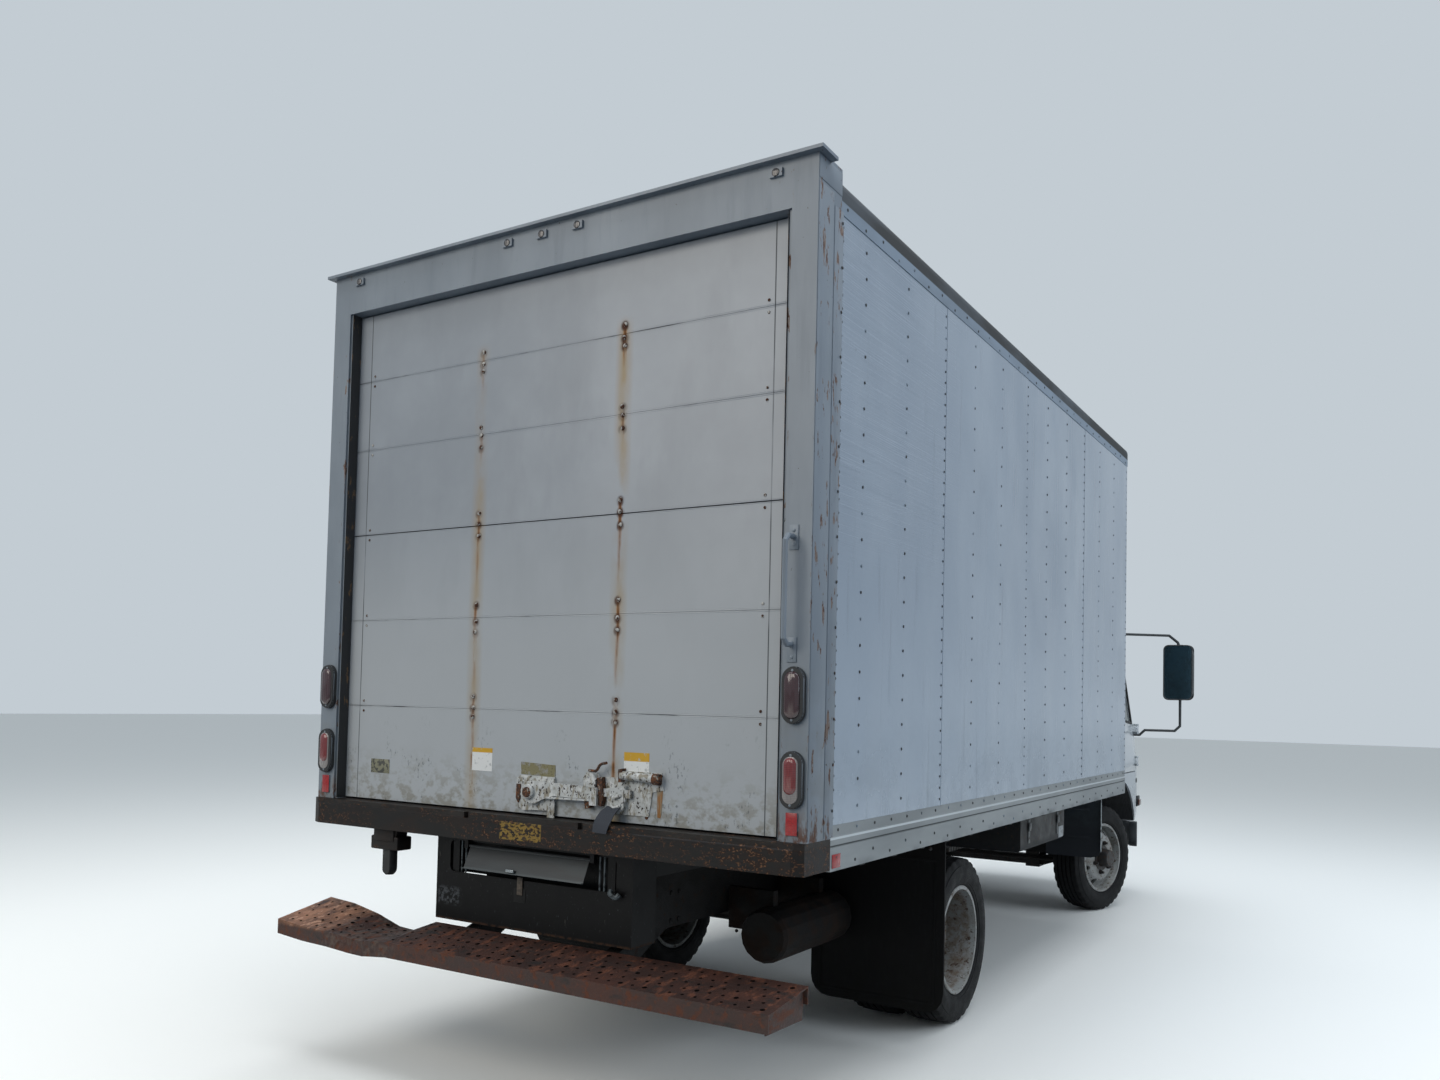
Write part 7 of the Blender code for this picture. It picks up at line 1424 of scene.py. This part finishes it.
# Lamps on the cab's front
# Headlamps: a moulded glass lens over a bright bowl, in a black bezel. Beside each, round the corner,
# an amber turn lamp, and low on each skirt a small dark side lamp on a bracket.
lens_glass, tree, shader = painted("fluted_headlamp_glass", "#8f9a9c", 0.08, coat_weight=0.8)
flutes = add(tree, "ShaderNodeTexWave", {"Vector": add(tree, "ShaderNodeTexCoord").outputs["Object"],
                                         "Scale": 34.0}, bands_direction="Y")
coat(tree, shader, "#c3cbcc", within(tree, flutes.outputs["Fac"], 0.7), 0.15, 0.6)
relief(tree, shader, flutes.outputs["Fac"], 0.0012)
amber = lens_finish("amber_acrylic_lens", "#a8530f", "#d98a2b")
bezels, turn_lamps, side_lamps, brackets = bmesh.new(), bmesh.new(), bmesh.new(), bmesh.new()
for side, name in ((-1, "right"), (1, "left")):
    dress("headlamp_" + name, lens_glass)
    ends = sorted((side * 0.553, side * 0.847))
    edge = [(6.7, ends[0], 0.833), (6.7, ends[1], 0.833), (6.7, ends[1], 1.007), (6.7, ends[0], 1.007)]
    bead(bezels, outline_on("cab_front", edge, (-1, 0, 0), 0.03), 0.008)
    grid = []
    for row in range(5):
        z = 0.848 + 0.144 * row / 4
        line = []
        for step in range(7):
            a = math.radians(38 + 30 * step / 6)
            aim = Vector((math.cos(a), side * math.sin(a), 0))
            spot = dropped("cab_front", Vector((6.30, side * 0.68, z)) + aim * 0.4, -aim)
            if spot:
                swell = 0.014 if 0 < row < 4 and 0 < step < 6 else 0.006
                line.append((turn_lamps.verts.new(spot[0] + spot[1] * swell),
                             turn_lamps.verts.new(spot[0] - spot[1] * 0.001)))
        grid.append(line)
    thin_pad(turn_lamps, grid)
    spot = dropped("cab_front", (6.33, side * BESIDE_CAB, 0.79), (0, -side, 0))
    face_y = spot[0].y if spot else side * 1.03
    low, high = sorted((face_y + side * 0.0005, face_y + side * 0.016))
    block(brackets, (6.285, low, 0.748), (6.375, high, 0.832), 0.004)
    low, high = sorted((face_y + side * 0.0162, face_y + side * 0.030))
    block(side_lamps, (6.293, low, 0.757), (6.367, high, 0.805), 0.006)
piece("headlamp_bezels", bezels, handle_black, "cab", 60)
piece("turn_lamps", turn_lamps, amber, "cab", 50)
piece("side_lamp_brackets", brackets, handle_black, "cab")
piece("side_lamps", side_lamps, lens_finish("dark_side_lamp_lens", "#4a2010", "#6d3a1c"), "cab")
# Thin black pads on the skirts below the doors' front edges: painted shade for the dark gap under each door
gap_shade_pads = bmesh.new()
for side in (-1, 1):
    pad_on(gap_shade_pads, "cab_front", 6.215, 6.40, 0.944, 0.976, side, 0.004)
piece("door_gap_shade_strips", gap_shade_pads, handle_black, "cab")


# Grille, bumper and wipers
# A moulded black grille, a pressed bumper sprayed dark grey with road scars, and two
# wiper arms whose rubber blades lie on the glass.
grille_plastic, tree, shader = painted("moulded_black_grille", "#1b1d1e", 0.45)
coat(tree, shader, "#3a3b39", patches(tree, 0.05, 0.48, 0.66), 0.75)
relief(tree, shader, patches(tree, 0.0015, 0.3, 0.7, detail=1.0), 0.0002)
dress("grille", grille_plastic)
bumper_paint, tree, shader = painted("stone_chipped_grey_paint", "#3b4043", 0.42)
coat(tree, shader, "#55595a", patches(tree, 0.3, 0.42, 0.66), 0.5)
chips = patches(tree, 0.010, 0.64, 0.66, detail=5.0, shift=5.0)
coat(tree, shader, "#4d2f20", chips, 0.85)
relief(tree, shader, chips, -0.0005)
coat(tree, shader, "#25282a", within(tree, along(tree, "Z", 0.50, 0.41), patches(tree, 0.05, 0.40, 0.60)),
     0.8)
wipers = bmesh.new()
for foot_y, tip_y in ((0.62, 0.12), (-0.10, -0.60)):
    spots = []
    for step in range(9):
        share = step / 8
        point = (AHEAD_OF_CAB, foot_y + (tip_y - foot_y) * share, 1.452 + 0.10 * share)
        spot = dropped("windscreen", point, (-1, 0, 0)) or dropped("cab_front", point, (-1, 0, 0))
        if spot:
            spots.append(spot[0] + spot[1] * (0.026 if 0 < step < 8 else 0.012))
    rod(wipers, spots, 0.0055, 6)
    blade = []
    for step in range(13):
        share = step / 12
        spot = dropped("windscreen", (AHEAD_OF_CAB, tip_y + 0.22 - 0.50 * share, 1.510 + 0.075 * share),
                       (-1, 0, 0))
        if spot:
            blade.append(spot[0] + spot[1] * 0.0075)
    rod(wipers, blade, 0.0065, 6)
    rivet(wipers, spots[0] - Vector((0.004, 0, 0)), (1, 0, 0), 0.016, 0.024, 12)
piece("wipers", wipers, handle_black, "cab", 50)


# Mirrors
# A blow-moulded dark grey shell that bulges forward, a flat silvered glass in its rear face, and a
# powder-coated tube above and below that ends in feet on the cab.
mirror_shell, tree, shader = painted("grained_mirror_shell", "#26292b", 0.5)
relief(tree, shader, patches(tree, 0.0016, 0.3, 0.7, detail=1.0), 0.0002)
coat(tree, shader, "#35393b", patches(tree, 0.08, 0.45, 0.65), 0.6)
silvered, tree, shader = painted("silvered_mirror_glass", "#5a7176", 0.06, 1.0)
coat(tree, shader, "#425459", patches(tree, 0.12, 0.40, 0.66), 0.12, 0.85)
MIRROR_REAR_X, MIRROR_FRONT_X = 6.3625, 6.4375
MIRROR_IN_Y, MIRROR_OUT_Y, MIRROR_LOW, MIRROR_HIGH = 1.205, 1.430, 1.620, 2.070


def mirror_ring(side, draw, corner=0.045, steps=7):
    """The mirror head's outline in Y and Z, drawn in by a distance."""
    ring = []
    for centre_y, centre_z, start in ((MIRROR_OUT_Y - corner, MIRROR_HIGH - corner, 0),
                                      (MIRROR_IN_Y + corner, MIRROR_HIGH - corner, 90),
                                      (MIRROR_IN_Y + corner, MIRROR_LOW + corner, 180),
                                      (MIRROR_OUT_Y - corner, MIRROR_LOW + corner, 270)):
        for step in range(steps + 1):
            a = math.radians(start + 90 * step / steps)
            reach = max(corner - draw, 0.004)
            ring.append((side * (centre_y + reach * math.cos(a)), centre_z + reach * math.sin(a)))
    return ring


for side, name in ((-1, "right"), (1, "left")):
    dress("mirror_" + name, mirror_shell)
    shell = bmesh.new()
    dome(shell, [(MIRROR_FRONT_X + 0.0004, mirror_ring(side, 0.001)),
                 (MIRROR_FRONT_X + 0.010, mirror_ring(side, 0.004)),
                 (MIRROR_FRONT_X + 0.020, mirror_ring(side, 0.014)),
                 (MIRROR_FRONT_X + 0.026, mirror_ring(side, 0.028))])
    piece("mirror_shell_" + name, shell, mirror_shell, "cab", 50)
    rim = bmesh.new()
    edge = [Vector((MIRROR_REAR_X - 0.0035, y, z)) for y, z in mirror_ring(side, 0.006)]
    bead(rim, edge, 0.0040, 8)
    piece("mirror_rim_" + name, rim, mirror_shell, "cab", 60)
    face = bmesh.new()
    dome(face, [(MIRROR_REAR_X - 0.0030, mirror_ring(side, 0.010)),
                (MIRROR_REAR_X - 0.0004, mirror_ring(side, 0.009))])
    piece("mirror_glass_" + name, face, silvered, "cab", 30)


# Dashboard and steering wheel
# Injection-moulded grained plastic: a binnacle with two blank dials, louvred vents and a lidded
# box; the wheel is foamed over a steel ring, with a soft pad at its hub.
grained, tree, shader = painted("grained_grey_moulding", "#2b2f33", 0.6)
relief(tree, shader, patches(tree, 0.0018, 0.3, 0.7, detail=1.0), 0.0003)
coat(tree, shader, "#3a3e42", patches(tree, 0.2, 0.45, 0.66), 0.65)
dress("dashboard", grained)
dress("steering_wheel", handle_black)
moulding, dials = bmesh.new(), bmesh.new()
block(moulding, (6.270, 0.200, 1.436), (6.400, 0.640, 1.520), 0.016)
for y in (-0.62, -0.30, 0.05, 0.78):
    block(moulding, (6.290, y - 0.055, 1.355), (6.302, y + 0.055, 1.425), 0.004)
    for row in range(4):
        block(moulding, (6.284, y - 0.048, 1.362 + row * 0.015), (6.292, y + 0.048, 1.367 + row * 0.015),
              0.001)
block(moulding, (6.2885, -0.78, 1.235), (6.3005, -0.34, 1.335), 0.004)
piece("dashboard_mouldings", moulding, grained, "cab")
dial_face, tree, shader = painted("printed_dial_face", "#101214", 0.3)
ticks = add(tree, "ShaderNodeTexWave", {"Vector": add(tree, "ShaderNodeTexCoord").outputs["Object"],
                                        "Scale": 60.0}, bands_direction="Z")
coat(tree, shader, "#9aa0a0", within(tree, ticks.outputs["Fac"], 0.15))
for y in (0.32, 0.52):
    rivet(dials, (6.2698, y, 1.478), (-1, 0, 0), 0.034, 0.003, 28)
piece("blank_dials", dials, dial_face, "cab", 60)
pad = bmesh.new()
turned(pad, [(0.0, -0.018), (0.060, -0.018), (0.072, -0.008), (0.066, 0.010), (0.040, 0.018), (0.0, 0.020)],
       32)
lean = Matrix.Rotation(math.radians(20), 4, "Y") @ Matrix.Rotation(math.radians(90), 4, "X")
bmesh.ops.transform(pad, matrix=Matrix.Translation((6.020, 0.420, 1.515)) @ lean, verts=pad.verts)
piece("steering_wheel_pad", pad, handle_black, "cab", 50)


# Cab pressings
# The shells themselves: 1 mm sheet, whose folds are round and whose curved panels run smoothly from
# edge to edge. Each stands in place of the flat-sided solid of the same name.
FOLD_RADIUS = 0.0025


def eased(name, node, material, body):
    """A pressing that stands for a CAD node: its long curves smooth, its edges turned on a radius."""
    work = bmesh.new()
    work.from_mesh(nodes[node].data)
    bmesh.ops.remove_doubles(work, verts=work.verts, dist=1e-5)
    bmesh.ops.dissolve_limit(work, angle_limit=math.radians(1.0), verts=work.verts, edges=work.edges)
    sharp = [edge for edge in work.edges if len(edge.link_faces) == 2
             and edge.calc_face_angle(0) > math.radians(50)]
    bmesh.ops.bevel(work, geom=sharp, offset=FOLD_RADIUS, offset_type="WIDTH", segments=2, profile=0.5,
                    affect="EDGES", clamp_overlap=True)
    bmesh.ops.translate(work, vec=(-STERN_X, 0, 0), verts=work.verts)
    made = piece(name, work, material, body, 32)
    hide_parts(node)


for name, node, body in (
        ("cab_back_pressing", "cab_back", "cab"), ("cab_roof_pressing", "cab_roof", "cab"),
        ("cab_front_pressing", "cab_front", "cab"), ("door_pressing_left", "door_left", "door_left"),
        ("door_pressing_right", "door_right", "door_right")):
    eased(name, node, cab_white, body)
eased("bumper_pressing", "front_bumper", bumper_paint, "chassis")


# Bench seat
# Moulded foam in grey vinyl: a cushion and a back, each blown up by a short cloth simulation, then
# drawn in along sewn channels. The vinyl is embossed with a fine hide grain and shines where it is sat on.
vinyl, tree, shader = painted("embossed_grey_vinyl", "#43484e", 0.42)
hide = add(tree, "ShaderNodeTexVoronoi",
           {"Vector": add(tree, "ShaderNodeTexCoord").outputs["Object"], "Scale": 420.0})
relief(tree, shader, hide.outputs["Distance"], 0.0004)
coat(tree, shader, "#5a6067", patches(tree, 0.22, 0.45, 0.66), 0.34)
coat(tree, shader, "#2c2f33", patches(tree, 0.05, 0.60, 0.70), 0.6)
SEAT_HALF = 0.778
SEAM_PITCH = 0.260


def stuffed(name, low, high, lean, crown):
    """A foam pad between two corners: blown up, kept within a crown, then sewn in channels across."""
    work = bmesh.new()
    block(work, low, high, 0.035)
    middle = (Vector(low) + Vector(high)) / 2
    for vert in work.verts:
        vert.co.x += lean * (vert.co.z - low[2])
    data = bpy.data.meshes.new(name)
    work.to_mesh(data)
    work.free()
    pad = bpy.data.objects.new(name, data)
    scene.collection.objects.link(pad)
    remesh = pad.modifiers.new("even_cells", "REMESH")
    remesh.mode, remesh.voxel_size = "VOXEL", 0.022
    view = bpy.context.evaluated_depsgraph_get()
    even = bpy.data.meshes.new_from_object(pad.evaluated_get(view))
    pad.modifiers.clear()
    pad.data = even
    start = [vert.co.copy() for vert in even.vertices]
    cloth = pad.modifiers.new("foam", "CLOTH")
    cloth.settings.use_pressure = True
    cloth.settings.uniform_pressure_force = 4.0
    cloth.settings.effector_weights.gravity = 0.0
    cloth.settings.quality = 4
    for step in range(1, 15):
        scene.frame_set(step)
    blown = bpy.data.meshes.new_from_object(pad.evaluated_get(bpy.context.evaluated_depsgraph_get()))
    pad.modifiers.clear()
    scene.frame_set(1)
    for vert, at in zip(blown.vertices, start):
        swell = vert.co - at
        vert.co = at + swell * min(1.0, crown / max(swell.length, 1e-6))
    pad.data = blown
    made = bmesh.new()
    made.from_mesh(pad.data)
    bpy.data.objects.remove(pad)
    bmesh.ops.subdivide_edges(made, edges=made.edges, cuts=1, use_grid_fill=True)
    bmesh.ops.smooth_vert(made, verts=made.verts, factor=0.5, use_axis_x=True, use_axis_y=True,
                          use_axis_z=True)
    for vert in made.verts:
        off = abs((vert.co.y + SEAM_PITCH / 2) % SEAM_PITCH - SEAM_PITCH / 2)
        depth = 0.012 * math.exp(-(off / 0.010) ** 2)
        toward = (Vector((middle.x + lean * (vert.co.z - low[2]), vert.co.y, middle.z)) - vert.co)
        if toward.length > 0.02:
            vert.co += toward.normalized() * depth
    thing = piece(name, made, vinyl, "cab", 60)
    return thing


cushion = stuffed("seat_cushion", (5.185, -SEAT_HALF + 0.02, 1.215), (5.745, SEAT_HALF - 0.02, 1.385), 0.0,
                  0.018)
stuffed("seat_back", (5.165, -SEAT_HALF + 0.02, 1.405), (5.285, SEAT_HALF - 0.02, 1.940), -0.04, 0.016)
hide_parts("bench_seat")
